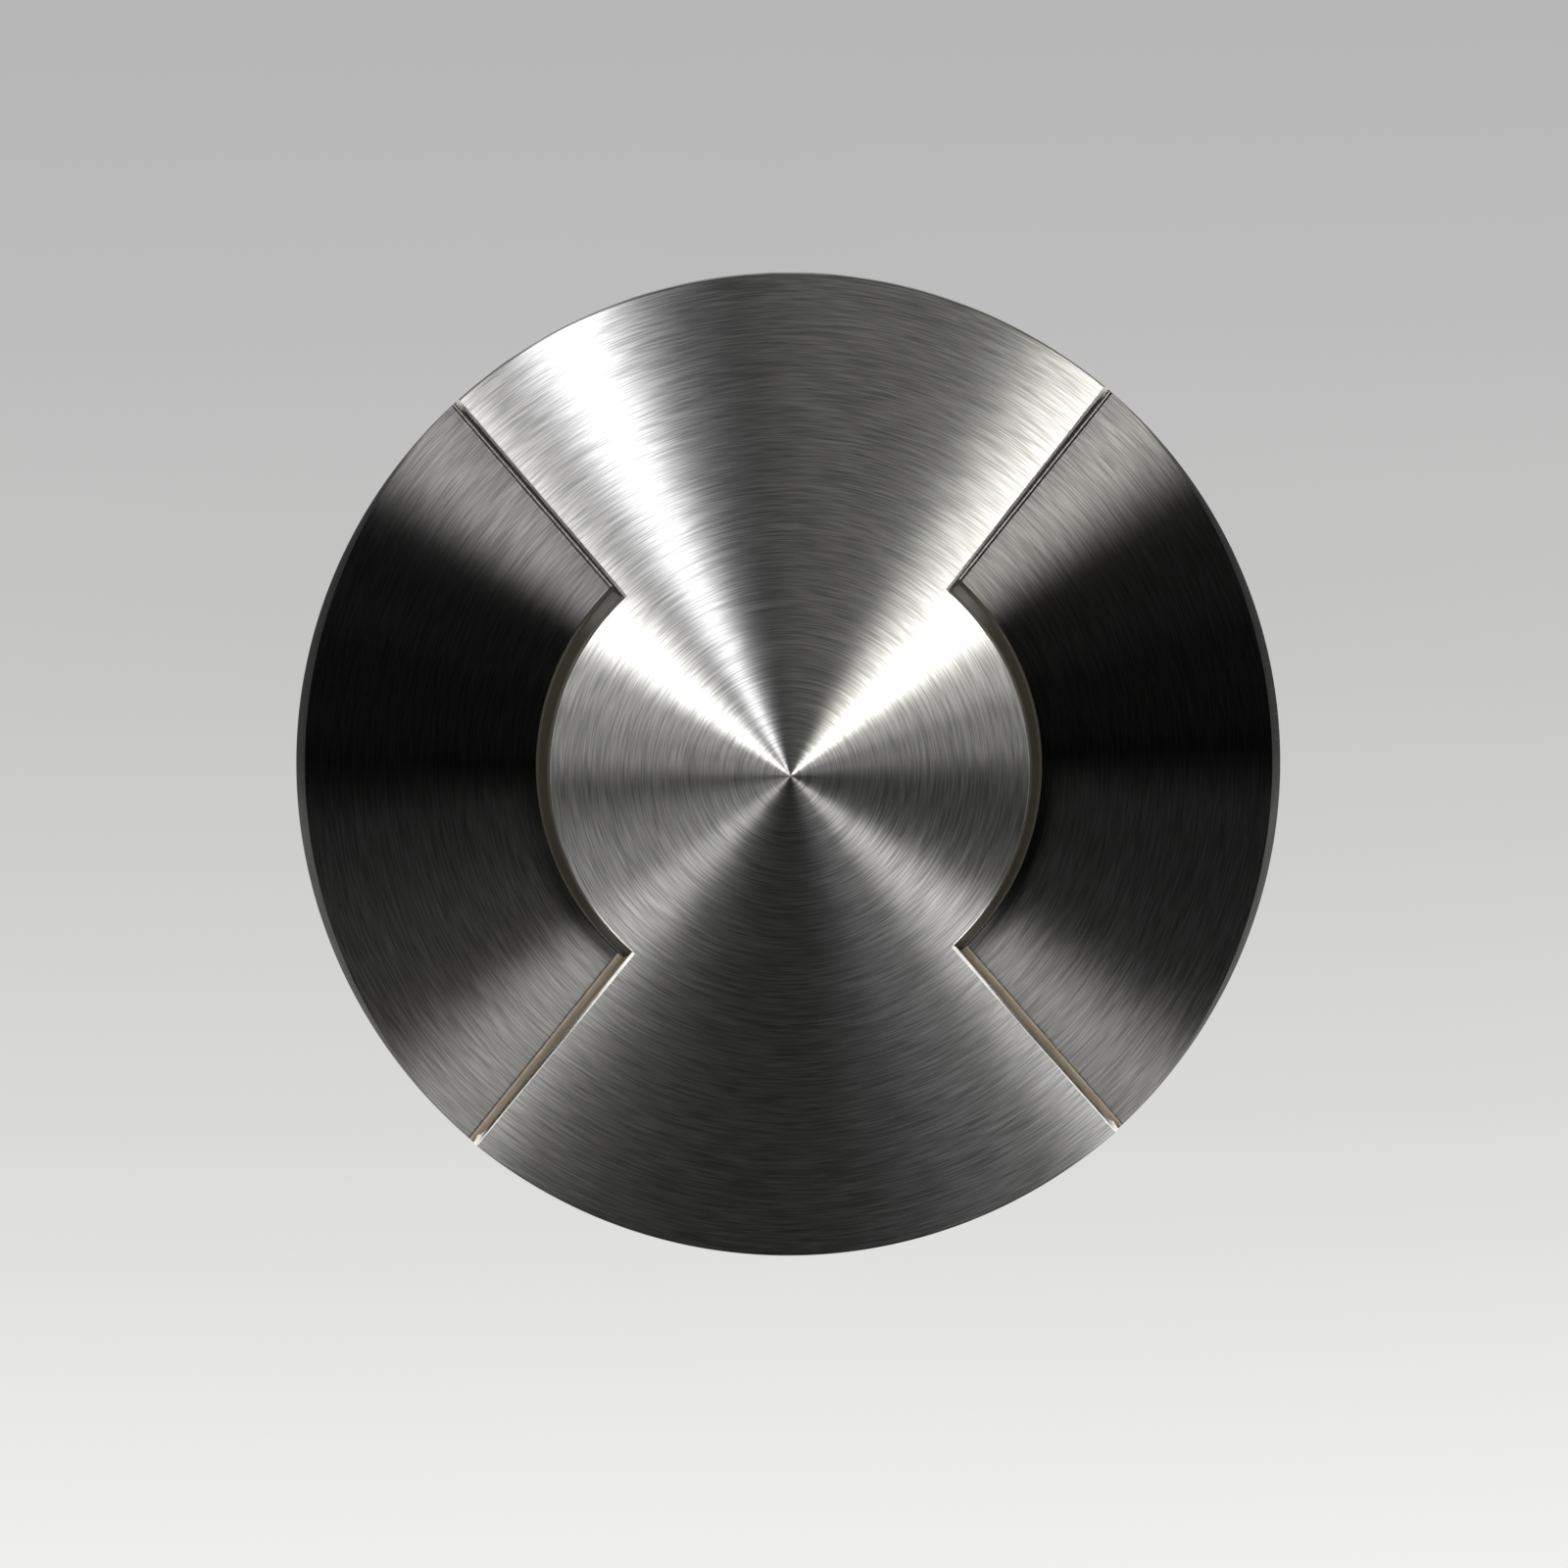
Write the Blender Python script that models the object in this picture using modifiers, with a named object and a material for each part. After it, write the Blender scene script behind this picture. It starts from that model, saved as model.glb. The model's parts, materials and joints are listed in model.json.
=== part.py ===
"""Drive-over ground light with two side windows, held in an installation sleeve.

The finished paving meets the underside of the cover. The sleeve stands on z = 0.
Lengths are in metres, +Z is up, and the two windows look along -X and +X.
"""

import math

import bmesh
import bpy
from mathutils import Matrix, Vector

MM = 0.001

# Values that several pieces share
FIT_GAP = 0.3 * MM
CUT_OVERRUN = 1.0 * MM
MERGE_DISTANCE = 0.001 * MM
LARGE_STEPS = 128
BODY_STEPS = 48
RING_STEPS = 36
SMALL_STEPS = 20
SCREW_STEPS = 12
HEX_SIDES = 6

# Machined cover: a cone with two level sectors milled into it
COVER_HEIGHT = 15.0 * MM
COVER_RIM_HEIGHT = 4.4 * MM
COVER_EDGE_BREAK = 0.3 * MM
COVER_OVERHANG = 5.0 * MM
SECTOR_FLOOR_HEIGHT = 3.5 * MM
SECTOR_SIDE_ANGLE = math.radians(50.3)
SECTOR_SIDE_OFFSET = 1.36 * MM
SECTOR_FILLET = 1.2 * MM
SECTOR_FILLET_SEGMENTS = 4
SECTOR_ARC_STEPS = 24
SECTOR_CHAMFER_RUN = 1.25 * MM
SECTOR_CHAMFER_DROP = 2.3 * MM
HUB_RADIUS = 31.4 * MM
HUB_HOLLOW_HEIGHT = 9.0 * MM

# Curved windows under the hub's edge, and their seals
WINDOW_FOOT_REACH = 1.8 * MM
WINDOW_HEAD_REACH = 0.35 * MM
WINDOW_INNER_DEPTH = 2.4 * MM
WINDOW_LEDGE_WIDTH = 0.4 * MM
WINDOW_LEDGE_HEIGHT = 1.6 * MM
WINDOW_HEAD_HEIGHT = 8.4 * MM
WINDOW_TAIL = 1.3 * MM
WINDOW_STEPS = 24
WINDOW_SEAL_THICKNESS = 0.8 * MM
WINDOW_SEAL_INSET = 0.4 * MM

# Light engine: carrier, board, light sources and reflector
CARRIER_CLEARANCE = 0.4 * MM
CARRIER_SEAT_DEPTH = 3.0 * MM
CARRIER_HEIGHT = 2.2 * MM
BOARD_INSET = 1.6 * MM
BOARD_THICKNESS = 1.6 * MM
LED_COUNT = 4
LED_ANGLE_STEP = math.radians(22.0)
LED_INSET = 3.2 * MM
LED_WIDTH = 3.4 * MM
LED_DEPTH = 1.6 * MM
LED_HEIGHT = 2.6 * MM
LED_DOME_DEPTH = 0.5 * MM
REFLECTOR_INSET = 0.6 * MM
REFLECTOR_FLARE = 4.4 * MM
REFLECTOR_LIP = 0.5 * MM
REFLECTOR_FLARE_HEIGHT = 0.7 * MM
ENGINE_SCREW_INSET = 8.2 * MM
ENGINE_SCREW_SHANK_RADIUS = 1.5 * MM
ENGINE_SCREW_HEAD_RADIUS = 2.75 * MM
ENGINE_SCREW_HEAD_HEIGHT = 1.8 * MM
ENGINE_SCREW_GRIP = 2.2 * MM
LEAD_RADIUS = 0.8 * MM
LEAD_SPACING = 3.0 * MM
LEAD_BOW = 0.5 * MM
LEAD_POINTS = 7

# Housing that hangs under the cover, and the seal between the two
SEAL_LAND = 4.8 * MM
COVER_SEAL_SECTION_RADIUS = 1.05 * MM
HOUSING_SHOULDER = 5.0 * MM
HOUSING_FLANGE_WIDTH = 8.3 * MM
HOUSING_FLANGE_THICKNESS = 8.0 * MM
HOUSING_HEIGHT = 60.0 * MM
HOUSING_WALL = 7.0 * MM
HOUSING_TOP_WALL = 4.0 * MM
HOUSING_FIN_COUNT = 5
HOUSING_FIN_PITCH = 5.2 * MM
HOUSING_FIN_THICKNESS = 2.0 * MM
HOUSING_FIN_DEPTH = 3.6 * MM
HOUSING_FIN_DRAFT = 0.5 * MM
HOUSING_COLLAR_HEIGHT = 3.0 * MM
WIRE_HOLE_RADIUS = 4.5 * MM

# Screws that hold the housing up to the cover
COVER_SCREW_OUTSET = 3.8 * MM
COVER_SCREW_ANGLE = math.radians(62.0)
COVER_SCREW_SHANK_RADIUS = 2.0 * MM
COVER_SCREW_HEAD_RADIUS = 3.4 * MM
COVER_SCREW_HEAD_HEIGHT = 3.0 * MM
COVER_SCREW_GRIP = 5.0 * MM

# Potted driver under the housing's top wall
DRIVER_CLEARANCE = 2.5 * MM
DRIVER_FLANGE_WIDTH = 7.5 * MM
DRIVER_FLANGE_THICKNESS = 3.0 * MM
DRIVER_HEIGHT = 24.0 * MM
DRIVER_EDGE = 1.5 * MM
DRIVER_SCREW_INSET = 3.7 * MM
DRIVER_SCREW_GRIP = 2.2 * MM

# Terminal block on the base plate
TERMINAL_LENGTH = 21.0 * MM
TERMINAL_WIDTH = 9.0 * MM
TERMINAL_HEIGHT = 13.0 * MM
TERMINAL_INSET = 12.0 * MM
TERMINAL_WAY_COUNT = 3
TERMINAL_WAY_RADIUS = 1.9 * MM
TERMINAL_WAY_DEPTH = 4.0 * MM

# Base plate that closes the housing from below
BASE_THICKNESS = 5.0 * MM
BASE_SPIGOT_HEIGHT = 4.4 * MM
BASE_SPIGOT_WALL = 3.6 * MM
BASE_SEAL_SECTION_RADIUS = 0.75 * MM
BASE_SEAL_HEIGHT = 2.0 * MM
BASE_SCREW_SHANK_RADIUS = 1.5 * MM
BASE_SCREW_HEAD_RADIUS = 2.75 * MM
BASE_SCREW_HEAD_HEIGHT = 1.8 * MM
BASE_SCREW_GRIP = 6.0 * MM
BASE_SCREW_COUNT = 4

# Cable gland, blanking plug and pressure vent in the base plate
ENTRY_THREAD_RADIUS = 8.0 * MM
ENTRY_HEX_RADIUS = 11.6 * MM
ENTRY_HEX_HEIGHT = 4.5 * MM
ENTRY_SPACING = 1.2 * MM
ENTRY_WASHER_THICKNESS = 1.2 * MM
ENTRY_NECK_OVERHANG = 1.5 * MM
GLAND_BORE_RADIUS = 5.0 * MM
GLAND_LOWER_THREAD_RADIUS = 8.6 * MM
GLAND_LOWER_THREAD_LENGTH = 9.0 * MM
GLAND_SEAL_RADIUS = 6.6 * MM
GLAND_SEAL_BORE_RADIUS = 1.9 * MM
GLAND_SEAL_LENGTH = 8.0 * MM
GLAND_NUT_RADIUS = 11.2 * MM
GLAND_NUT_LENGTH = 13.5 * MM
GLAND_NUT_DOME = 3.0 * MM
GLAND_NUT_MOUTH_RADIUS = 4.4 * MM
PLUG_SLOT_WIDTH = 2.0 * MM
PLUG_SLOT_DEPTH = 1.6 * MM
VENT_INSET = 11.0 * MM
VENT_THREAD_RADIUS = 3.6 * MM
VENT_HEAD_RADIUS = 6.0 * MM
VENT_HEAD_HEIGHT = 3.2 * MM
VENT_EDGE = 0.8 * MM

# Spring ring that the housing turns in, and its circlip
RING_WALL = 7.2 * MM
RING_HEIGHT = 10.0 * MM
RING_EDGE = 0.6 * MM
LEVER_COUNT = 3
LEVER_FIRST_ANGLE = math.radians(90.0)
NOTCH_WIDTH = 10.0 * MM
CIRCLIP_THICKNESS = 1.5 * MM
CIRCLIP_WIDTH = 3.5 * MM
CIRCLIP_GROOVE_DEPTH = 1.4 * MM
CIRCLIP_GAP_ANGLE = math.radians(24.0)
CIRCLIP_EYE_RADIUS = 0.8 * MM
CIRCLIP_EYE_INSET = 2.2 * MM

# Retaining levers, pins and torsion springs
PIN_OUTSET = 4.1 * MM
PIN_RADIUS = 1.0 * MM
PIN_LENGTH = 24.0 * MM
LEVER_EYE_RADIUS = 2.2 * MM
LEVER_THICKNESS = 1.6 * MM
LEVER_LENGTH = 25.0 * MM
LEVER_FOOT_RADIUS = 2.0 * MM
LEVER_SIDE_GAP = 0.35 * MM
LEVER_FORK_WIDTH = 5.4 * MM
LEVER_FORK_DEPTH = 4.0 * MM
LEVER_WINDOW_WIDTH = 4.0 * MM
LEVER_WINDOW_SHARES = (0.48, 0.8)
SPRING_WIRE_RADIUS = 0.3 * MM
SPRING_COIL_RADIUS = 1.75 * MM
SPRING_TURNS = 3
SPRING_PITCH = 1.1 * MM
SPRING_POINTS_PER_TURN = 10
SPRING_RING_LEG = 4.4 * MM
SPRING_LEVER_LEG = 9.0 * MM

# Installation sleeve and the cable chamber that it stands in
SLEEVE_CLEARANCE = 3.0 * MM
SLEEVE_WALL = 3.2 * MM
SLEEVE_FLANGE_WIDTH = 8.3 * MM
SLEEVE_FLANGE_THICKNESS = 4.0 * MM
ANCHOR_RIB_REACH = 3.0 * MM
ANCHOR_RIB_THICKNESS = 2.4 * MM
ANCHOR_RIB_TAPER = 0.8 * MM
ANCHOR_RIB_SHARES = (0.3, 0.55, 0.8)
CHAMBER_SHOULDER = 1.8 * MM
CHAMBER_FLOOR = 4.0 * MM
CHAMBER_SOCKET_DEPTH = 8.0 * MM
CHAMBER_SOCKET_WALL = 2.8 * MM
CABLE_ROOM_HEIGHT = 15.9 * MM
DRAIN_RADIUS = 4.0 * MM
DRAIN_INSET = 18.5 * MM
DRAIN_COUNT = 4

# Conduit sockets pushed through the chamber's wall
CONDUIT_FLOOR_GAP = 0.8 * MM
CONDUIT_BORE_RADIUS = 10.5 * MM
CONDUIT_WALL = 1.8 * MM
CONDUIT_REACH = 7.0 * MM
CONDUIT_FLANGE_WIDTH = 2.4 * MM
CONDUIT_FLANGE_THICKNESS = 2.0 * MM
CONDUIT_BOSS_REACH = 1.4 * MM

# Seat gasket, half sunk in a groove of the sleeve's flange
SEAT_GASKET_OUTSET = 6.0 * MM
SEAT_GASKET_WIDTH = 5.0 * MM
SEAT_GASKET_THICKNESS = 2.0 * MM
SEAT_GROOVE_DEPTH = 1.0 * MM

# Radii that follow from the sizes above, from the hub outwards
WINDOW_FOOT_RADIUS = HUB_RADIUS + WINDOW_FOOT_REACH
WINDOW_TOP_RADIUS = HUB_RADIUS + WINDOW_HEAD_REACH
WINDOW_INNER_RADIUS = HUB_RADIUS - WINDOW_INNER_DEPTH
HUB_HOLLOW_RADIUS = WINDOW_INNER_RADIUS - WINDOW_LEDGE_WIDTH
CARRIER_RADIUS = HUB_HOLLOW_RADIUS - CARRIER_CLEARANCE
BOARD_RADIUS = CARRIER_RADIUS - BOARD_INSET
LED_CIRCLE_RADIUS = CARRIER_RADIUS - LED_INSET
REFLECTOR_RADIUS = CARRIER_RADIUS - REFLECTOR_INSET
REFLECTOR_THROAT_RADIUS = REFLECTOR_RADIUS - REFLECTOR_FLARE
ENGINE_SCREW_OFFSET = REFLECTOR_THROAT_RADIUS - ENGINE_SCREW_INSET
COVER_SEAL_RADIUS = CARRIER_RADIUS + SEAL_LAND
HOUSING_RADIUS = COVER_SEAL_RADIUS + HOUSING_SHOULDER
HOUSING_CAVITY_RADIUS = HOUSING_RADIUS - HOUSING_WALL
HOUSING_FLANGE_RADIUS = HOUSING_RADIUS + HOUSING_FLANGE_WIDTH
COVER_SCREW_CIRCLE_RADIUS = HOUSING_RADIUS + COVER_SCREW_OUTSET
DRIVER_FLANGE_RADIUS = HOUSING_CAVITY_RADIUS - DRIVER_CLEARANCE
DRIVER_RADIUS = DRIVER_FLANGE_RADIUS - DRIVER_FLANGE_WIDTH
DRIVER_SCREW_OFFSET = DRIVER_FLANGE_RADIUS - DRIVER_SCREW_INSET
TERMINAL_OFFSET = HOUSING_CAVITY_RADIUS - TERMINAL_INSET
BASE_SCREW_CIRCLE_RADIUS = (HOUSING_RADIUS + HOUSING_CAVITY_RADIUS) / 2
ENTRY_OFFSET = ENTRY_HEX_RADIUS + ENTRY_SPACING
VENT_OFFSET = HOUSING_CAVITY_RADIUS - VENT_INSET
RING_INNER_RADIUS = HOUSING_RADIUS + FIT_GAP
RING_OUTER_RADIUS = RING_INNER_RADIUS + RING_WALL
PIN_CIRCLE_RADIUS = RING_INNER_RADIUS + PIN_OUTSET
NOTCH_FLOOR_RADIUS = PIN_CIRCLE_RADIUS - LEVER_EYE_RADIUS - 2 * FIT_GAP
LEVER_WIDTH = NOTCH_WIDTH - 2 * LEVER_SIDE_GAP
SLEEVE_BORE_RADIUS = RING_OUTER_RADIUS + SLEEVE_CLEARANCE
SLEEVE_OUTER_RADIUS = SLEEVE_BORE_RADIUS + SLEEVE_WALL
SLEEVE_FLANGE_RADIUS = SLEEVE_OUTER_RADIUS + SLEEVE_FLANGE_WIDTH
DRAIN_CIRCLE_RADIUS = SLEEVE_BORE_RADIUS - DRAIN_INSET
CONDUIT_BOSS_RADIUS = CONDUIT_BORE_RADIUS + CONDUIT_WALL + CONDUIT_FLANGE_WIDTH
SEAT_GASKET_RADIUS = SLEEVE_BORE_RADIUS + SEAT_GASKET_OUTSET
COVER_RADIUS = SLEEVE_FLANGE_RADIUS + COVER_OVERHANG

# Heights that follow from the sizes above, from the sleeve's base upwards
CONDUIT_HEIGHT = CHAMBER_FLOOR + CONDUIT_FLOOR_GAP + CONDUIT_BOSS_RADIUS
CHAMBER_HEIGHT = CONDUIT_HEIGHT + CONDUIT_BOSS_RADIUS + CHAMBER_SHOULDER
GLAND_HEIGHT = (BASE_THICKNESS + ENTRY_WASHER_THICKNESS + ENTRY_HEX_HEIGHT + GLAND_NUT_LENGTH
                + 4 * FIT_GAP)
HOUSING_BOTTOM_Z = CHAMBER_FLOOR + CABLE_ROOM_HEIGHT + GLAND_HEIGHT
HOUSING_TOP_Z = HOUSING_BOTTOM_Z + HOUSING_HEIGHT
COVER_Z = HOUSING_TOP_Z + FIT_GAP
SEAT_GASKET_Z = COVER_Z - FIT_GAP - SEAT_GASKET_THICKNESS
SLEEVE_TOP_Z = SEAT_GASKET_Z - FIT_GAP + SEAT_GROOVE_DEPTH
SLEEVE_BOTTOM_Z = CHAMBER_HEIGHT + FIT_GAP
FLANGE_BOTTOM_Z = HOUSING_TOP_Z - HOUSING_FLANGE_THICKNESS
RING_TOP_Z = FLANGE_BOTTOM_Z - FIT_GAP
RING_BOTTOM_Z = RING_TOP_Z - RING_HEIGHT
CIRCLIP_TOP_Z = RING_BOTTOM_Z - FIT_GAP
CIRCLIP_BOTTOM_Z = CIRCLIP_TOP_Z - CIRCLIP_THICKNESS
PIN_Z = (RING_TOP_Z + RING_BOTTOM_Z) / 2
CARRIER_SEAT_Z = HOUSING_TOP_Z - CARRIER_SEAT_DEPTH
CAVITY_TOP_Z = CARRIER_SEAT_Z - HOUSING_TOP_WALL
CARRIER_BOTTOM_Z = CARRIER_SEAT_Z + FIT_GAP
CARRIER_TOP_Z = COVER_Z + CARRIER_HEIGHT
BOARD_BOTTOM_Z = CARRIER_TOP_Z + FIT_GAP
BOARD_TOP_Z = BOARD_BOTTOM_Z + BOARD_THICKNESS
ENGINE_FLOOR_Z = BOARD_TOP_Z + FIT_GAP
REFLECTOR_TOP_Z = COVER_Z + HUB_HOLLOW_HEIGHT - FIT_GAP
DRIVER_TOP_Z = CAVITY_TOP_Z - FIT_GAP
BASE_TOP_Z = HOUSING_BOTTOM_Z - FIT_GAP
BASE_BOTTOM_Z = BASE_TOP_Z - BASE_THICKNESS
ENTRY_HEX_TOP_Z = BASE_BOTTOM_Z - FIT_GAP - ENTRY_WASHER_THICKNESS - FIT_GAP
ENTRY_HEX_BOTTOM_Z = ENTRY_HEX_TOP_Z - ENTRY_HEX_HEIGHT
WINDOW_BOTTOM_HEIGHT = WINDOW_LEDGE_HEIGHT + FIT_GAP + WINDOW_SEAL_THICKNESS + FIT_GAP

PARTS = None
CUTTERS = None


def clear_scene():
    """Remove every object that the file opened with."""
    for old in list(bpy.data.objects):
        bpy.data.objects.remove(old)


def make_collection(name):
    """Add a collection to the scene and return it."""
    collection = bpy.data.collections.new(name)
    bpy.context.scene.collection.children.link(collection)
    return collection


def make_material(name, colour, roughness, metallic):
    """Return a Principled material of one plain finish."""
    material = bpy.data.materials.new(name)
    material.use_nodes = True
    shader = material.node_tree.nodes["Principled BSDF"]
    shader.inputs["Base Color"].default_value = (*colour, 1.0)
    shader.inputs["Roughness"].default_value = roughness
    shader.inputs["Metallic"].default_value = metallic
    material.diffuse_color = (*colour, 1.0)
    return material


def place(obj, collection=None, material=None, z=0.0):
    """Link an object, lift it to its height and give it its material."""
    (collection or PARTS).objects.link(obj)
    obj.location.z = z
    if material is not None:
        obj.data.materials.append(material)
    return obj


def as_cutter(obj):
    """Move an object to the cutters, drawn as wire and left out of renders."""
    for owner in list(obj.users_collection):
        owner.objects.unlink(obj)
    CUTTERS.objects.link(obj)
    obj.hide_render = True
    obj.display_type = "WIRE"
    return obj


def turned(name, profile, steps, closed=False, material=None, z=0.0):
    """Turn a profile of (radius, height) points round the Z axis.

    The profile runs down its outer side. A closed profile makes a ring.
    """
    mesh = bpy.data.meshes.new(name)
    points = [(radius, 0.0, height) for radius, height in profile]
    edges = [(index, index + 1) for index in range(len(points) - 1)]
    if closed:
        edges.append((len(points) - 1, 0))
    mesh.from_pydata(points, edges, [])
    obj = place(bpy.data.objects.new(name, mesh), material=material, z=z)
    screw = obj.modifiers.new("turn", "SCREW")
    screw.axis = "Z"
    screw.angle = 2 * math.pi
    screw.steps = steps
    screw.render_steps = steps
    screw.use_merge_vertices = True
    screw.merge_threshold = MERGE_DISTANCE
    screw.use_smooth_shade = True
    return obj


def circle_profile(radius, section_radius, height, sides):
    """Return a closed round profile that runs down its outer side."""
    turn = 2 * math.pi / sides
    return [(radius + section_radius * math.cos(-turn * index),
             height + section_radius * math.sin(-turn * index)) for index in range(sides)]


def mesh_object(name, bm, material=None, z=0.0):
    """Write a bmesh to a new object, smooth but for its sharp edges."""
    bmesh.ops.recalc_face_normals(bm, faces=bm.faces[:])
    mesh = bpy.data.meshes.new(name)
    bm.to_mesh(mesh)
    bm.free()
    mesh.shade_smooth()
    mesh.set_sharp_from_angle(angle=math.radians(30))
    return place(bpy.data.objects.new(name, mesh), material=material, z=z)


def arc_solid(name, profile, half_angle, steps, material=None, z=0.0):
    """Sweep a closed profile through an arc centred on +X and close both ends."""
    bm = bmesh.new()
    start = Matrix.Rotation(-half_angle, 3, "Z")
    verts = [bm.verts.new(start @ Vector((radius, 0.0, height))) for radius, height in profile]
    count = len(verts)
    edges = [bm.edges.new((verts[index], verts[(index + 1) % count])) for index in range(count)]
    bmesh.ops.spin(bm, geom=verts + edges, cent=(0, 0, 0), axis=(0, 0, 1),
                   angle=2 * half_angle, steps=steps, use_duplicate=False)
    ends = [edge for edge in bm.edges if edge.is_boundary]
    bmesh.ops.holes_fill(bm, edges=ends, sides=count)
    return mesh_object(name, bm, material=material, z=z)


def outline_mesh(name, outline, low, high):
    """Return a welded bmesh of a flat outline drawn as a 2D curve and extruded."""
    curve = bpy.data.curves.new(name, "CURVE")
    curve.dimensions = "2D"
    curve.fill_mode = "BOTH"
    curve.extrude = (high - low) / 2
    spline = curve.splines.new("POLY")
    spline.points.add(len(outline) - 1)
    for point, (x, y) in zip(spline.points, outline):
        point.co = (x, y, 0.0, 1.0)
    spline.use_cyclic_u = True
    drawing = bpy.data.objects.new(name, curve)
    PARTS.objects.link(drawing)
    graph = bpy.context.evaluated_depsgraph_get()
    mesh = bpy.data.meshes.new_from_object(drawing.evaluated_get(graph))
    bm = bmesh.new()
    bm.from_mesh(mesh)
    bpy.data.objects.remove(drawing)
    bpy.data.meshes.remove(mesh)
    bmesh.ops.remove_doubles(bm, verts=bm.verts[:], dist=MERGE_DISTANCE)
    bmesh.ops.dissolve_limit(bm, angle_limit=math.radians(1), verts=bm.verts[:], edges=bm.edges[:])
    bmesh.ops.translate(bm, verts=bm.verts[:], vec=(0, 0, (low + high) / 2))
    return bm


def cylinder(name, radius, low, high, centre=(0.0, 0.0), steps=SMALL_STEPS, material=None):
    """Add an upright cylinder between two heights."""
    bpy.ops.mesh.primitive_cylinder_add(
        vertices=steps, radius=radius, depth=high - low,
        location=(centre[0], centre[1], (low + high) / 2))
    obj = bpy.context.object
    obj.name = name
    for owner in list(obj.users_collection):
        owner.objects.unlink(obj)
    PARTS.objects.link(obj)
    if material is not None:
        obj.data.materials.append(material)
    return obj


def lying_cylinder(name, radius, length, centre, turn, steps=SMALL_STEPS):
    """Add a cylinder whose axis lies level, turned by an angle from +X."""
    obj = cylinder(name, radius, -length / 2, length / 2, steps=steps)
    obj.rotation_euler = (0.0, math.pi / 2, turn)
    obj.location = centre
    return obj


def box(name, size, centre, material=None, turn=0.0):
    """Add a box of real size with unit scale."""
    bm = bmesh.new()
    bmesh.ops.create_cube(bm, size=1.0)
    bmesh.ops.scale(bm, vec=size, verts=bm.verts[:])
    obj = mesh_object(name, bm, material=material)
    obj.location = centre
    obj.rotation_euler.z = turn
    return obj


def combine(obj, other, operation):
    """Cut, join or intersect with a live Boolean."""
    as_cutter(other)
    modifier = obj.modifiers.new(other.name, "BOOLEAN")
    modifier.operation = operation
    modifier.object = other
    modifier.solver = "EXACT"


def cut(obj, *cutters):
    """Cut each given shape out of an object."""
    for cutter in cutters:
        combine(obj, cutter, "DIFFERENCE")


def join(obj, *others):
    """Join each given shape to an object."""
    for other in others:
        combine(obj, other, "UNION")


def attach(child, parent):
    """Parent an object and keep its own location and rotation as they are."""
    child.parent = parent


def empty(name, location=(0.0, 0.0, 0.0), turn=0.0):
    """Add an empty that carries a body on its joint's axis."""
    obj = bpy.data.objects.new(name, None)
    PARTS.objects.link(obj)
    obj.location = location
    obj.rotation_euler.z = turn
    return obj


def on_circle(radius, angle):
    """Return the point at an angle on a level circle round the axis."""
    return (radius * math.cos(angle), radius * math.sin(angle))


# The finishes
STAINLESS = "turned_stainless_steel"
FINISHES = {
    STAINLESS: ((0.42, 0.42, 0.43), 0.28, 1.0),
    "screw_steel": ((0.55, 0.55, 0.56), 0.3, 1.0),
    "spring_steel": ((0.36, 0.37, 0.39), 0.35, 1.0),
    "window_glass": ((0.12, 0.11, 0.09), 0.08, 0.0),
    "black_rubber": ((0.02, 0.02, 0.02), 0.75, 0.0),
    "cast_aluminium": ((0.5, 0.51, 0.53), 0.45, 1.0),
    "machined_aluminium": ((0.68, 0.69, 0.7), 0.3, 1.0),
    "white_board": ((0.85, 0.86, 0.84), 0.5, 0.0),
    "led_phosphor": ((0.9, 0.72, 0.2), 0.4, 0.0),
    "mirror_plastic": ((0.8, 0.8, 0.82), 0.12, 1.0),
    "driver_potting": ((0.05, 0.05, 0.06), 0.5, 0.0),
    "terminal_plastic": ((0.75, 0.75, 0.72), 0.45, 0.0),
    "gland_nylon": ((0.04, 0.04, 0.045), 0.4, 0.0),
    "ring_nylon": ((0.09, 0.09, 0.1), 0.45, 0.0),
    "sleeve_plastic": ((0.06, 0.06, 0.065), 0.55, 0.0),
    "lead_red": ((0.5, 0.02, 0.02), 0.45, 0.0),
    "lead_black": ((0.02, 0.02, 0.02), 0.45, 0.0),
}


def side_line_point(radius):
    """Return where a sector's side line crosses a circle, from the sector's bisector +X."""
    along = math.sqrt(radius ** 2 - SECTOR_SIDE_OFFSET ** 2)
    cos_side = math.cos(SECTOR_SIDE_ANGLE)
    sin_side = math.sin(SECTOR_SIDE_ANGLE)
    return (SECTOR_SIDE_OFFSET * sin_side + along * cos_side,
            along * sin_side - SECTOR_SIDE_OFFSET * cos_side)


def sector_half_angle(radius):
    """Return half the angle that a sector spans at a radius."""
    x, y = side_line_point(radius)
    return math.atan2(y, x)


def cone_height(radius):
    """Return the height of the cover's cone above its underside."""
    return COVER_HEIGHT - (COVER_HEIGHT - COVER_RIM_HEIGHT) * radius / COVER_RADIUS


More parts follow.
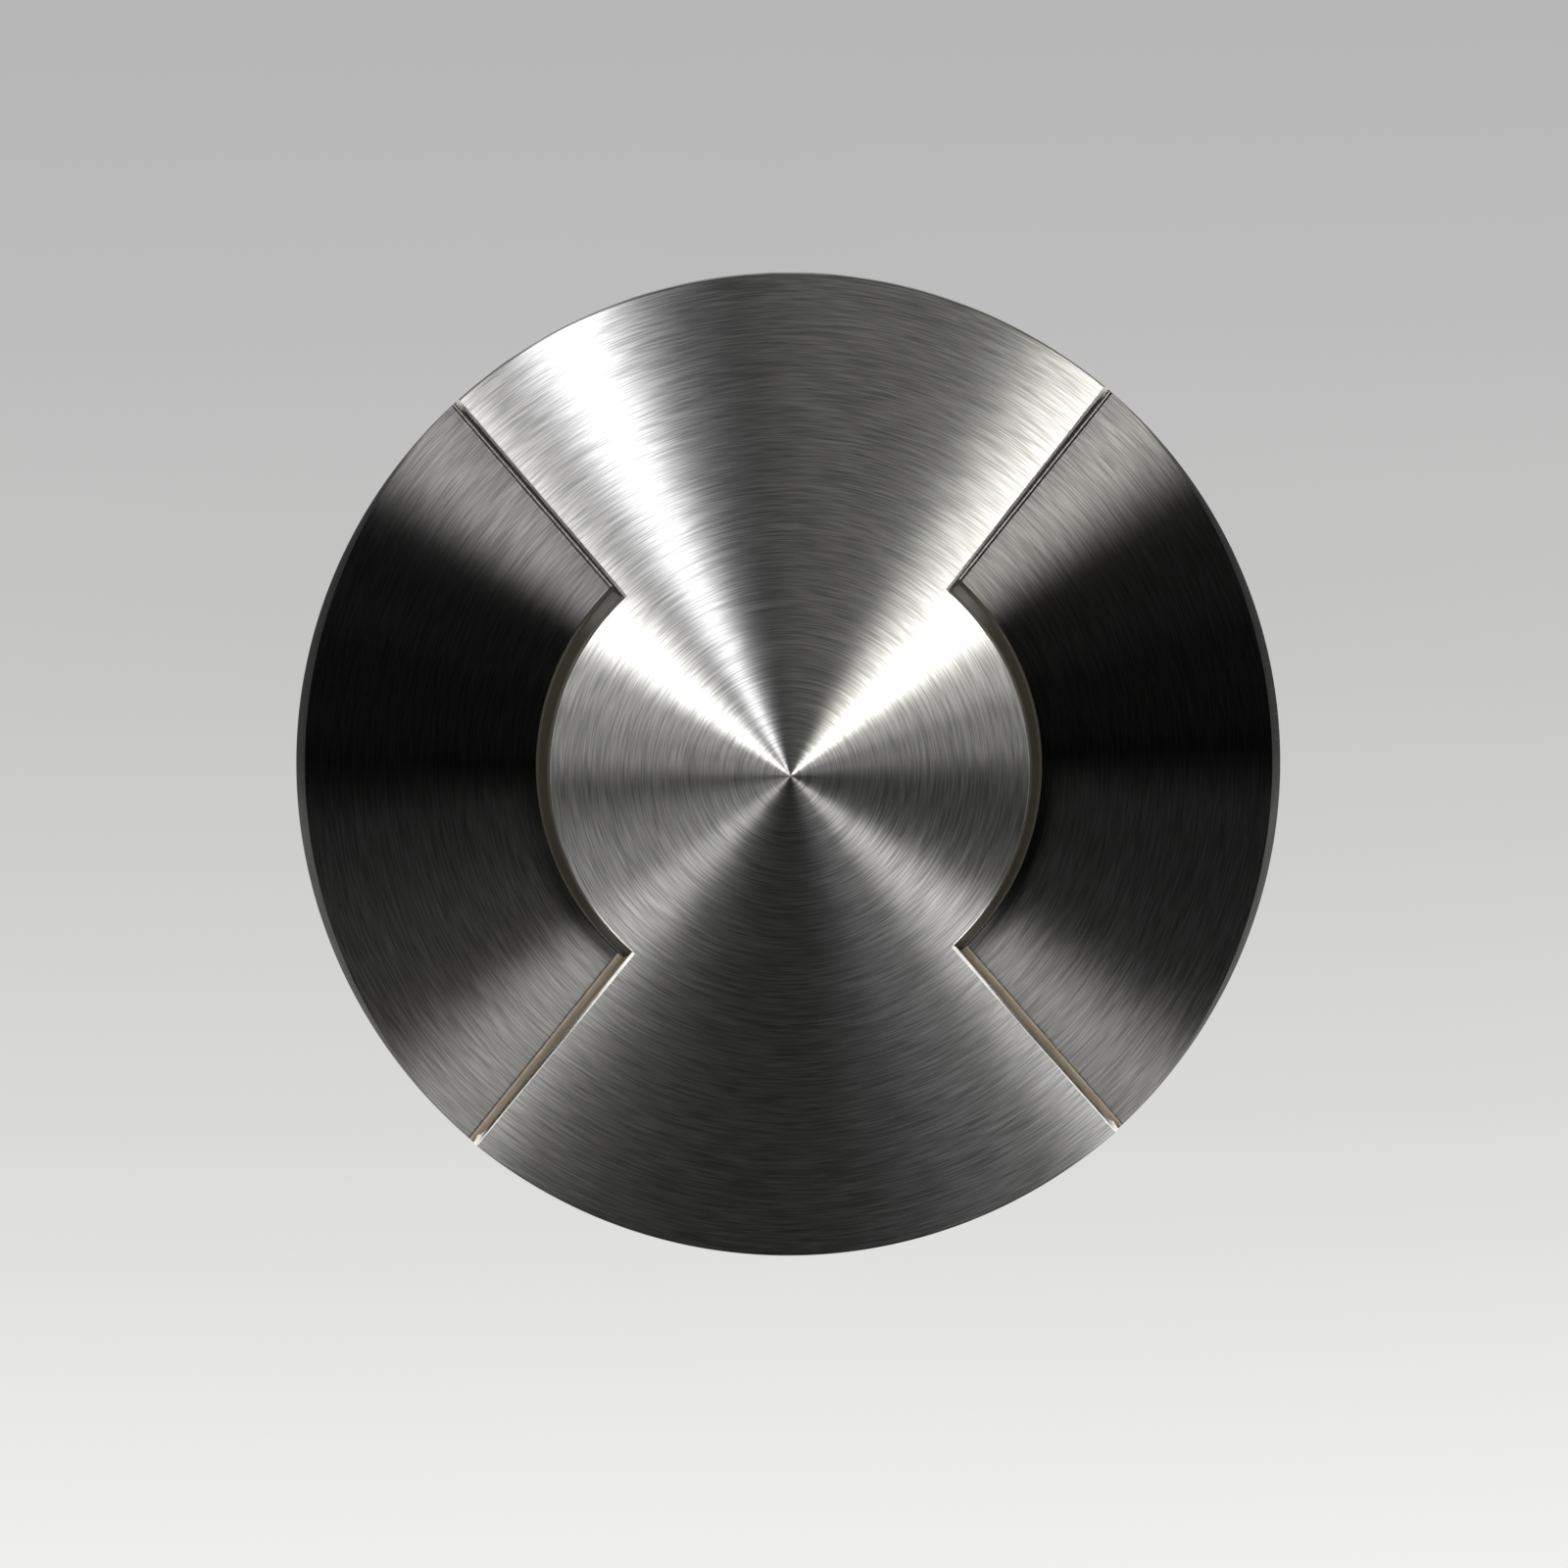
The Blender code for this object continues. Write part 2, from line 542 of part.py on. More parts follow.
def sector_pocket(name, turn):
    """Make the cutter of one level sector, with a fillet where walls meet floor."""
    hub_angle = sector_half_angle(HUB_RADIUS)
    arc = [on_circle(HUB_RADIUS, hub_angle * (1 - 2 * step / SECTOR_ARC_STEPS))
           for step in range(SECTOR_ARC_STEPS + 1)]
    side_x, side_y = side_line_point(COVER_RADIUS + CUT_OVERRUN)
    far_x = COVER_RADIUS + CUT_OVERRUN
    outline = arc + [(side_x, -side_y), (far_x, -side_y), (far_x, side_y), (side_x, side_y)]
    bm = outline_mesh(name, outline, SECTOR_FLOOR_HEIGHT, COVER_HEIGHT + CUT_OVERRUN)
    bottom_edges = [edge for edge in bm.edges
                    if all(vert.co.z < SECTOR_FLOOR_HEIGHT + MERGE_DISTANCE for vert in edge.verts)]
    bmesh.ops.bevel(bm, geom=bottom_edges, offset=SECTOR_FILLET, segments=SECTOR_FILLET_SEGMENTS,
                    profile=0.5, affect="EDGES", material=-1)
    pocket = mesh_object(name, bm, z=COVER_Z)
    pocket.rotation_euler.z = turn
    return pocket


def sector_chamfer(name, turn):
    """Make the cutter of a sector's outer edge.

    Its axis lies behind the cover's, so that the chamfer is widest on the
    bisector and runs out where the side walls reach the rim.
    """
    corner_x, corner_y = side_line_point(COVER_RADIUS)
    middle = COVER_RADIUS - SECTOR_CHAMFER_RUN
    shift = (COVER_RADIUS ** 2 - middle ** 2) / (2 * (middle - corner_x))
    radius = middle + shift
    outer = radius + 2 * SECTOR_CHAMFER_RUN + CUT_OVERRUN
    low = SECTOR_FLOOR_HEIGHT - SECTOR_CHAMFER_DROP
    high = COVER_HEIGHT
    profile = [(outer, high), (outer, low), (radius + SECTOR_CHAMFER_RUN, low),
               (radius, SECTOR_FLOOR_HEIGHT), (radius, high)]
    chamfer = turned(name, profile, LARGE_STEPS, closed=True, z=COVER_Z)
    chamfer.location.x = -shift * math.cos(turn)
    chamfer.location.y = -shift * math.sin(turn)
    return chamfer


def window_profile(inner, grow, bottom, top):
    """Return a window's section: upright at the foot, leaning in towards its head.

    The slot for it has the same section, grown at the front by a clearance.
    """
    foot_height = SECTOR_FLOOR_HEIGHT - FIT_GAP
    lean = (WINDOW_FOOT_RADIUS - WINDOW_TOP_RADIUS) / (WINDOW_HEAD_HEIGHT - foot_height)
    front_top = WINDOW_FOOT_RADIUS - lean * (top - foot_height) + grow
    front_foot = WINDOW_FOOT_RADIUS + grow
    return [(inner, top), (front_top, top), (front_foot, foot_height),
            (front_foot, bottom), (inner, bottom)]


def build_cover(finish):
    """Cone, sectors, hub hollow, window seats and blind screw holes."""
    slope = (COVER_HEIGHT - COVER_RIM_HEIGHT) / COVER_RADIUS
    profile = [(0.0, COVER_HEIGHT),
               (COVER_RADIUS - COVER_EDGE_BREAK, COVER_RIM_HEIGHT + slope * COVER_EDGE_BREAK),
               (COVER_RADIUS, COVER_RIM_HEIGHT - COVER_EDGE_BREAK),
               (COVER_RADIUS, COVER_EDGE_BREAK),
               (COVER_RADIUS - COVER_EDGE_BREAK, 0.0),
               (HUB_HOLLOW_RADIUS, 0.0),
               (HUB_HOLLOW_RADIUS, HUB_HOLLOW_HEIGHT),
               (0.0, HUB_HOLLOW_HEIGHT)]
    cover = turned("cover", profile, LARGE_STEPS, material=finish[STAINLESS], z=COVER_Z)
    inner = HUB_HOLLOW_RADIUS - CUT_OVERRUN
    slot_top = WINDOW_HEAD_HEIGHT + FIT_GAP
    slot_profile = window_profile(inner, FIT_GAP, WINDOW_LEDGE_HEIGHT, slot_top)
    slot_angle = sector_half_angle(HUB_RADIUS) + (WINDOW_TAIL + FIT_GAP) / HUB_RADIUS
    sides = (("left", math.pi), ("right", 0.0))
    for side, turn in sides:
        slot = arc_solid("window_slot_" + side, slot_profile, slot_angle, WINDOW_STEPS, z=COVER_Z)
        slot.rotation_euler.z = turn
        cut(cover, slot)
    for side, turn in sides:
        cut(cover, sector_pocket("sector_pocket_" + side, turn))
        cut(cover, sector_chamfer("sector_chamfer_" + side, turn))
    for number, angle in enumerate(cover_screw_angles(), start=1):
        centre = on_circle(COVER_SCREW_CIRCLE_RADIUS, angle)
        cut(cover, cylinder(f"cover_screw_hole_{number}", COVER_SCREW_SHANK_RADIUS + FIT_GAP,
                            COVER_Z - CUT_OVERRUN, COVER_Z + COVER_SCREW_GRIP + FIT_GAP,
                            centre=centre, steps=SCREW_STEPS))
    return cover


def cover_screw_angles():
    """Return the angles of the four screws, all under the cover's thick arms."""
    return [COVER_SCREW_ANGLE, math.pi - COVER_SCREW_ANGLE,
            math.pi + COVER_SCREW_ANGLE, -COVER_SCREW_ANGLE]


def build_windows(finish):
    """Two curved windows with leaning fronts, each on its own flat seal."""
    half_angle = sector_half_angle(HUB_RADIUS) + WINDOW_TAIL / HUB_RADIUS
    pieces = []
    glass = window_profile(WINDOW_INNER_RADIUS, 0.0, WINDOW_BOTTOM_HEIGHT, WINDOW_HEAD_HEIGHT)
    seal_low = WINDOW_LEDGE_HEIGHT + FIT_GAP
    seal_high = seal_low + WINDOW_SEAL_THICKNESS
    seal_outer = WINDOW_FOOT_RADIUS - WINDOW_SEAL_INSET
    seal_inner = WINDOW_INNER_RADIUS + WINDOW_SEAL_INSET
    strip = [(seal_inner, seal_high), (seal_outer, seal_high),
             (seal_outer, seal_low), (seal_inner, seal_low)]
    for side, turn in (("left", math.pi), ("right", 0.0)):
        window = arc_solid("window_" + side, glass, half_angle, WINDOW_STEPS,
                           material=finish["window_glass"], z=COVER_Z)
        seal = arc_solid("window_seal_" + side, strip, half_angle, WINDOW_STEPS,
                         material=finish["black_rubber"], z=COVER_Z)
        for piece in (window, seal):
            piece.rotation_euler.z = turn
            pieces.append(piece)
    return pieces


def build_housing(finish):
    """Turned housing with a sealing groove, a ring land, fins and a closed top wall."""
    groove_half = COVER_SEAL_SECTION_RADIUS + FIT_GAP
    groove_depth = 2 * COVER_SEAL_SECTION_RADIUS + FIT_GAP
    circlip_radius = HOUSING_RADIUS - CIRCLIP_GROOVE_DEPTH
    profile = [(HOUSING_FLANGE_RADIUS, HOUSING_TOP_Z),
               (HOUSING_FLANGE_RADIUS, FLANGE_BOTTOM_Z),
               (HOUSING_RADIUS, FLANGE_BOTTOM_Z),
               (HOUSING_RADIUS, RING_BOTTOM_Z),
               (circlip_radius, RING_BOTTOM_Z),
               (circlip_radius, CIRCLIP_BOTTOM_Z - FIT_GAP),
               (HOUSING_RADIUS, CIRCLIP_BOTTOM_Z - FIT_GAP)]
    fin_z = CIRCLIP_BOTTOM_Z - FIT_GAP - HOUSING_COLLAR_HEIGHT
    valley_radius = HOUSING_RADIUS - HOUSING_FIN_DEPTH
    valley = HOUSING_FIN_PITCH - HOUSING_FIN_THICKNESS
    for fin in range(HOUSING_FIN_COUNT):
        top = fin_z - fin * HOUSING_FIN_PITCH
        profile += [(HOUSING_RADIUS, top), (valley_radius, top - HOUSING_FIN_DRAFT),
                    (valley_radius, top - valley + HOUSING_FIN_DRAFT),
                    (HOUSING_RADIUS, top - valley)]
    seat_radius = CARRIER_RADIUS + FIT_GAP
    profile += [(HOUSING_RADIUS, HOUSING_BOTTOM_Z),
                (HOUSING_CAVITY_RADIUS, HOUSING_BOTTOM_Z),
                (HOUSING_CAVITY_RADIUS, CAVITY_TOP_Z),
                (WIRE_HOLE_RADIUS, CAVITY_TOP_Z),
                (WIRE_HOLE_RADIUS, CARRIER_SEAT_Z),
                (seat_radius, CARRIER_SEAT_Z),
                (seat_radius, HOUSING_TOP_Z),
                (COVER_SEAL_RADIUS - groove_half, HOUSING_TOP_Z),
                (COVER_SEAL_RADIUS - groove_half, HOUSING_TOP_Z - groove_depth),
                (COVER_SEAL_RADIUS + groove_half, HOUSING_TOP_Z - groove_depth),
                (COVER_SEAL_RADIUS + groove_half, HOUSING_TOP_Z)]
    housing = turned("housing", profile, BODY_STEPS, closed=True, material=finish["cast_aluminium"])
    head_top = FLANGE_BOTTOM_Z + COVER_SCREW_HEAD_HEIGHT + FIT_GAP
    for number, angle in enumerate(cover_screw_angles(), start=1):
        centre = on_circle(COVER_SCREW_CIRCLE_RADIUS, angle)
        cut(housing,
            cylinder(f"flange_hole_{number}", COVER_SCREW_SHANK_RADIUS + FIT_GAP,
                     FLANGE_BOTTOM_Z - CUT_OVERRUN, HOUSING_TOP_Z + CUT_OVERRUN,
                     centre=centre, steps=SCREW_STEPS),
            cylinder(f"flange_counterbore_{number}", COVER_SCREW_HEAD_RADIUS + FIT_GAP,
                     FLANGE_BOTTOM_Z - CUT_OVERRUN, head_top + FIT_GAP,
                     centre=centre, steps=SCREW_STEPS))
    for number, angle in enumerate(base_screw_angles(), start=1):
        centre = on_circle(BASE_SCREW_CIRCLE_RADIUS, angle)
        cut(housing, cylinder(f"base_screw_hole_{number}", BASE_SCREW_SHANK_RADIUS + FIT_GAP,
                              HOUSING_BOTTOM_Z - CUT_OVERRUN,
                              HOUSING_BOTTOM_Z + BASE_SCREW_GRIP + FIT_GAP,
                              centre=centre, steps=SCREW_STEPS))
    for number, side in enumerate((1, -1), start=1):
        cut(housing,
            cylinder(f"engine_screw_hole_{number}", ENGINE_SCREW_SHANK_RADIUS + FIT_GAP,
                     CARRIER_SEAT_Z - ENGINE_SCREW_GRIP - FIT_GAP, CARRIER_SEAT_Z + CUT_OVERRUN,
                     centre=(0.0, side * ENGINE_SCREW_OFFSET), steps=SCREW_STEPS),
            cylinder(f"driver_screw_hole_{number}", ENGINE_SCREW_SHANK_RADIUS + FIT_GAP,
                     CAVITY_TOP_Z - CUT_OVERRUN, CAVITY_TOP_Z + DRIVER_SCREW_GRIP + FIT_GAP,
                     centre=(side * DRIVER_SCREW_OFFSET, 0.0), steps=SCREW_STEPS))
    return housing


def base_screw_angles():
    """Return the angles of the base plate's screws."""
    first = math.pi / BASE_SCREW_COUNT
    return [first + 2 * math.pi * number / BASE_SCREW_COUNT for number in range(BASE_SCREW_COUNT)]


def screw_piece(name, shank_radius, head_radius, head_height, grip, centre, seat_z, up, material):
    """Make a cap screw whose head rests at seat_z and whose shank runs up or down."""
    rim = head_height / 6
    tip = shank_radius / 3
    profile = [(0.0, head_height), (head_radius - rim, head_height),
               (head_radius, head_height - rim), (head_radius, 0.0), (shank_radius, 0.0),
               (shank_radius, tip - grip), (shank_radius - tip, -grip), (0.0, -grip)]
    screw = turned(name, profile, SCREW_STEPS, material=material)
    screw.location = (centre[0], centre[1], seat_z)
    if up:
        screw.rotation_euler.x = math.pi
    return screw


def build_cover_screws(finish):
    """Four screws that pull the housing up to the cover."""
    seat_z = FLANGE_BOTTOM_Z + COVER_SCREW_HEAD_HEIGHT + FIT_GAP
    grip = COVER_Z + COVER_SCREW_GRIP - seat_z
    return [screw_piece(f"cover_screw_{number}", COVER_SCREW_SHANK_RADIUS, COVER_SCREW_HEAD_RADIUS,
                        COVER_SCREW_HEAD_HEIGHT, grip, on_circle(COVER_SCREW_CIRCLE_RADIUS, angle),
                        seat_z, True, finish["screw_steel"])
            for number, angle in enumerate(cover_screw_angles(), start=1)]


def build_cover_seal(finish):
    """Round sealing ring in the groove of the housing's top face."""
    height = COVER_Z - FIT_GAP - COVER_SEAL_SECTION_RADIUS
    profile = circle_profile(COVER_SEAL_RADIUS, COVER_SEAL_SECTION_RADIUS, height, 8)
    return turned("cover_seal", profile, RING_STEPS, closed=True, material=finish["black_rubber"])


def build_light_engine(finish):
    """Carrier, board, light sources, reflector, two screws and two leads."""
    pieces = []
    hole = WIRE_HOLE_RADIUS - FIT_GAP
    carrier = turned("led_carrier",
                     [(CARRIER_RADIUS, CARRIER_TOP_Z), (CARRIER_RADIUS, CARRIER_BOTTOM_Z),
                      (hole, CARRIER_BOTTOM_Z), (hole, CARRIER_TOP_Z)],
                     BODY_STEPS, closed=True, material=finish["machined_aluminium"])
    board = turned("led_board",
                   [(0.0, BOARD_TOP_Z), (BOARD_RADIUS, BOARD_TOP_Z),
                    (BOARD_RADIUS, BOARD_BOTTOM_Z), (0.0, BOARD_BOTTOM_Z)],
                   RING_STEPS, material=finish["white_board"])
    lip_bottom = REFLECTOR_TOP_Z - REFLECTOR_LIP
    reflector = turned("reflector",
                       [(0.0, REFLECTOR_TOP_Z), (REFLECTOR_RADIUS, REFLECTOR_TOP_Z),
                        (REFLECTOR_RADIUS, lip_bottom),
                        (REFLECTOR_THROAT_RADIUS, lip_bottom - REFLECTOR_FLARE_HEIGHT),
                        (REFLECTOR_THROAT_RADIUS, ENGINE_FLOOR_Z), (0.0, ENGINE_FLOOR_Z)],
                       RING_STEPS, material=finish["mirror_plastic"])
    seat_z = REFLECTOR_TOP_Z - ENGINE_SCREW_HEAD_HEIGHT - FIT_GAP
    grip = seat_z - (CARRIER_SEAT_Z - ENGINE_SCREW_GRIP)
    for number, side in enumerate((1, -1), start=1):
        centre = (0.0, side * ENGINE_SCREW_OFFSET)
        for piece in (carrier, board, reflector):
            cut(piece, cylinder(f"{piece.name}_hole_{number}", ENGINE_SCREW_SHANK_RADIUS + FIT_GAP,
                                CARRIER_BOTTOM_Z - CUT_OVERRUN, REFLECTOR_TOP_Z + CUT_OVERRUN,
                                centre=centre, steps=SCREW_STEPS))
        cut(reflector, cylinder(f"reflector_counterbore_{number}",
                                ENGINE_SCREW_HEAD_RADIUS + FIT_GAP, seat_z - FIT_GAP,
                                REFLECTOR_TOP_Z + CUT_OVERRUN, centre=centre, steps=SCREW_STEPS))
        pieces.append(screw_piece(f"engine_screw_{number}", ENGINE_SCREW_SHANK_RADIUS,
                                  ENGINE_SCREW_HEAD_RADIUS, ENGINE_SCREW_HEAD_HEIGHT, grip,
                                  centre, seat_z, False, finish["screw_steel"]))
    pieces += [carrier, board, reflector]
    for side, middle in (("left", math.pi), ("right", 0.0)):
        for number in range(LED_COUNT):
            angle = middle + (number - (LED_COUNT - 1) / 2) * LED_ANGLE_STEP
            pieces.append(build_led(f"led_{side}_{number + 1}", angle, finish["led_phosphor"]))
    return pieces + build_leads(finish)


def build_led(name, angle, material):
    """Side-looking light source with a shallow raised window on its outer face."""
    bm = bmesh.new()
    bmesh.ops.create_cube(bm, size=1.0)
    bmesh.ops.scale(bm, vec=(LED_DEPTH, LED_WIDTH, LED_HEIGHT), verts=bm.verts[:])
    front = [face for face in bm.faces if face.normal.x > 0.5]
    bmesh.ops.inset_individual(bm, faces=front, thickness=LED_DOME_DEPTH)
    bmesh.ops.translate(bm, vec=(LED_DOME_DEPTH / 2, 0, 0), verts=front[0].verts[:])
    led = mesh_object(name, bm, material=material)
    x, y = on_circle(LED_CIRCLE_RADIUS, angle)
    led.location = (x, y, ENGINE_FLOOR_Z + LED_HEIGHT / 2)
    led.rotation_euler.z = angle
    return led


def build_leads(finish):
    """Two short leads from the driver up to the board."""
    low = DRIVER_TOP_Z + FIT_GAP
    high = BOARD_BOTTOM_Z - FIT_GAP
    leads = []
    for side, colour in ((1, "red"), (-1, "black")):
        curve = bpy.data.curves.new("board_lead_" + colour, "CURVE")
        curve.dimensions = "3D"
        curve.bevel_depth = LEAD_RADIUS
        curve.bevel_resolution = 2
        curve.use_fill_caps = True
        spline = curve.splines.new("POLY")
        spline.points.add(LEAD_POINTS - 1)
        for index, point in enumerate(spline.points):
            share = index / (LEAD_POINTS - 1)
            bow = LEAD_BOW * math.sin(math.pi * share) ** 2
            x = side * (LEAD_SPACING / 2 + bow)
            point.co = (x, 0.0, low + (high - low) * share, 1.0)
        lead = bpy.data.objects.new("board_lead_" + colour, curve)
        leads.append(place(lead, material=finish["lead_" + colour]))
    return leads


def build_driver(finish):
    """Potted driver with a mounting flange, and its two screws."""
    bottom = DRIVER_TOP_Z - DRIVER_HEIGHT
    flange_bottom = DRIVER_TOP_Z - DRIVER_FLANGE_THICKNESS
    driver = turned("driver",
                    [(0.0, DRIVER_TOP_Z), (DRIVER_FLANGE_RADIUS, DRIVER_TOP_Z),
                     (DRIVER_FLANGE_RADIUS, flange_bottom), (DRIVER_RADIUS, flange_bottom),
                     (DRIVER_RADIUS, bottom + DRIVER_EDGE), (DRIVER_RADIUS - DRIVER_EDGE, bottom),
                     (0.0, bottom)],
                    RING_STEPS, material=finish["driver_potting"])
    pieces = [driver]
    seat_z = flange_bottom - FIT_GAP
    grip = CAVITY_TOP_Z + DRIVER_SCREW_GRIP - seat_z
    for number, side in enumerate((1, -1), start=1):
        centre = (side * DRIVER_SCREW_OFFSET, 0.0)
        cut(driver, cylinder(f"driver_hole_{number}", ENGINE_SCREW_SHANK_RADIUS + FIT_GAP,
                             seat_z - CUT_OVERRUN, DRIVER_TOP_Z + CUT_OVERRUN,
                             centre=centre, steps=SCREW_STEPS))
        pieces.append(screw_piece(f"driver_screw_{number}", ENGINE_SCREW_SHANK_RADIUS,
                                  ENGINE_SCREW_HEAD_RADIUS, ENGINE_SCREW_HEAD_HEIGHT, grip,
                                  centre, seat_z, True, finish["screw_steel"]))
    return pieces


def build_terminal_block(finish):
    """Terminal block with a row of wire ways, standing on the base plate."""
    bottom = BASE_TOP_Z + FIT_GAP
    block = box("terminal_block", (TERMINAL_LENGTH, TERMINAL_WIDTH, TERMINAL_HEIGHT),
                (0.0, -TERMINAL_OFFSET, bottom + TERMINAL_HEIGHT / 2),
                material=finish["terminal_plastic"])
    step = TERMINAL_LENGTH / TERMINAL_WAY_COUNT
    for number in range(TERMINAL_WAY_COUNT):
        x = (number - (TERMINAL_WAY_COUNT - 1) / 2) * step
        way = lying_cylinder(f"terminal_way_{number + 1}", TERMINAL_WAY_RADIUS,
                             2 * TERMINAL_WAY_DEPTH,
                             (x, TERMINAL_WIDTH / 2 - TERMINAL_OFFSET, bottom + TERMINAL_HEIGHT / 2),
                             math.pi / 2, steps=SCREW_STEPS)
        cut(block, way)
    return [block]


def build_base(finish):
    """Base plate with a sealed spigot, its seal and its four screws."""
    spigot_radius = HOUSING_CAVITY_RADIUS - FIT_GAP
    spigot_top = BASE_TOP_Z + BASE_SPIGOT_HEIGHT
    groove_floor = spigot_radius - 2 * BASE_SEAL_SECTION_RADIUS - FIT_GAP
    groove_half = BASE_SEAL_SECTION_RADIUS + FIT_GAP
    seal_z = BASE_TOP_Z + BASE_SEAL_HEIGHT
    profile = [(0.0, BASE_TOP_Z),
               (spigot_radius - BASE_SPIGOT_WALL, BASE_TOP_Z),
               (spigot_radius - BASE_SPIGOT_WALL, spigot_top),
               (spigot_radius, spigot_top),
               (spigot_radius, seal_z + groove_half),
               (groove_floor, seal_z + groove_half),
               (groove_floor, seal_z - groove_half),
               (spigot_radius, seal_z - groove_half),
               (spigot_radius, BASE_TOP_Z),
               (HOUSING_RADIUS, BASE_TOP_Z),
               (HOUSING_RADIUS, BASE_BOTTOM_Z),
               (0.0, BASE_BOTTOM_Z)]
    plate = turned("base_plate", profile, BODY_STEPS, material=finish["cast_aluminium"])
    holes = [("gland_hole", ENTRY_THREAD_RADIUS, (ENTRY_OFFSET, 0.0)),
             ("plug_hole", ENTRY_THREAD_RADIUS, (-ENTRY_OFFSET, 0.0)),
             ("vent_hole", VENT_THREAD_RADIUS, (0.0, VENT_OFFSET))]
    for name, radius, centre in holes:
        cut(plate, cylinder(name, radius + FIT_GAP, BASE_BOTTOM_Z - CUT_OVERRUN,
                            BASE_TOP_Z + CUT_OVERRUN, centre=centre))
    seal = turned("base_seal",
                  circle_profile(spigot_radius - BASE_SEAL_SECTION_RADIUS,
                                 BASE_SEAL_SECTION_RADIUS, seal_z, 8),
                  RING_STEPS, closed=True, material=finish["black_rubber"])
    pieces = [plate, seal]
    seat_z = BASE_BOTTOM_Z - FIT_GAP
    grip = HOUSING_BOTTOM_Z + BASE_SCREW_GRIP - seat_z
    for number, angle in enumerate(base_screw_angles(), start=1):
        centre = on_circle(BASE_SCREW_CIRCLE_RADIUS, angle)
        cut(plate, cylinder(f"base_plate_hole_{number}", BASE_SCREW_SHANK_RADIUS + FIT_GAP,
                            BASE_BOTTOM_Z - CUT_OVERRUN, BASE_TOP_Z + CUT_OVERRUN,
                            centre=centre, steps=SCREW_STEPS))
        pieces.append(screw_piece(f"base_screw_{number}", BASE_SCREW_SHANK_RADIUS,
                                  BASE_SCREW_HEAD_RADIUS, BASE_SCREW_HEAD_HEIGHT, grip,
                                  centre, seat_z, True, finish["screw_steel"]))
    return pieces


def entry_washer(name, centre, finish):
    """Sealing washer between the base plate and an entry's hexagon."""
    inner = ENTRY_THREAD_RADIUS + FIT_GAP
    top = BASE_BOTTOM_Z - FIT_GAP
    bottom = top - ENTRY_WASHER_THICKNESS
    outer = ENTRY_HEX_RADIUS * math.cos(math.pi / HEX_SIDES)
    washer = turned(name, [(outer, top), (outer, bottom), (inner, bottom), (inner, top)],
                    SMALL_STEPS, closed=True, material=finish["black_rubber"])
    washer.location.x, washer.location.y = centre
    return washer


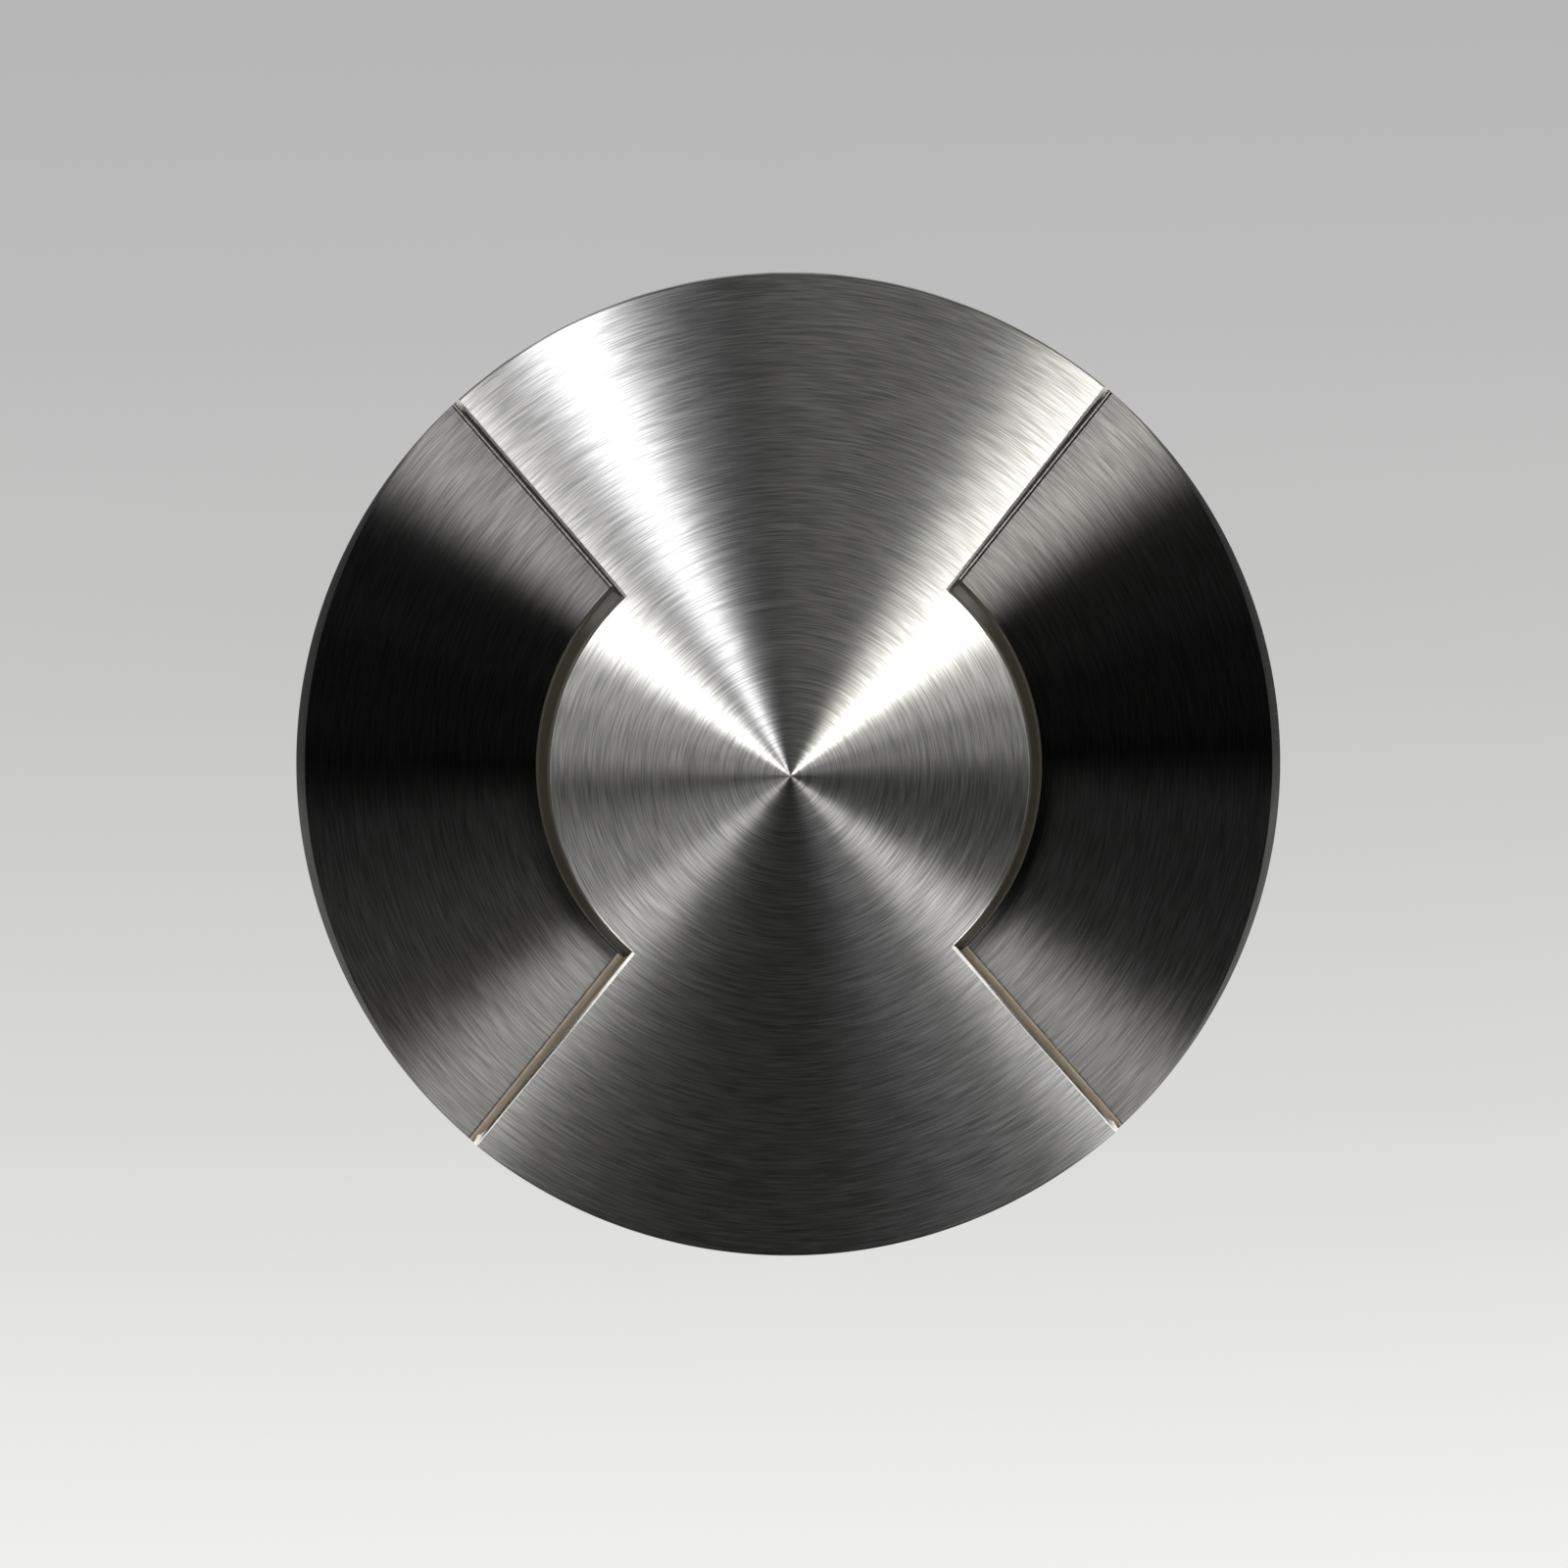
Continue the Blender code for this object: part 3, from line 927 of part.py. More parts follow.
def build_entries(finish):
    """Cable gland, blanking plug and pressure vent."""
    nylon = finish["gland_nylon"]
    gland_centre = (ENTRY_OFFSET, 0.0)
    plug_centre = (-ENTRY_OFFSET, 0.0)
    neck_top = BASE_TOP_Z + ENTRY_NECK_OVERHANG
    thread_bottom = ENTRY_HEX_BOTTOM_Z - GLAND_LOWER_THREAD_LENGTH
    seat = thread_bottom + GLAND_SEAL_LENGTH + FIT_GAP
    lower_bore = GLAND_SEAL_RADIUS + FIT_GAP
    body = turned("gland_body",
                  [(ENTRY_THREAD_RADIUS, neck_top), (ENTRY_THREAD_RADIUS, ENTRY_HEX_TOP_Z),
                   (GLAND_LOWER_THREAD_RADIUS, ENTRY_HEX_TOP_Z - CUT_OVERRUN),
                   (GLAND_LOWER_THREAD_RADIUS, thread_bottom), (lower_bore, thread_bottom),
                   (lower_bore, seat), (GLAND_BORE_RADIUS, seat), (GLAND_BORE_RADIUS, neck_top)],
                  SMALL_STEPS, closed=True, material=nylon)
    body.location.x = ENTRY_OFFSET
    hexagon = cylinder("gland_hexagon", ENTRY_HEX_RADIUS, ENTRY_HEX_BOTTOM_Z, ENTRY_HEX_TOP_Z,
                       centre=gland_centre, steps=HEX_SIDES)
    cut(hexagon, cylinder("gland_hexagon_bore", lower_bore,
                          ENTRY_HEX_BOTTOM_Z - CUT_OVERRUN, ENTRY_HEX_TOP_Z + CUT_OVERRUN,
                          centre=gland_centre))
    join(body, hexagon)
    seal = turned("gland_seal",
                  [(GLAND_SEAL_RADIUS, thread_bottom + GLAND_SEAL_LENGTH),
                   (GLAND_SEAL_RADIUS, thread_bottom),
                   (GLAND_SEAL_BORE_RADIUS, thread_bottom),
                   (GLAND_SEAL_BORE_RADIUS, thread_bottom + GLAND_SEAL_LENGTH)],
                  SMALL_STEPS, closed=True, material=finish["black_rubber"])
    seal.location.x = ENTRY_OFFSET
    nut_top = ENTRY_HEX_BOTTOM_Z - FIT_GAP
    nut_bottom = nut_top - GLAND_NUT_LENGTH
    nut_bore = GLAND_LOWER_THREAD_RADIUS + FIT_GAP
    dome_radius = (GLAND_NUT_RADIUS + GLAND_NUT_MOUTH_RADIUS) / 2
    nut = turned("gland_nut",
                 [(GLAND_NUT_RADIUS, nut_top), (GLAND_NUT_RADIUS, nut_bottom + GLAND_NUT_DOME),
                  (dome_radius, nut_bottom), (GLAND_NUT_MOUTH_RADIUS, nut_bottom),
                  (GLAND_NUT_MOUTH_RADIUS, thread_bottom - FIT_GAP),
                  (nut_bore, thread_bottom - FIT_GAP), (nut_bore, nut_top)],
                 SMALL_STEPS, closed=True, material=nylon)
    nut.location.x = ENTRY_OFFSET
    plug = cylinder("blanking_plug", ENTRY_THREAD_RADIUS, ENTRY_HEX_TOP_Z - CUT_OVERRUN, neck_top,
                    centre=plug_centre, material=nylon)
    join(plug, cylinder("plug_hexagon", ENTRY_HEX_RADIUS, ENTRY_HEX_BOTTOM_Z, ENTRY_HEX_TOP_Z,
                        centre=plug_centre, steps=HEX_SIDES))
    slot_size = (2 * ENTRY_THREAD_RADIUS, PLUG_SLOT_WIDTH, 2 * PLUG_SLOT_DEPTH)
    cut(plug, box("plug_slot", slot_size, (-ENTRY_OFFSET, 0.0, ENTRY_HEX_BOTTOM_Z)))
    vent_top = BASE_TOP_Z + ENTRY_NECK_OVERHANG
    head_top = BASE_BOTTOM_Z - FIT_GAP
    head_bottom = head_top - VENT_HEAD_HEIGHT
    vent = turned("pressure_vent",
                  [(0.0, vent_top), (VENT_THREAD_RADIUS, vent_top), (VENT_THREAD_RADIUS, head_top),
                   (VENT_HEAD_RADIUS, head_top), (VENT_HEAD_RADIUS, head_bottom + VENT_EDGE),
                   (VENT_HEAD_RADIUS - VENT_EDGE, head_bottom), (0.0, head_bottom)],
                  SMALL_STEPS, material=nylon)
    vent.location.y = VENT_OFFSET
    return [body, seal, nut, plug, vent, entry_washer("gland_washer", gland_centre, finish),
            entry_washer("plug_washer", plug_centre, finish)]


def build_circlip(finish):
    """Open snap ring with two plier eyes, which keeps the spring ring up."""
    inner = HOUSING_RADIUS - CIRCLIP_GROOVE_DEPTH + FIT_GAP
    outer = inner + CIRCLIP_WIDTH
    half_angle = math.pi - CIRCLIP_GAP_ANGLE / 2
    circlip = arc_solid("circlip", [(inner, CIRCLIP_TOP_Z), (outer, CIRCLIP_TOP_Z),
                                    (outer, CIRCLIP_BOTTOM_Z), (inner, CIRCLIP_BOTTOM_Z)],
                        half_angle, RING_STEPS, material=finish["spring_steel"])
    eye_angle = half_angle - CIRCLIP_EYE_INSET / outer
    for number, side in enumerate((1, -1), start=1):
        centre = on_circle((inner + outer) / 2, side * eye_angle)
        cut(circlip, cylinder(f"circlip_eye_{number}", CIRCLIP_EYE_RADIUS,
                              CIRCLIP_BOTTOM_Z - CUT_OVERRUN, CIRCLIP_TOP_Z + CUT_OVERRUN,
                              centre=centre, steps=SCREW_STEPS))
    return circlip


def lever_angles():
    """Return the angle round the axis of each retaining lever."""
    return [LEVER_FIRST_ANGLE + 2 * math.pi * number / LEVER_COUNT for number in range(LEVER_COUNT)]


def build_spring_ring(finish):
    """Ring with a notch and a cross-drilled pin hole for each lever."""
    profile = [(RING_INNER_RADIUS, RING_TOP_Z), (RING_OUTER_RADIUS - RING_EDGE, RING_TOP_Z),
               (RING_OUTER_RADIUS, RING_TOP_Z - RING_EDGE),
               (RING_OUTER_RADIUS, RING_BOTTOM_Z + RING_EDGE),
               (RING_OUTER_RADIUS - RING_EDGE, RING_BOTTOM_Z), (RING_INNER_RADIUS, RING_BOTTOM_Z)]
    ring = turned("spring_ring", profile, BODY_STEPS, closed=True, material=finish["ring_nylon"])
    notch_depth = RING_OUTER_RADIUS + CUT_OVERRUN - NOTCH_FLOOR_RADIUS
    notch_size = (notch_depth, NOTCH_WIDTH, RING_HEIGHT + 2 * CUT_OVERRUN)
    for number, angle in enumerate(lever_angles(), start=1):
        x, y = on_circle(NOTCH_FLOOR_RADIUS + notch_depth / 2, angle)
        cut(ring, box(f"lever_notch_{number}", notch_size, (x, y, PIN_Z), turn=angle))
        x, y = on_circle(PIN_CIRCLE_RADIUS, angle)
        cut(ring, lying_cylinder(f"pin_hole_{number}", PIN_RADIUS + FIT_GAP,
                                 2 * RING_OUTER_RADIUS * math.sin(math.pi / LEVER_COUNT / 2),
                                 (x, y, PIN_Z), angle + math.pi / 2, steps=SCREW_STEPS))
    return ring


def lever_lean():
    """Return the lever's lean at rest, its foot's corners one fit gap off the sleeve."""
    wall_radius = SLEEVE_BORE_RADIUS * math.cos(math.pi / BODY_STEPS) - FIT_GAP
    foot_radius = math.sqrt(wall_radius ** 2 - (LEVER_WIDTH / 2) ** 2)
    reach = foot_radius - PIN_CIRCLE_RADIUS - LEVER_FOOT_RADIUS
    foot_rise = LEVER_FOOT_RADIUS - LEVER_THICKNESS / 2
    length = math.hypot(LEVER_LENGTH, foot_rise)
    return math.asin(reach / length) - math.atan2(foot_rise, LEVER_LENGTH)


def lever_outline():
    """Return the lever's side view in its own plane: radial first, height second."""
    half = LEVER_THICKNESS / 2
    eye_start = math.asin(half / LEVER_EYE_RADIUS)
    points = []
    eye_steps = 14
    for step in range(eye_steps + 1):
        angle = eye_start + (2 * math.pi - 2 * eye_start) * step / eye_steps
        points.append((LEVER_EYE_RADIUS * math.cos(angle), LEVER_EYE_RADIUS * math.sin(angle)))
    foot_steps = 8
    foot_centre = LEVER_FOOT_RADIUS - half
    for step in range(foot_steps + 1):
        angle = -math.pi / 2 + math.pi * step / foot_steps
        points.append((LEVER_LENGTH + LEVER_FOOT_RADIUS * math.cos(angle),
                       foot_centre + LEVER_FOOT_RADIUS * math.sin(angle)))
    points.append((LEVER_LENGTH - LEVER_FOOT_RADIUS, half))
    lean = lever_lean()
    cos_lean, sin_lean = math.cos(lean), math.sin(lean)
    return [(along * sin_lean + off * cos_lean, off * sin_lean - along * cos_lean)
            for along, off in points]


def build_levers(finish, carrier):
    """Levers, pins and torsion springs, each on an empty at its pin."""
    pieces = []
    for number, angle in enumerate(lever_angles(), start=1):
        x, y = on_circle(PIN_CIRCLE_RADIUS, angle)
        pivot = empty(f"lever_pivot_{number}", (x, y, PIN_Z), angle)
        attach(pivot, carrier)
        bm = outline_mesh(f"retaining_lever_{number}", lever_outline(),
                          -LEVER_WIDTH / 2, LEVER_WIDTH / 2)
        bmesh.ops.rotate(bm, verts=bm.verts[:], cent=(0, 0, 0),
                         matrix=Matrix.Rotation(math.pi / 2, 3, "X"))
        lever = mesh_object(f"retaining_lever_{number}", bm, material=finish["spring_steel"])
        attach(lever, pivot)
        hole = lying_cylinder(f"lever_hole_{number}", PIN_RADIUS + FIT_GAP, 2 * LEVER_WIDTH,
                              (0.0, 0.0, 0.0), math.pi / 2, steps=SCREW_STEPS)
        fork_size = (4 * LEVER_EYE_RADIUS, LEVER_FORK_WIDTH, LEVER_EYE_RADIUS + LEVER_FORK_DEPTH
                     + CUT_OVERRUN)
        fork_z = (LEVER_EYE_RADIUS + CUT_OVERRUN - LEVER_FORK_DEPTH) / 2
        fork = box(f"lever_fork_{number}", fork_size, (0.0, 0.0, fork_z))
        low, high = (-LEVER_LENGTH * share for share in reversed(LEVER_WINDOW_SHARES))
        slot = box(f"lever_slot_{number}", (LEVER_LENGTH, LEVER_WINDOW_WIDTH, high - low),
                   (0.0, 0.0, (low + high) / 2))
        for cutter in (hole, fork, slot):
            attach(cutter, pivot)
        cut(lever, hole, fork, slot)
        pin = lying_cylinder(f"lever_pin_{number}", PIN_RADIUS, PIN_LENGTH, (0.0, 0.0, 0.0),
                             math.pi / 2, steps=SCREW_STEPS)
        pin.data.materials.append(finish["screw_steel"])
        attach(pin, pivot)
        spring = build_spring(f"lever_spring_{number}", finish["spring_steel"])
        attach(spring, pivot)
        pieces += [lever, pin, spring]
    return pieces


def spring_path():
    """Return the torsion spring's wire: a leg, the coil round the pin, a leg."""
    lean = lever_lean()
    half = SPRING_TURNS * SPRING_PITCH / 2
    floor_x = NOTCH_FLOOR_RADIUS - PIN_CIRCLE_RADIUS + FIT_GAP + SPRING_WIRE_RADIUS
    lever_gap = LEVER_THICKNESS / 2 + FIT_GAP + SPRING_WIRE_RADIUS
    end_x = SPRING_LEVER_LEG * math.sin(lean) - lever_gap / math.cos(lean)
    points = [Vector((floor_x, -half, -SPRING_RING_LEG)),
              Vector((floor_x, -half, -SPRING_RING_LEG / 2))]
    count = SPRING_TURNS * SPRING_POINTS_PER_TURN
    for step in range(count + 1):
        share = step / count
        angle = math.pi - 2 * math.pi * SPRING_TURNS * share
        points.append(Vector((SPRING_COIL_RADIUS * math.cos(angle), half * (2 * share - 1),
                              SPRING_COIL_RADIUS * math.sin(angle))))
    points.append(Vector((end_x, half, -SPRING_LEVER_LEG)))
    return points


def least_gap(points, wire_radius, neighbours):
    """Return the least gap of a wire to itself between points that aren't neighbours."""
    least = math.inf
    for first, point in enumerate(points):
        for other in points[first + neighbours:]:
            least = min(least, (point - other).length - 2 * wire_radius)
    return least


def build_spring(name, material):
    """Torsion spring wound round a lever's pin."""
    points = spring_path()
    gap = least_gap(points, SPRING_WIRE_RADIUS, SPRING_POINTS_PER_TURN // 2)
    print(f"{name}: least gap of the wire to itself {gap / MM:.2f} mm")
    curve = bpy.data.curves.new(name, "CURVE")
    curve.dimensions = "3D"
    curve.bevel_depth = SPRING_WIRE_RADIUS
    curve.bevel_resolution = 1
    curve.use_fill_caps = True
    spline = curve.splines.new("POLY")
    spline.points.add(len(points) - 1)
    for target, point in zip(spline.points, points):
        target.co = (*point, 1.0)
    return place(bpy.data.objects.new(name, curve), material=material)


def build_sleeve(finish):
    """Installation sleeve with anchor ribs and a grooved flange."""
    gasket_inner = SEAT_GASKET_RADIUS - SEAT_GASKET_WIDTH / 2 - FIT_GAP
    gasket_outer = SEAT_GASKET_RADIUS + SEAT_GASKET_WIDTH / 2 + FIT_GAP
    groove_z = SLEEVE_TOP_Z - SEAT_GROOVE_DEPTH
    flange_bottom = SLEEVE_TOP_Z - SLEEVE_FLANGE_THICKNESS
    profile = [(SLEEVE_BORE_RADIUS, SLEEVE_BOTTOM_Z),
               (SLEEVE_BORE_RADIUS, SLEEVE_TOP_Z), (gasket_inner, SLEEVE_TOP_Z),
               (gasket_inner, groove_z), (gasket_outer, groove_z), (gasket_outer, SLEEVE_TOP_Z),
               (SLEEVE_FLANGE_RADIUS, SLEEVE_TOP_Z), (SLEEVE_FLANGE_RADIUS, flange_bottom),
               (SLEEVE_OUTER_RADIUS, flange_bottom)]
    rib_radius = SLEEVE_OUTER_RADIUS + ANCHOR_RIB_REACH
    socket_top = CHAMBER_HEIGHT + CHAMBER_SOCKET_DEPTH
    for share in reversed(ANCHOR_RIB_SHARES):
        middle = socket_top + (flange_bottom - socket_top) * share
        half = ANCHOR_RIB_THICKNESS / 2
        profile += [(SLEEVE_OUTER_RADIUS, middle + half + ANCHOR_RIB_TAPER),
                    (rib_radius, middle + half), (rib_radius, middle - half),
                    (SLEEVE_OUTER_RADIUS, middle - half - ANCHOR_RIB_TAPER)]
    profile += [(SLEEVE_OUTER_RADIUS, SLEEVE_BOTTOM_Z)]
    return turned("installation_sleeve", profile, BODY_STEPS, closed=True,
                  material=finish["sleeve_plastic"])


def build_chamber(finish):
    """Cable chamber under the sleeve, with a socket for it, bosses and drain holes."""
    socket_bore = SLEEVE_OUTER_RADIUS + FIT_GAP
    socket_radius = socket_bore + CHAMBER_SOCKET_WALL
    socket_top = CHAMBER_HEIGHT + CHAMBER_SOCKET_DEPTH
    taper_z = CHAMBER_HEIGHT - CHAMBER_SOCKET_WALL
    profile = [(0.0, CHAMBER_FLOOR), (SLEEVE_BORE_RADIUS, CHAMBER_FLOOR),
               (SLEEVE_BORE_RADIUS, CHAMBER_HEIGHT), (socket_bore, CHAMBER_HEIGHT),
               (socket_bore, socket_top), (socket_radius, socket_top),
               (socket_radius, CHAMBER_HEIGHT), (SLEEVE_OUTER_RADIUS, taper_z),
               (SLEEVE_OUTER_RADIUS, 0.0), (0.0, 0.0)]
    chamber = turned("cable_chamber", profile, BODY_STEPS, material=finish["sleeve_plastic"])
    boss_end = SLEEVE_OUTER_RADIUS + CONDUIT_BOSS_REACH
    boss_start = SLEEVE_BORE_RADIUS + FIT_GAP
    sides = (("right", 1), ("left", -1))
    for name, side in sides:
        centre = (side * (boss_start + boss_end) / 2, 0.0, CONDUIT_HEIGHT)
        join(chamber, lying_cylinder("conduit_boss_" + name, CONDUIT_BOSS_RADIUS,
                                     boss_end - boss_start, centre, 0.0))
    cut(chamber, lying_cylinder("conduit_hole", CONDUIT_BORE_RADIUS + CONDUIT_WALL + FIT_GAP,
                                2 * (boss_end + CUT_OVERRUN), (0.0, 0.0, CONDUIT_HEIGHT), 0.0))
    for number in range(DRAIN_COUNT):
        angle = math.pi / DRAIN_COUNT + 2 * math.pi * number / DRAIN_COUNT
        cut(chamber, cylinder(f"drain_{number + 1}", DRAIN_RADIUS, -CUT_OVERRUN,
                              CHAMBER_FLOOR + CUT_OVERRUN,
                              centre=on_circle(DRAIN_CIRCLE_RADIUS, angle), steps=SCREW_STEPS))
    return [chamber] + [build_conduit_socket("conduit_socket_" + name, side, boss_end, finish)
                        for name, side in sides]


def build_conduit_socket(name, side, boss_end, finish):
    """Round socket for a conduit, with a flange against the chamber's boss."""
    flange_start = boss_end + FIT_GAP
    flange_end = flange_start + CONDUIT_FLANGE_THICKNESS
    end = SLEEVE_OUTER_RADIUS + CONDUIT_REACH
    tube = CONDUIT_BORE_RADIUS + CONDUIT_WALL
    profile = [(CONDUIT_BORE_RADIUS, end), (tube, end), (tube, flange_end),
               (tube + CONDUIT_FLANGE_WIDTH, flange_end),
               (tube + CONDUIT_FLANGE_WIDTH, flange_start), (tube, flange_start),
               (tube, SLEEVE_BORE_RADIUS), (CONDUIT_BORE_RADIUS, SLEEVE_BORE_RADIUS)]
    socket = turned(name, profile, SMALL_STEPS, closed=True, material=finish["sleeve_plastic"])
    socket.rotation_euler.y = side * math.pi / 2
    socket.location.z = CONDUIT_HEIGHT
    return socket


def build_seat_gasket(finish):
    """Flat gasket between the sleeve's flange and the cover."""
    outer = SEAT_GASKET_RADIUS + SEAT_GASKET_WIDTH / 2
    inner = SEAT_GASKET_RADIUS - SEAT_GASKET_WIDTH / 2
    top = SEAT_GASKET_Z + SEAT_GASKET_THICKNESS
    return turned("seat_gasket", [(outer, top), (outer, SEAT_GASKET_Z),
                                  (inner, SEAT_GASKET_Z), (inner, top)],
                  BODY_STEPS, closed=True, material=finish["black_rubber"])


def main():
    """Build the sleeve, the spring ring with its levers, and the luminaire."""
    global PARTS, CUTTERS
    clear_scene()
    PARTS = make_collection("drive_over_ground_light")
    CUTTERS = make_collection("cutters")
    finish = {name: make_material(name, *values) for name, values in FINISHES.items()}
    sleeve_body = empty("sleeve_body")
    lift_body = empty("lift_body")
    turn_body = empty("turn_body")
    attach(lift_body, sleeve_body)
    attach(turn_body, lift_body)
    for piece in [build_sleeve(finish), build_seat_gasket(finish)] + build_chamber(finish):
        attach(piece, sleeve_body)
    attach(build_spring_ring(finish), lift_body)
    build_levers(finish, lift_body)
    luminaire = [build_cover(finish), build_housing(finish), build_cover_seal(finish),
                 build_circlip(finish)]
    luminaire += build_windows(finish) + build_cover_screws(finish)
    luminaire += build_light_engine(finish) + build_driver(finish)
    luminaire += build_terminal_block(finish) + build_base(finish) + build_entries(finish)
    for piece in luminaire:
        attach(piece, turn_body)


main()
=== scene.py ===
"""Looks of a drive-over ground light: a turned steel cover over a buried sleeve.

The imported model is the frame. The pieces are modelled again here with finer edges, fillets and
threads, and every other node gets the finish of its real material. Sizes in the classes are in
millimetres, heights are above the floor that the sleeve stands on, and +X and -X are the sides
that the light shines to.
"""

import json
import logging
import math
from dataclasses import dataclass, field
from enum import Enum
from typing import Callable, Iterable, Sequence

import bmesh
import bpy
from mathutils import Matrix, Vector

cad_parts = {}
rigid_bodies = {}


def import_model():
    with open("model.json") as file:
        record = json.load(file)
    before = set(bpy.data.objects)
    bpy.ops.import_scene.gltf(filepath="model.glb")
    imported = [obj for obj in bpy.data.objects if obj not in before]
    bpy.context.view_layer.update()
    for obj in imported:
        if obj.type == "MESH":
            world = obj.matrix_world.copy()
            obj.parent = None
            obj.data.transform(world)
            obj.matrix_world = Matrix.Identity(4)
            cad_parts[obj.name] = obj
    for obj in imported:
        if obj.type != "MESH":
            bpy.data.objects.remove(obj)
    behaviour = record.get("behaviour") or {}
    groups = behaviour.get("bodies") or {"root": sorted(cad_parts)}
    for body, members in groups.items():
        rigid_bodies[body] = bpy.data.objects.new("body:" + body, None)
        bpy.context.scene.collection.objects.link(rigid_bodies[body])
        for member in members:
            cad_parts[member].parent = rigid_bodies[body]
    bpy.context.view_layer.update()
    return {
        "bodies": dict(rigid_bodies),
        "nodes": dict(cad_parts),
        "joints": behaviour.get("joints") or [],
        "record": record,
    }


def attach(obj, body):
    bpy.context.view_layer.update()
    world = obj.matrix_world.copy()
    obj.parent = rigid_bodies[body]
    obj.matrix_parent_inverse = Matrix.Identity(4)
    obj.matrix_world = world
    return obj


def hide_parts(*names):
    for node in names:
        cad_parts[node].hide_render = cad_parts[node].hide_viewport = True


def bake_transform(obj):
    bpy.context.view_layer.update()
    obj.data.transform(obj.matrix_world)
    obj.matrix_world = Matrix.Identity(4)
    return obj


LOG = logging.getLogger("ground_light")
MM = 0.001

# The sRGB curve: a straight foot, then a power
SRGB_KNEE = 0.04045
SRGB_SLOPE = 12.92
SRGB_OFFSET = 0.055
SRGB_POWER = 2.4

# Where most values of a noise lie, and where a finish's two tones sit in them
NOISE_RANGE = (0.3, 0.7)
FIRST_TONE = 0.38
SECOND_TONE = 0.66

# How much a grain changes the roughness, up and down
GRAIN_ROUGHNESS = 0.06

Point = tuple[float, float]
Corner = tuple[float, float, float]
Shape = bmesh.types.BMesh


class Side(Enum):
    """The two sides that the light shines to."""

    RIGHT = 0.0
    LEFT = math.pi

    @property
    def word(self) -> str:
        """Name part used by the nodes of this side."""
        return self.name.lower()


class Body(Enum):
    """Bodies of the mechanism that pieces ride on."""

    SLEEVE = "sleeve"
    RING = "ring"
    LUMINAIRE = "luminaire"


class Slot(Enum):
    """Material slots of the record."""

    STAINLESS = "turned_stainless_steel"
    SCREW = "screw_steel"
    SPRING = "spring_steel"
    GLASS = "window_glass"
    RUBBER = "black_rubber"
    CASTING = "cast_aluminium"
    MACHINED = "machined_aluminium"
    BOARD = "white_board"
    PHOSPHOR = "led_phosphor"
    MIRROR = "mirror_plastic"
    POTTING = "driver_potting"
    TERMINAL = "terminal_plastic"
    GLAND = "gland_nylon"
    RING = "ring_nylon"
    SLEEVE = "sleeve_plastic"
    LEAD_RED = "lead_red"
    LEAD_BLACK = "lead_black"


# Colours and shader nodes


def linear(hex_colour: str) -> tuple[float, float, float, float]:
    """Turn an sRGB hex colour into linear values.

    Args:
        hex_colour: Colour such as "#8c8c8a".

    Returns:
        Red, green, blue and an alpha of one.
    """
    values = [int(hex_colour[place:place + 2], 16) / 255 for place in (1, 3, 5)]
    red, green, blue = (value / SRGB_SLOPE if value <= SRGB_KNEE
                        else ((value + SRGB_OFFSET) / (1 + SRGB_OFFSET)) ** SRGB_POWER
                        for value in values)
    return red, green, blue, 1.0


def add_node(material: bpy.types.Material, kind: str, settings: dict | None = None,
             links: dict | None = None) -> bpy.types.Node:
    """Add one shader node with its settings and its incoming links.

    Args:
        material: Material whose tree gets the node.
        kind: Node type such as "ShaderNodeMath".
        settings: Attribute names, or input names or numbers, with their values.
        links: Input names or numbers with the output sockets that feed them.

    Returns:
        The new node.
    """
    tree = material.node_tree
    node = tree.nodes.new(kind)
    for key, value in (settings or {}).items():
        if isinstance(key, str) and hasattr(node, key):
            setattr(node, key, value)
        else:
            node.inputs[key].default_value = value
    for key, socket in (links or {}).items():
        tree.links.new(socket, node.inputs[key])
    return node


def spread(material: bpy.types.Material, value: bpy.types.NodeSocket, given: Sequence,
           wanted: Sequence, smooth: bool = False) -> bpy.types.NodeSocket:
    """Carry a value from one range over to another.

    Args:
        material: Material or world whose tree gets the node.
        value: Output socket with the value.
        given: Both ends of its range.
        wanted: What they become: numbers or output sockets.
        smooth: Whether it eases in and out.

    Returns:
        The output socket with the result.
    """
    ends = dict(zip(("From Min", "From Max", "To Min", "To Max"), (*given, *wanted)))
    links = {key: end for key, end in ends.items() if isinstance(end, bpy.types.NodeSocket)}
    settings = {key: end for key, end in ends.items() if key not in links}
    settings["interpolation_type"] = "SMOOTHSTEP" if smooth else "LINEAR"
    return add_node(material, "ShaderNodeMapRange", settings,
                    {"Value": value, **links}).outputs["Result"]


def new_material(name: str, **settings: object) -> tuple[bpy.types.Material, bpy.types.Node]:
    """Start a material whose Principled shader has the given settings.

    Args:
        name: The real material and how its surface was made.
        settings: Principled inputs with spaces written as underscores.

    Returns:
        The material and its Principled node.
    """
    material = bpy.data.materials.new(name)
    material.use_nodes = True
    shader = material.node_tree.nodes["Principled BSDF"]
    for key, value in settings.items():
        shader.inputs[key.replace("_", " ")].default_value = value
    return material, shader


def per_mm(size: float) -> float:
    """Return the noise scale whose features are a size in millimetres."""
    return 1 / (size * MM)


# Finishes


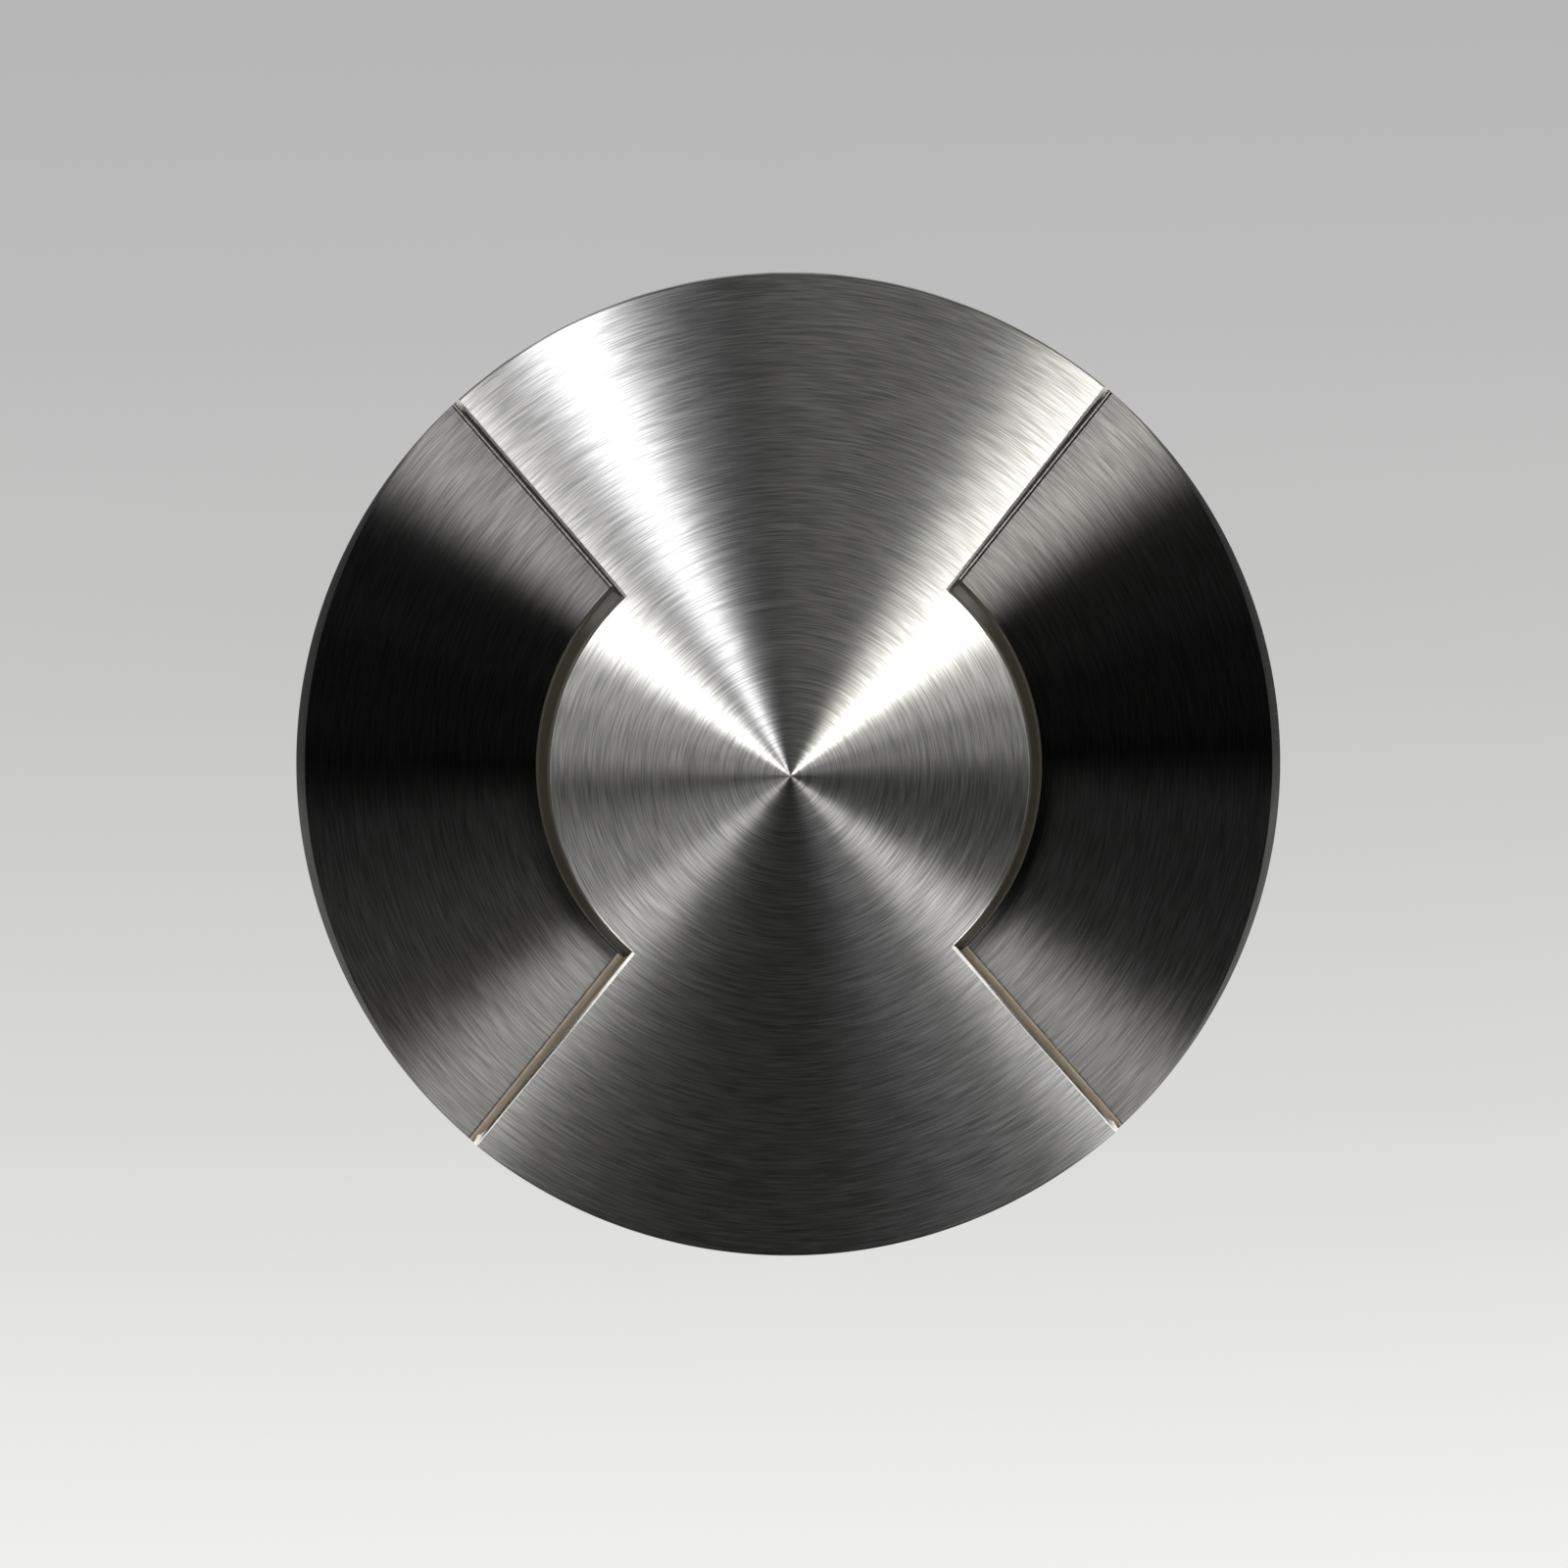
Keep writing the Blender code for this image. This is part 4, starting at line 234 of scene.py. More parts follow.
@dataclass(frozen=True)
class TurnedSteel:
    """Steel brushed in rings on a lathe: short fine lines that stretch each light to a streak."""

    name: str
    colour: str = "#cfcecb"
    roughness: float = 0.289
    streak: float = 0.917
    line_width: float = 0.17
    line_length: float = 5.0
    line_depth: float = 0.003
    line_turn: float = 0.06
    line_range: tuple[float, float] = (0.34, 0.66)
    line_tone: float = 0.58
    roughness_spread: float = 0.012
    # Painted shade and highlight: colour tones over the upper and lower half and beside the walls
    middle_tone: float = 1.0
    lower_tone: float = 1.0
    middle_band: tuple[float, float] = (-0.12, 0.04)
    side_tone: float = 1.0
    side_band: tuple[float, float] = (0.52, 0.76)

    def build(self) -> bpy.types.Material:
        """Make the material.

        The noise is read at the point itself, slowly, and at its distance from the axis, fast.
        So its lines run round the axis, are as long everywhere and have no seam. The real lines
        are about 0.1 mm wide, which is finer than a picture point, so they are drawn wider.

        Returns:
            The material.
        """
        material, shader = new_material(self.name, Metallic=1.0, Roughness=self.roughness,
                                        Anisotropic=self.streak, Anisotropic_Rotation=0.25)
        place = add_node(material, "ShaderNodeTexCoord").outputs["Object"]
        parts = add_node(material, "ShaderNodeSeparateXYZ", links={0: place})
        flat = add_node(material, "ShaderNodeCombineXYZ",
                        links={"X": parts.outputs["X"], "Y": parts.outputs["Y"]})
        radius = add_node(material, "ShaderNodeVectorMath", {"operation": "LENGTH"},
                          {0: flat.outputs[0]})
        along = add_node(material, "ShaderNodeVectorMath",
                         {"operation": "SCALE", "Scale": per_mm(self.line_length)},
                         {0: flat.outputs[0]})
        across = add_node(material, "ShaderNodeMath",
                          {"operation": "MULTIPLY", 1: per_mm(self.line_width)},
                          {0: radius.outputs["Value"]})
        sides = add_node(material, "ShaderNodeSeparateXYZ", links={0: along.outputs[0]})
        way = add_node(material, "ShaderNodeCombineXYZ",
                       links={"X": sides.outputs["X"], "Y": sides.outputs["Y"],
                              "Z": across.outputs[0]})
        lines = add_node(material, "ShaderNodeTexNoise",
                         {"Scale": 1.0, "Detail": 1.0, "Roughness": 0.5},
                         {"Vector": way.outputs[0]})
        tone = spread(material, lines.outputs["Fac"], self.line_range, (self.line_tone, 1.0))
        # Painted shade and highlight: the colour is scaled by the angle round the axis.
        signed = add_node(material, "ShaderNodeMath", {"operation": "DIVIDE"},
                          {0: parts.outputs["Y"], 1: radius.outputs["Value"]})
        share = add_node(material, "ShaderNodeMath", {"operation": "ABSOLUTE"},
                         {0: signed.outputs[0]})
        middle = spread(material, signed.outputs[0], self.middle_band,
                        (self.lower_tone, self.middle_tone), smooth=True)
        painted_shade_and_highlight = spread(material, share.outputs[0], self.side_band, (middle, self.side_tone),
                      smooth=True)
        shade = add_node(material, "ShaderNodeMath", {"operation": "MULTIPLY"},
                         {0: painted_shade_and_highlight, 1: tone})
        colour = add_node(material, "ShaderNodeMix",
                          {"data_type": "RGBA", "blend_type": "MULTIPLY", 0: 1.0,
                           6: linear(self.colour)}, {7: shade.outputs[0]})
        rough = spread(material, lines.outputs["Fac"], NOISE_RANGE,
                       (self.roughness - self.roughness_spread,
                        self.roughness + self.roughness_spread))
        bump = add_node(material, "ShaderNodeBump",
                        {"Strength": 1.0, "Distance": self.line_depth * MM},
                        {"Height": lines.outputs["Fac"]})
        tangent = add_node(material, "ShaderNodeTangent",
                           {"direction_type": "RADIAL", "axis": "Z"})
        stray = add_node(material, "ShaderNodeVectorMath",
                         {"operation": "SUBTRACT", 1: (0.5, 0.5, 0.5)},
                         {0: lines.outputs["Color"]})
        astray = add_node(material, "ShaderNodeVectorMath",
                          {"operation": "MULTIPLY_ADD", 1: (self.line_turn,) * 3},
                          {0: stray.outputs[0], 2: tangent.outputs[0]})
        links = material.node_tree.links
        links.new(colour.outputs[2], shader.inputs["Base Color"])
        links.new(rough, shader.inputs["Roughness"])
        links.new(bump.outputs[0], shader.inputs["Normal"])
        links.new(astray.outputs[0], shader.inputs["Tangent"])
        return material


@dataclass(frozen=True)
class Metal:
    """A metal whose surface was cast, milled or drawn: two tones, a grain and a soft gloss."""

    name: str
    colour: str
    second: str
    roughness: float
    grain: float
    depth: float
    patch: float = 6.0
    stretch: tuple[float, float, float] = (1.0, 1.0, 1.0)
    bare: float = 1.0

    def build(self) -> bpy.types.Material:
        """Make the material.

        Returns:
            The material.
        """
        material, shader = new_material(self.name, Metallic=self.bare)
        dress_surface(material, shader, self.colour, self.second, self.roughness, self.grain,
                      self.depth, self.patch, self.stretch)
        return material


@dataclass(frozen=True)
class Moulding:
    """A moulded plastic or rubber: two close tones and the fine grain of its mould."""

    name: str
    colour: str
    second: str
    roughness: float
    grain: float
    depth: float
    patch: float = 8.0
    ior: float = 1.5
    sheen: float = 0.0

    def build(self) -> bpy.types.Material:
        """Make the material.

        Returns:
            The material.
        """
        material, shader = new_material(self.name, IOR=self.ior, Sheen_Weight=self.sheen)
        dress_surface(material, shader, self.colour, self.second, self.roughness, self.grain,
                      self.depth, self.patch, (1.0, 1.0, 1.0))
        return material


def dress_surface(material: bpy.types.Material, shader: bpy.types.Node, colour: str, second: str,
                  roughness: float, grain: float, depth: float, patch: float,
                  stretch: tuple[float, float, float]) -> None:
    """Give a Principled shader two tones in patches, and a grain in bump and roughness.

    Args:
        material: Material that the shader belongs to.
        shader: Its Principled node.
        colour: Main tone.
        second: Tone of the patches.
        roughness: Middle roughness.
        grain: Size of the grain in millimetres.
        depth: Depth of the grain in millimetres.
        patch: Size of the patches in millimetres.
        stretch: How much the pattern is squeezed along X, Y and Z.
    """
    place = add_node(material, "ShaderNodeTexCoord").outputs["Object"]
    drawn = add_node(material, "ShaderNodeMapping", {"Scale": stretch}, {"Vector": place})
    cloud = add_node(material, "ShaderNodeTexNoise",
                     {"Scale": per_mm(patch), "Detail": 4.0, "Roughness": 0.6},
                     {"Vector": drawn.outputs[0]})
    tone = add_node(material, "ShaderNodeValToRGB", links={"Fac": cloud.outputs["Fac"]})
    tone.color_ramp.elements[0].position = FIRST_TONE
    tone.color_ramp.elements[0].color = linear(colour)
    tone.color_ramp.elements[1].position = SECOND_TONE
    tone.color_ramp.elements[1].color = linear(second)
    grit = add_node(material, "ShaderNodeTexNoise",
                    {"Scale": per_mm(grain), "Detail": 3.0, "Roughness": 0.55},
                    {"Vector": drawn.outputs[0]})
    rough = spread(material, grit.outputs["Fac"], NOISE_RANGE,
                   (roughness - GRAIN_ROUGHNESS, roughness + GRAIN_ROUGHNESS))
    bump = add_node(material, "ShaderNodeBump", {"Strength": 1.0, "Distance": depth * MM},
                    {"Height": grit.outputs["Fac"]})
    links = material.node_tree.links
    links.new(tone.outputs["Color"], shader.inputs["Base Color"])
    links.new(rough, shader.inputs["Roughness"])
    links.new(bump.outputs[0], shader.inputs["Normal"])


@dataclass(frozen=True)
class SmokedGlass:
    """Toughened glass with a brown smoke tint and a satin inner face: dark while it is off."""

    name: str = "smoked toughened glass, satin inside"
    colour: str = "#6c6557"
    shade: str = "#5b5547"
    roughness: float = 0.35
    clear: float = 0.6
    ior: float = 1.5
    ripple: float = 9.0
    ripple_depth: float = 0.01

    def build(self) -> bpy.types.Material:
        """Make the material.

        Returns:
            The material.
        """
        material, shader = new_material(self.name, IOR=self.ior, Transmission_Weight=self.clear,
                                        Roughness=self.roughness)
        place = add_node(material, "ShaderNodeTexCoord").outputs["Object"]
        smoke = add_node(material, "ShaderNodeTexNoise",
                         {"Scale": per_mm(self.ripple), "Detail": 2.0}, {"Vector": place})
        tone = add_node(material, "ShaderNodeValToRGB", links={"Fac": smoke.outputs["Fac"]})
        tone.color_ramp.elements[0].color = linear(self.shade)
        tone.color_ramp.elements[1].color = linear(self.colour)
        bump = add_node(material, "ShaderNodeBump",
                        {"Strength": 1.0, "Distance": self.ripple_depth * MM},
                        {"Height": smoke.outputs["Fac"]})
        links = material.node_tree.links
        links.new(tone.outputs["Color"], shader.inputs["Base Color"])
        links.new(bump.outputs[0], shader.inputs["Normal"])
        return material


@dataclass
class Finishes:
    """Every finish of the light, built once."""

    made: dict[Slot, bpy.types.Material] = field(default_factory=dict)
    sunk_face: bpy.types.Material | None = None
    milled_wall: bpy.types.Material | None = None
    broken_edge: bpy.types.Material | None = None

    def build(self) -> "Finishes":
        """Make the materials of all slots.

        Returns:
            This set of finishes.
        """
        recipes = {
            # Rings of fine lines draw every softbox out to a streak that runs to the axis.
            Slot.STAINLESS: TurnedSteel("stainless steel, brushed in rings"),
            # Cold heading leaves a smooth, slightly uneven gloss.
            Slot.SCREW: Metal("stainless steel, cold headed", "#b5b4b0", "#9d9c99", 0.27, 0.25,
                              0.004, 3.0),
            # Hot oil turns the steel blue black, with brown clouds and a dull sheen.
            Slot.SPRING: Metal("spring steel, oil blackened", "#4b4c50", "#64605a", 0.36, 0.3,
                               0.004, 2.5),
            # The tint hides the light sources, and the satin inner face blurs what lies behind.
            Slot.GLASS: SmokedGlass(),
            # Bloom on the rubber takes away nearly all gloss.
            Slot.RUBBER: Moulding("EPDM rubber, moulded", "#161616", "#202020", 0.72, 0.35, 0.02,
                                  5.0, 1.52, 0.15),
            # Shot leaves small even dents, so the casting is pale and silky without a highlight.
            Slot.CASTING: Metal("aluminium, die cast and shot blasted", "#a4a6a8", "#8f9193", 0.5,
                                0.45, 0.03, 9.0),
            # The cutter's straight passes show as faint lines across a bright face.
            Slot.MACHINED: Metal("aluminium, milled", "#c6c8ca", "#b2b4b6", 0.3, 0.3, 0.004, 5.0,
                                 (1.0, 6.0, 1.0)),
            # The thick white lacquer is smooth, with the faint weave of the screen.
            Slot.BOARD: Moulding("solder mask, screen printed white", "#dfe0da", "#d0d2cc", 0.42,
                                 0.3, 0.006, 4.0),
            # Grains of phosphor colour the clear silicone egg yellow and mottle it.
            Slot.PHOSPHOR: Moulding("phosphor in silicone, cast", "#e3b93e", "#d7a52c", 0.35, 0.2,
                                    0.01, 1.2, 1.42),
            # The thin metal film copies the smooth moulding below it, so it mirrors.
            Slot.MIRROR: Metal("polycarbonate, vacuum metallised", "#dcdde0", "#d3d4d8", 0.1, 0.6,
                               0.002, 12.0),
            # Poured resin levels itself, so its gloss is wet and only slightly wavy.
            Slot.POTTING: Moulding("epoxy resin, poured", "#191a1d", "#24262a", 0.32, 0.8, 0.02,
                                   12.0),
            # The spark eroded mould leaves an even, soft shine.
            Slot.TERMINAL: Moulding("polyamide, moulded light grey", "#c4c4bd", "#b7b7b0", 0.45,
                                    0.3, 0.012, 4.0),
            # A polished mould gives the black nylon clear highlights on its edges.
            Slot.GLAND: Moulding("polyamide, moulded black", "#151618", "#1f2022", 0.38, 0.3,
                                 0.012, 4.0),
            # Glass fibres come to the surface as grey flow marks.
            Slot.RING: Moulding("glass filled nylon, moulded dark grey", "#2b2c2f", "#3a3b3e",
                                0.46, 0.25, 0.016, 1.6),
            # A blasted mould and a soft plastic make broad, dull highlights.
            Slot.SLEEVE: Moulding("polypropylene, moulded black", "#1c1d1f", "#26272a", 0.52,
                                  0.5, 0.03, 14.0),
            # The extruded skin is smooth along the wire and glossy round it.
            Slot.LEAD_RED: Moulding("PVC insulation, extruded red", "#b01c18", "#a01612", 0.42,
                                    0.3, 0.01, 3.0),
            Slot.LEAD_BLACK: Moulding("PVC insulation, extruded black", "#17171a", "#222226", 0.42,
                                      0.3, 0.01, 3.0),
        }
        self.made = {slot: recipe.build() for slot, recipe in recipes.items()}
        # The sunk floors are brushed finer, and their dark colour is painted shade, darker still
        # on the upper half. Beside the walls, where short streaks show, the colour is lifted as a
        # painted highlight.
        self.sunk_face = TurnedSteel("stainless steel, finely brushed in rings", "#61605f", 0.277,
                                     1.0, roughness_spread=0.002, middle_tone=0.2,
                                     lower_tone=1.0, side_tone=2.5).build()
        # The milled walls are dull, and their straw tint is a painted warm reflection.
        self.milled_wall = Metal("stainless steel, milled and tinted by heat", "#8f8471",
                                 "#7d7362", 0.5, 0.25, 0.006, 3.0, (1.0, 1.0, 5.0), 0.45).build()
        # Emery leaves a narrow, bright line along the edge.
        self.broken_edge = Metal("stainless steel, edge broken with emery", "#f2efe8", "#dedbd4",
                                 0.3, 0.2, 0.002, 2.0).build()
        return self

    def __getitem__(self, slot: Slot) -> bpy.types.Material:
        """Return the material of a slot."""
        return self.made[slot]


# Mesh helpers, all in millimetres

# Faces round a full turn, from a small hole to the cover
SMALL_STEPS = 32
SCREW_STEPS = 40
HOLE_STEPS = 48
ENTRY_STEPS = 96
BOARD_STEPS = 160
BODY_STEPS = 192
COVER_STEPS = 360

# Faces along the arc over one sector
ARC_STEPS = 96

# Largest share of a straight that one rounding takes
ROUNDING_SHARE = 0.48

# Points closer than this are one, in metres, also after a cut
SAME_POINT = 1e-7
SAME_CUT_POINT = 2e-7


def rounded(corners: Iterable[Corner], segments: int = 5) -> list[Point]:
    """Round the corners of a profile with small arcs.

    Args:
        corners: Corner radius from the axis, height and rounding.
        segments: Straight steps in each rounding.

    Returns:
        The points of the rounded profile, in the same order.
    """
    given = list(corners)
    points: list[Point] = []
    for index, (radius, height, rounding) in enumerate(given):
        here = Vector((radius, height))
        before = Vector(given[index - 1][:2]) - here
        after = Vector(given[(index + 1) % len(given)][:2]) - here
        if rounding <= 0:
            points.append((radius, height))
            continue
        half = before.angle(after) / 2
        reach = min(rounding / math.tan(half), ROUNDING_SHARE * before.length,
                    ROUNDING_SHARE * after.length)
        arc = reach * math.tan(half)
        middle = (before.normalized() + after.normalized()).normalized()
        centre = here + middle * (arc / math.sin(half))
        start = here + before.normalized() * reach - centre
        end = here + after.normalized() * reach - centre
        turn = start.angle_signed(end)
        for step in range(segments + 1):
            spoke = start.copy()
            spoke.rotate(Matrix.Rotation(-turn * step / segments, 2))
            points.append(tuple(centre + spoke))
    return points


def tidy(shape: Shape) -> Shape:
    """Merge doubled points and turn all faces outwards.

    Args:
        shape: The bmesh, which is changed.

    Returns:
        The same bmesh.
    """
    bmesh.ops.remove_doubles(shape, verts=shape.verts[:], dist=SAME_POINT)
    bmesh.ops.recalc_face_normals(shape, faces=shape.faces[:])
    if shape.calc_volume(signed=True) < 0:
        bmesh.ops.reverse_faces(shape, faces=shape.faces[:])
    return shape


def spun(profile: Sequence[Point], steps: int, closed: bool = False) -> Shape:
    """Spin a profile of (radius, height) a full turn round Z.

    Args:
        profile: Points of the section, from the axis to the axis unless closed.
        steps: Faces round the full turn.
        closed: Whether the last point joins the first, as in a ring.

    Returns:
        A closed bmesh with its faces outwards.
    """
    shape = bmesh.new()
    verts = [shape.verts.new((radius * MM, 0.0, height * MM)) for radius, height in profile]
    following = verts[1:] + (verts[:1] if closed else [])
    edges = [shape.edges.new(pair) for pair in zip(verts, following)]
    bmesh.ops.spin(shape, geom=verts + edges, cent=(0, 0, 0), axis=(0, 0, 1),
                   angle=2 * math.pi, steps=steps, use_merge=True)
    return tidy(shape)


def arc_shape(profile: Sequence[Point], half_angle: float, steps: int) -> Shape:
    """Spin a closed profile through an arc centred on +X and cap both ends.

    Args:
        profile: Points of the closed section.
        half_angle: Half of the angle that the arc spans.
        steps: Faces along the arc.

    Returns:
        A closed bmesh with its faces outwards.
    """
    shape = bmesh.new()
    verts = [shape.verts.new((radius * MM, 0.0, height * MM)) for radius, height in profile]
    edges = [shape.edges.new(pair) for pair in zip(verts, verts[1:] + verts[:1])]
    bmesh.ops.rotate(shape, verts=verts, cent=(0, 0, 0),
                     matrix=Matrix.Rotation(-half_angle, 3, "Z"))
    bmesh.ops.spin(shape, geom=verts + edges, cent=(0, 0, 0), axis=(0, 0, 1),
                   angle=2 * half_angle, steps=steps)
    ends = [edge for edge in shape.edges if edge.is_boundary]
    bmesh.ops.holes_fill(shape, edges=ends, sides=len(verts))
    return tidy(shape)


def turn_z(angle: float) -> Matrix:
    """Return the turn by an angle round the Z axis."""
    return Matrix.Rotation(angle, 4, "Z")


def shift(x: float = 0.0, y: float = 0.0, z: float = 0.0) -> Matrix:
    """Return the move by three lengths in millimetres."""
    return Matrix.Translation((x * MM, y * MM, z * MM))


def around(radius: float, angle: float) -> Matrix:
    """Return the move to a spot on a circle round the axis."""
    return shift(radius * math.cos(angle), radius * math.sin(angle))


def upside_down() -> Matrix:
    """Return the half turn round the X axis."""
    return Matrix.Rotation(math.pi, 4, "X")


def lying() -> Matrix:
    """Return the quarter turn that lays an upright shape along Y."""
    return Matrix.Rotation(math.pi / 2, 4, "X")


def moved(shape: Shape, *steps: Matrix) -> Shape:
    """Apply placing matrices to a bmesh, the first one first.

    Args:
        shape: The bmesh, which is changed.
        steps: The matrices.

    Returns:
        The same bmesh.
    """
    for matrix in steps:
        bmesh.ops.transform(shape, matrix=matrix, verts=shape.verts[:])
    return shape


def rod(radius: float, low: float, high: float, steps: int = HOLE_STEPS) -> Shape:
    """Make an upright closed cylinder between two heights.

    Args:
        radius: Its radius.
        low: Lower height.
        high: Upper height.
        steps: Faces round the full turn.

    Returns:
        The cylinder.
    """
    shape = bmesh.new()
    bmesh.ops.create_cone(shape, cap_ends=True, segments=steps, radius1=radius * MM,
                          radius2=radius * MM, depth=(high - low) * MM,
                          matrix=shift(z=(low + high) / 2))
    return shape


def block(size: Sequence[float], centre: Sequence[float]) -> Shape:
    """Make a box of real size at a centre.

    Args:
        size: Its three sizes.
        centre: Its centre.

    Returns:
        The box.
    """
    shape = bmesh.new()
    bmesh.ops.create_cube(shape, size=MM)
    bmesh.ops.scale(shape, vec=Vector(size), verts=shape.verts[:])
    return moved(shape, shift(*centre))


def plate(outline: Sequence[Point], low: float, high: float) -> Shape:
    """Extrude a flat outline of (x, y) points between two heights.

    Args:
        outline: Corners of the outline.
        low: Lower height.
        high: Upper height.

    Returns:
        A closed bmesh.
    """
    shape = bmesh.new()
    face = shape.faces.new([shape.verts.new((x * MM, y * MM, low * MM)) for x, y in outline])
    raised = bmesh.ops.extrude_face_region(shape, geom=[face])["geom"]
    bmesh.ops.translate(shape, vec=(0, 0, (high - low) * MM),
                        verts=[item for item in raised if isinstance(item, bmesh.types.BMVert)])
    return tidy(shape)


def bevelled(shape: Shape, width: float, segments: int = 2,
             wanted: Callable[[bmesh.types.BMEdge], bool] | None = None,
             angle: float = 35.0) -> Shape:
    """Bevel the sharp edges of a bmesh, or the edges that a test picks.

    Args:
        shape: The bmesh to change.
        width: Bevel width.
        segments: Steps across the bevel.
        wanted: Test of an edge; by default every edge that bends by more than the angle.
        angle: The smallest bend of a sharp edge, in degrees.

    Returns:
        The same bmesh.
    """
    pick = wanted or (lambda edge: edge.calc_face_angle(0.0) > math.radians(angle))
    bmesh.ops.bevel(shape, geom=[edge for edge in shape.edges if pick(edge)], offset=width * MM,
                    segments=segments, profile=0.5, affect="EDGES", material=-1,
                    clamp_overlap=True)
    return shape


def carved(shape: Shape, cuts: Sequence[Shape] = (), joins: Sequence[Shape] = ()) -> Shape:
    """Join shapes to a bmesh and cut others out of it, with exact Booleans.

    Args:
        shape: The shape that is worked on; it is used up.
        cuts: Shapes to cut out; they are used up.
        joins: Shapes to join first; they are used up.

    Returns:
        The resulting bmesh.
    """
    helpers = []
    for number, helper in enumerate([shape, *joins, *cuts]):
        mesh = bpy.data.meshes.new("helper")
        helper.to_mesh(mesh)
        helper.free()
        helpers.append(bpy.data.objects.new(f"helper_{number}", mesh))
        bpy.context.scene.collection.objects.link(helpers[-1])
    for number, helper in enumerate(helpers[1:]):
        step = helpers[0].modifiers.new("work", "BOOLEAN")
        step.operation = "UNION" if number < len(joins) else "DIFFERENCE"
        step.solver = "EXACT"
        step.object = helper
    graph = bpy.context.evaluated_depsgraph_get()
    worked = bpy.data.meshes.new_from_object(helpers[0].evaluated_get(graph))
    result = bmesh.new()
    result.from_mesh(worked)
    bpy.data.meshes.remove(worked)
    for helper in helpers:
        mesh = helper.data
        bpy.data.objects.remove(helper)
        bpy.data.meshes.remove(mesh)
    bmesh.ops.remove_doubles(result, verts=result.verts[:], dist=SAME_CUT_POINT)
    return result


@dataclass(frozen=True)
class Bend:
    """Two bodies and two points, in metres, that a springy piece would bend between; the piece is
    only baked in place.
    """

    first: str
    second: str
    start: Vector
    end: Vector


def place(shape: Shape, node: str, body: Body | Bend | str, finishes: Finishes, slot: Slot,
          sharp: float = 32.0) -> bpy.types.Object:
    """Make the piece that stands for a CAD node, dress it and let it ride on its body.

    Args:
        shape: The finished shape; it is used up.
        node: CAD node that the piece stands for.
        body: Body that the piece moves with, or a Bend, for which the piece is baked in place.
        finishes: The finishes.
        slot: The record's material slot, for its finish too.
        sharp: Edges that bend by more than this angle, in degrees, stay sharp.

    Returns:
        The new object.
    """
    mesh = bpy.data.meshes.new(f"{node}_finished")
    shape.to_mesh(mesh)
    shape.free()
    mesh.shade_smooth()
    mesh.set_sharp_from_angle(angle=math.radians(sharp))
    mesh.materials.append(finishes[slot])
    piece = bpy.data.objects.new(f"{node}_finished", mesh)
    bpy.context.scene.collection.objects.link(piece)
    normals = piece.modifiers.new("large faces stay flat", "WEIGHTED_NORMAL")
    normals.keep_sharp = True
    return ridden(piece, node, body, slot)


def ridden(piece: bpy.types.Object, node: str, body: Body | Bend | str,
           slot: Slot) -> bpy.types.Object:
    """Let a piece ride on its body, or bake it in place where it would bend, and stand for its CAD
    node.

    Args:
        piece: The piece.
        node: CAD node that it stands for.
        body: Body that it moves with, or a Bend, for which it is baked in place.
        slot: The record's material slot; not used.

    Returns:
        The same piece.
    """
    if isinstance(body, Bend):
        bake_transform(piece)
    else:
        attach(piece, body.value if isinstance(body, Body) else body)
    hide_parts(node)
    LOG.info("%s: %d faces", piece.name, len(piece.data.polygons))
    return piece


# Cover and windows


@dataclass(frozen=True)
class Sector:
    """Plan of one level sector of the cover, measured from its middle line +X."""

    side_angle: float = math.radians(50.3)
    side_offset: float = 1.36

    def side_point(self, radius: float) -> Point:
        """Find where the sector's side line crosses a circle.

        Args:
            radius: Radius of the circle.

        Returns:
            The crossing on the side of +Y.
        """
        along = math.sqrt(radius ** 2 - self.side_offset ** 2)
        cos_side, sin_side = math.cos(self.side_angle), math.sin(self.side_angle)
        return (self.side_offset * sin_side + along * cos_side,
                along * sin_side - self.side_offset * cos_side)

    def half_angle(self, radius: float) -> float:
        """Return half of the angle that the sector spans at a radius."""
        x, y = self.side_point(radius)
        return math.atan2(y, x)


class CoverFinish(Enum):
    """Finishes of the cover, by their place in its list of materials."""

    BRUSHED = 0
    MILLED = 1
    SUNK = 2
    BROKEN = 3


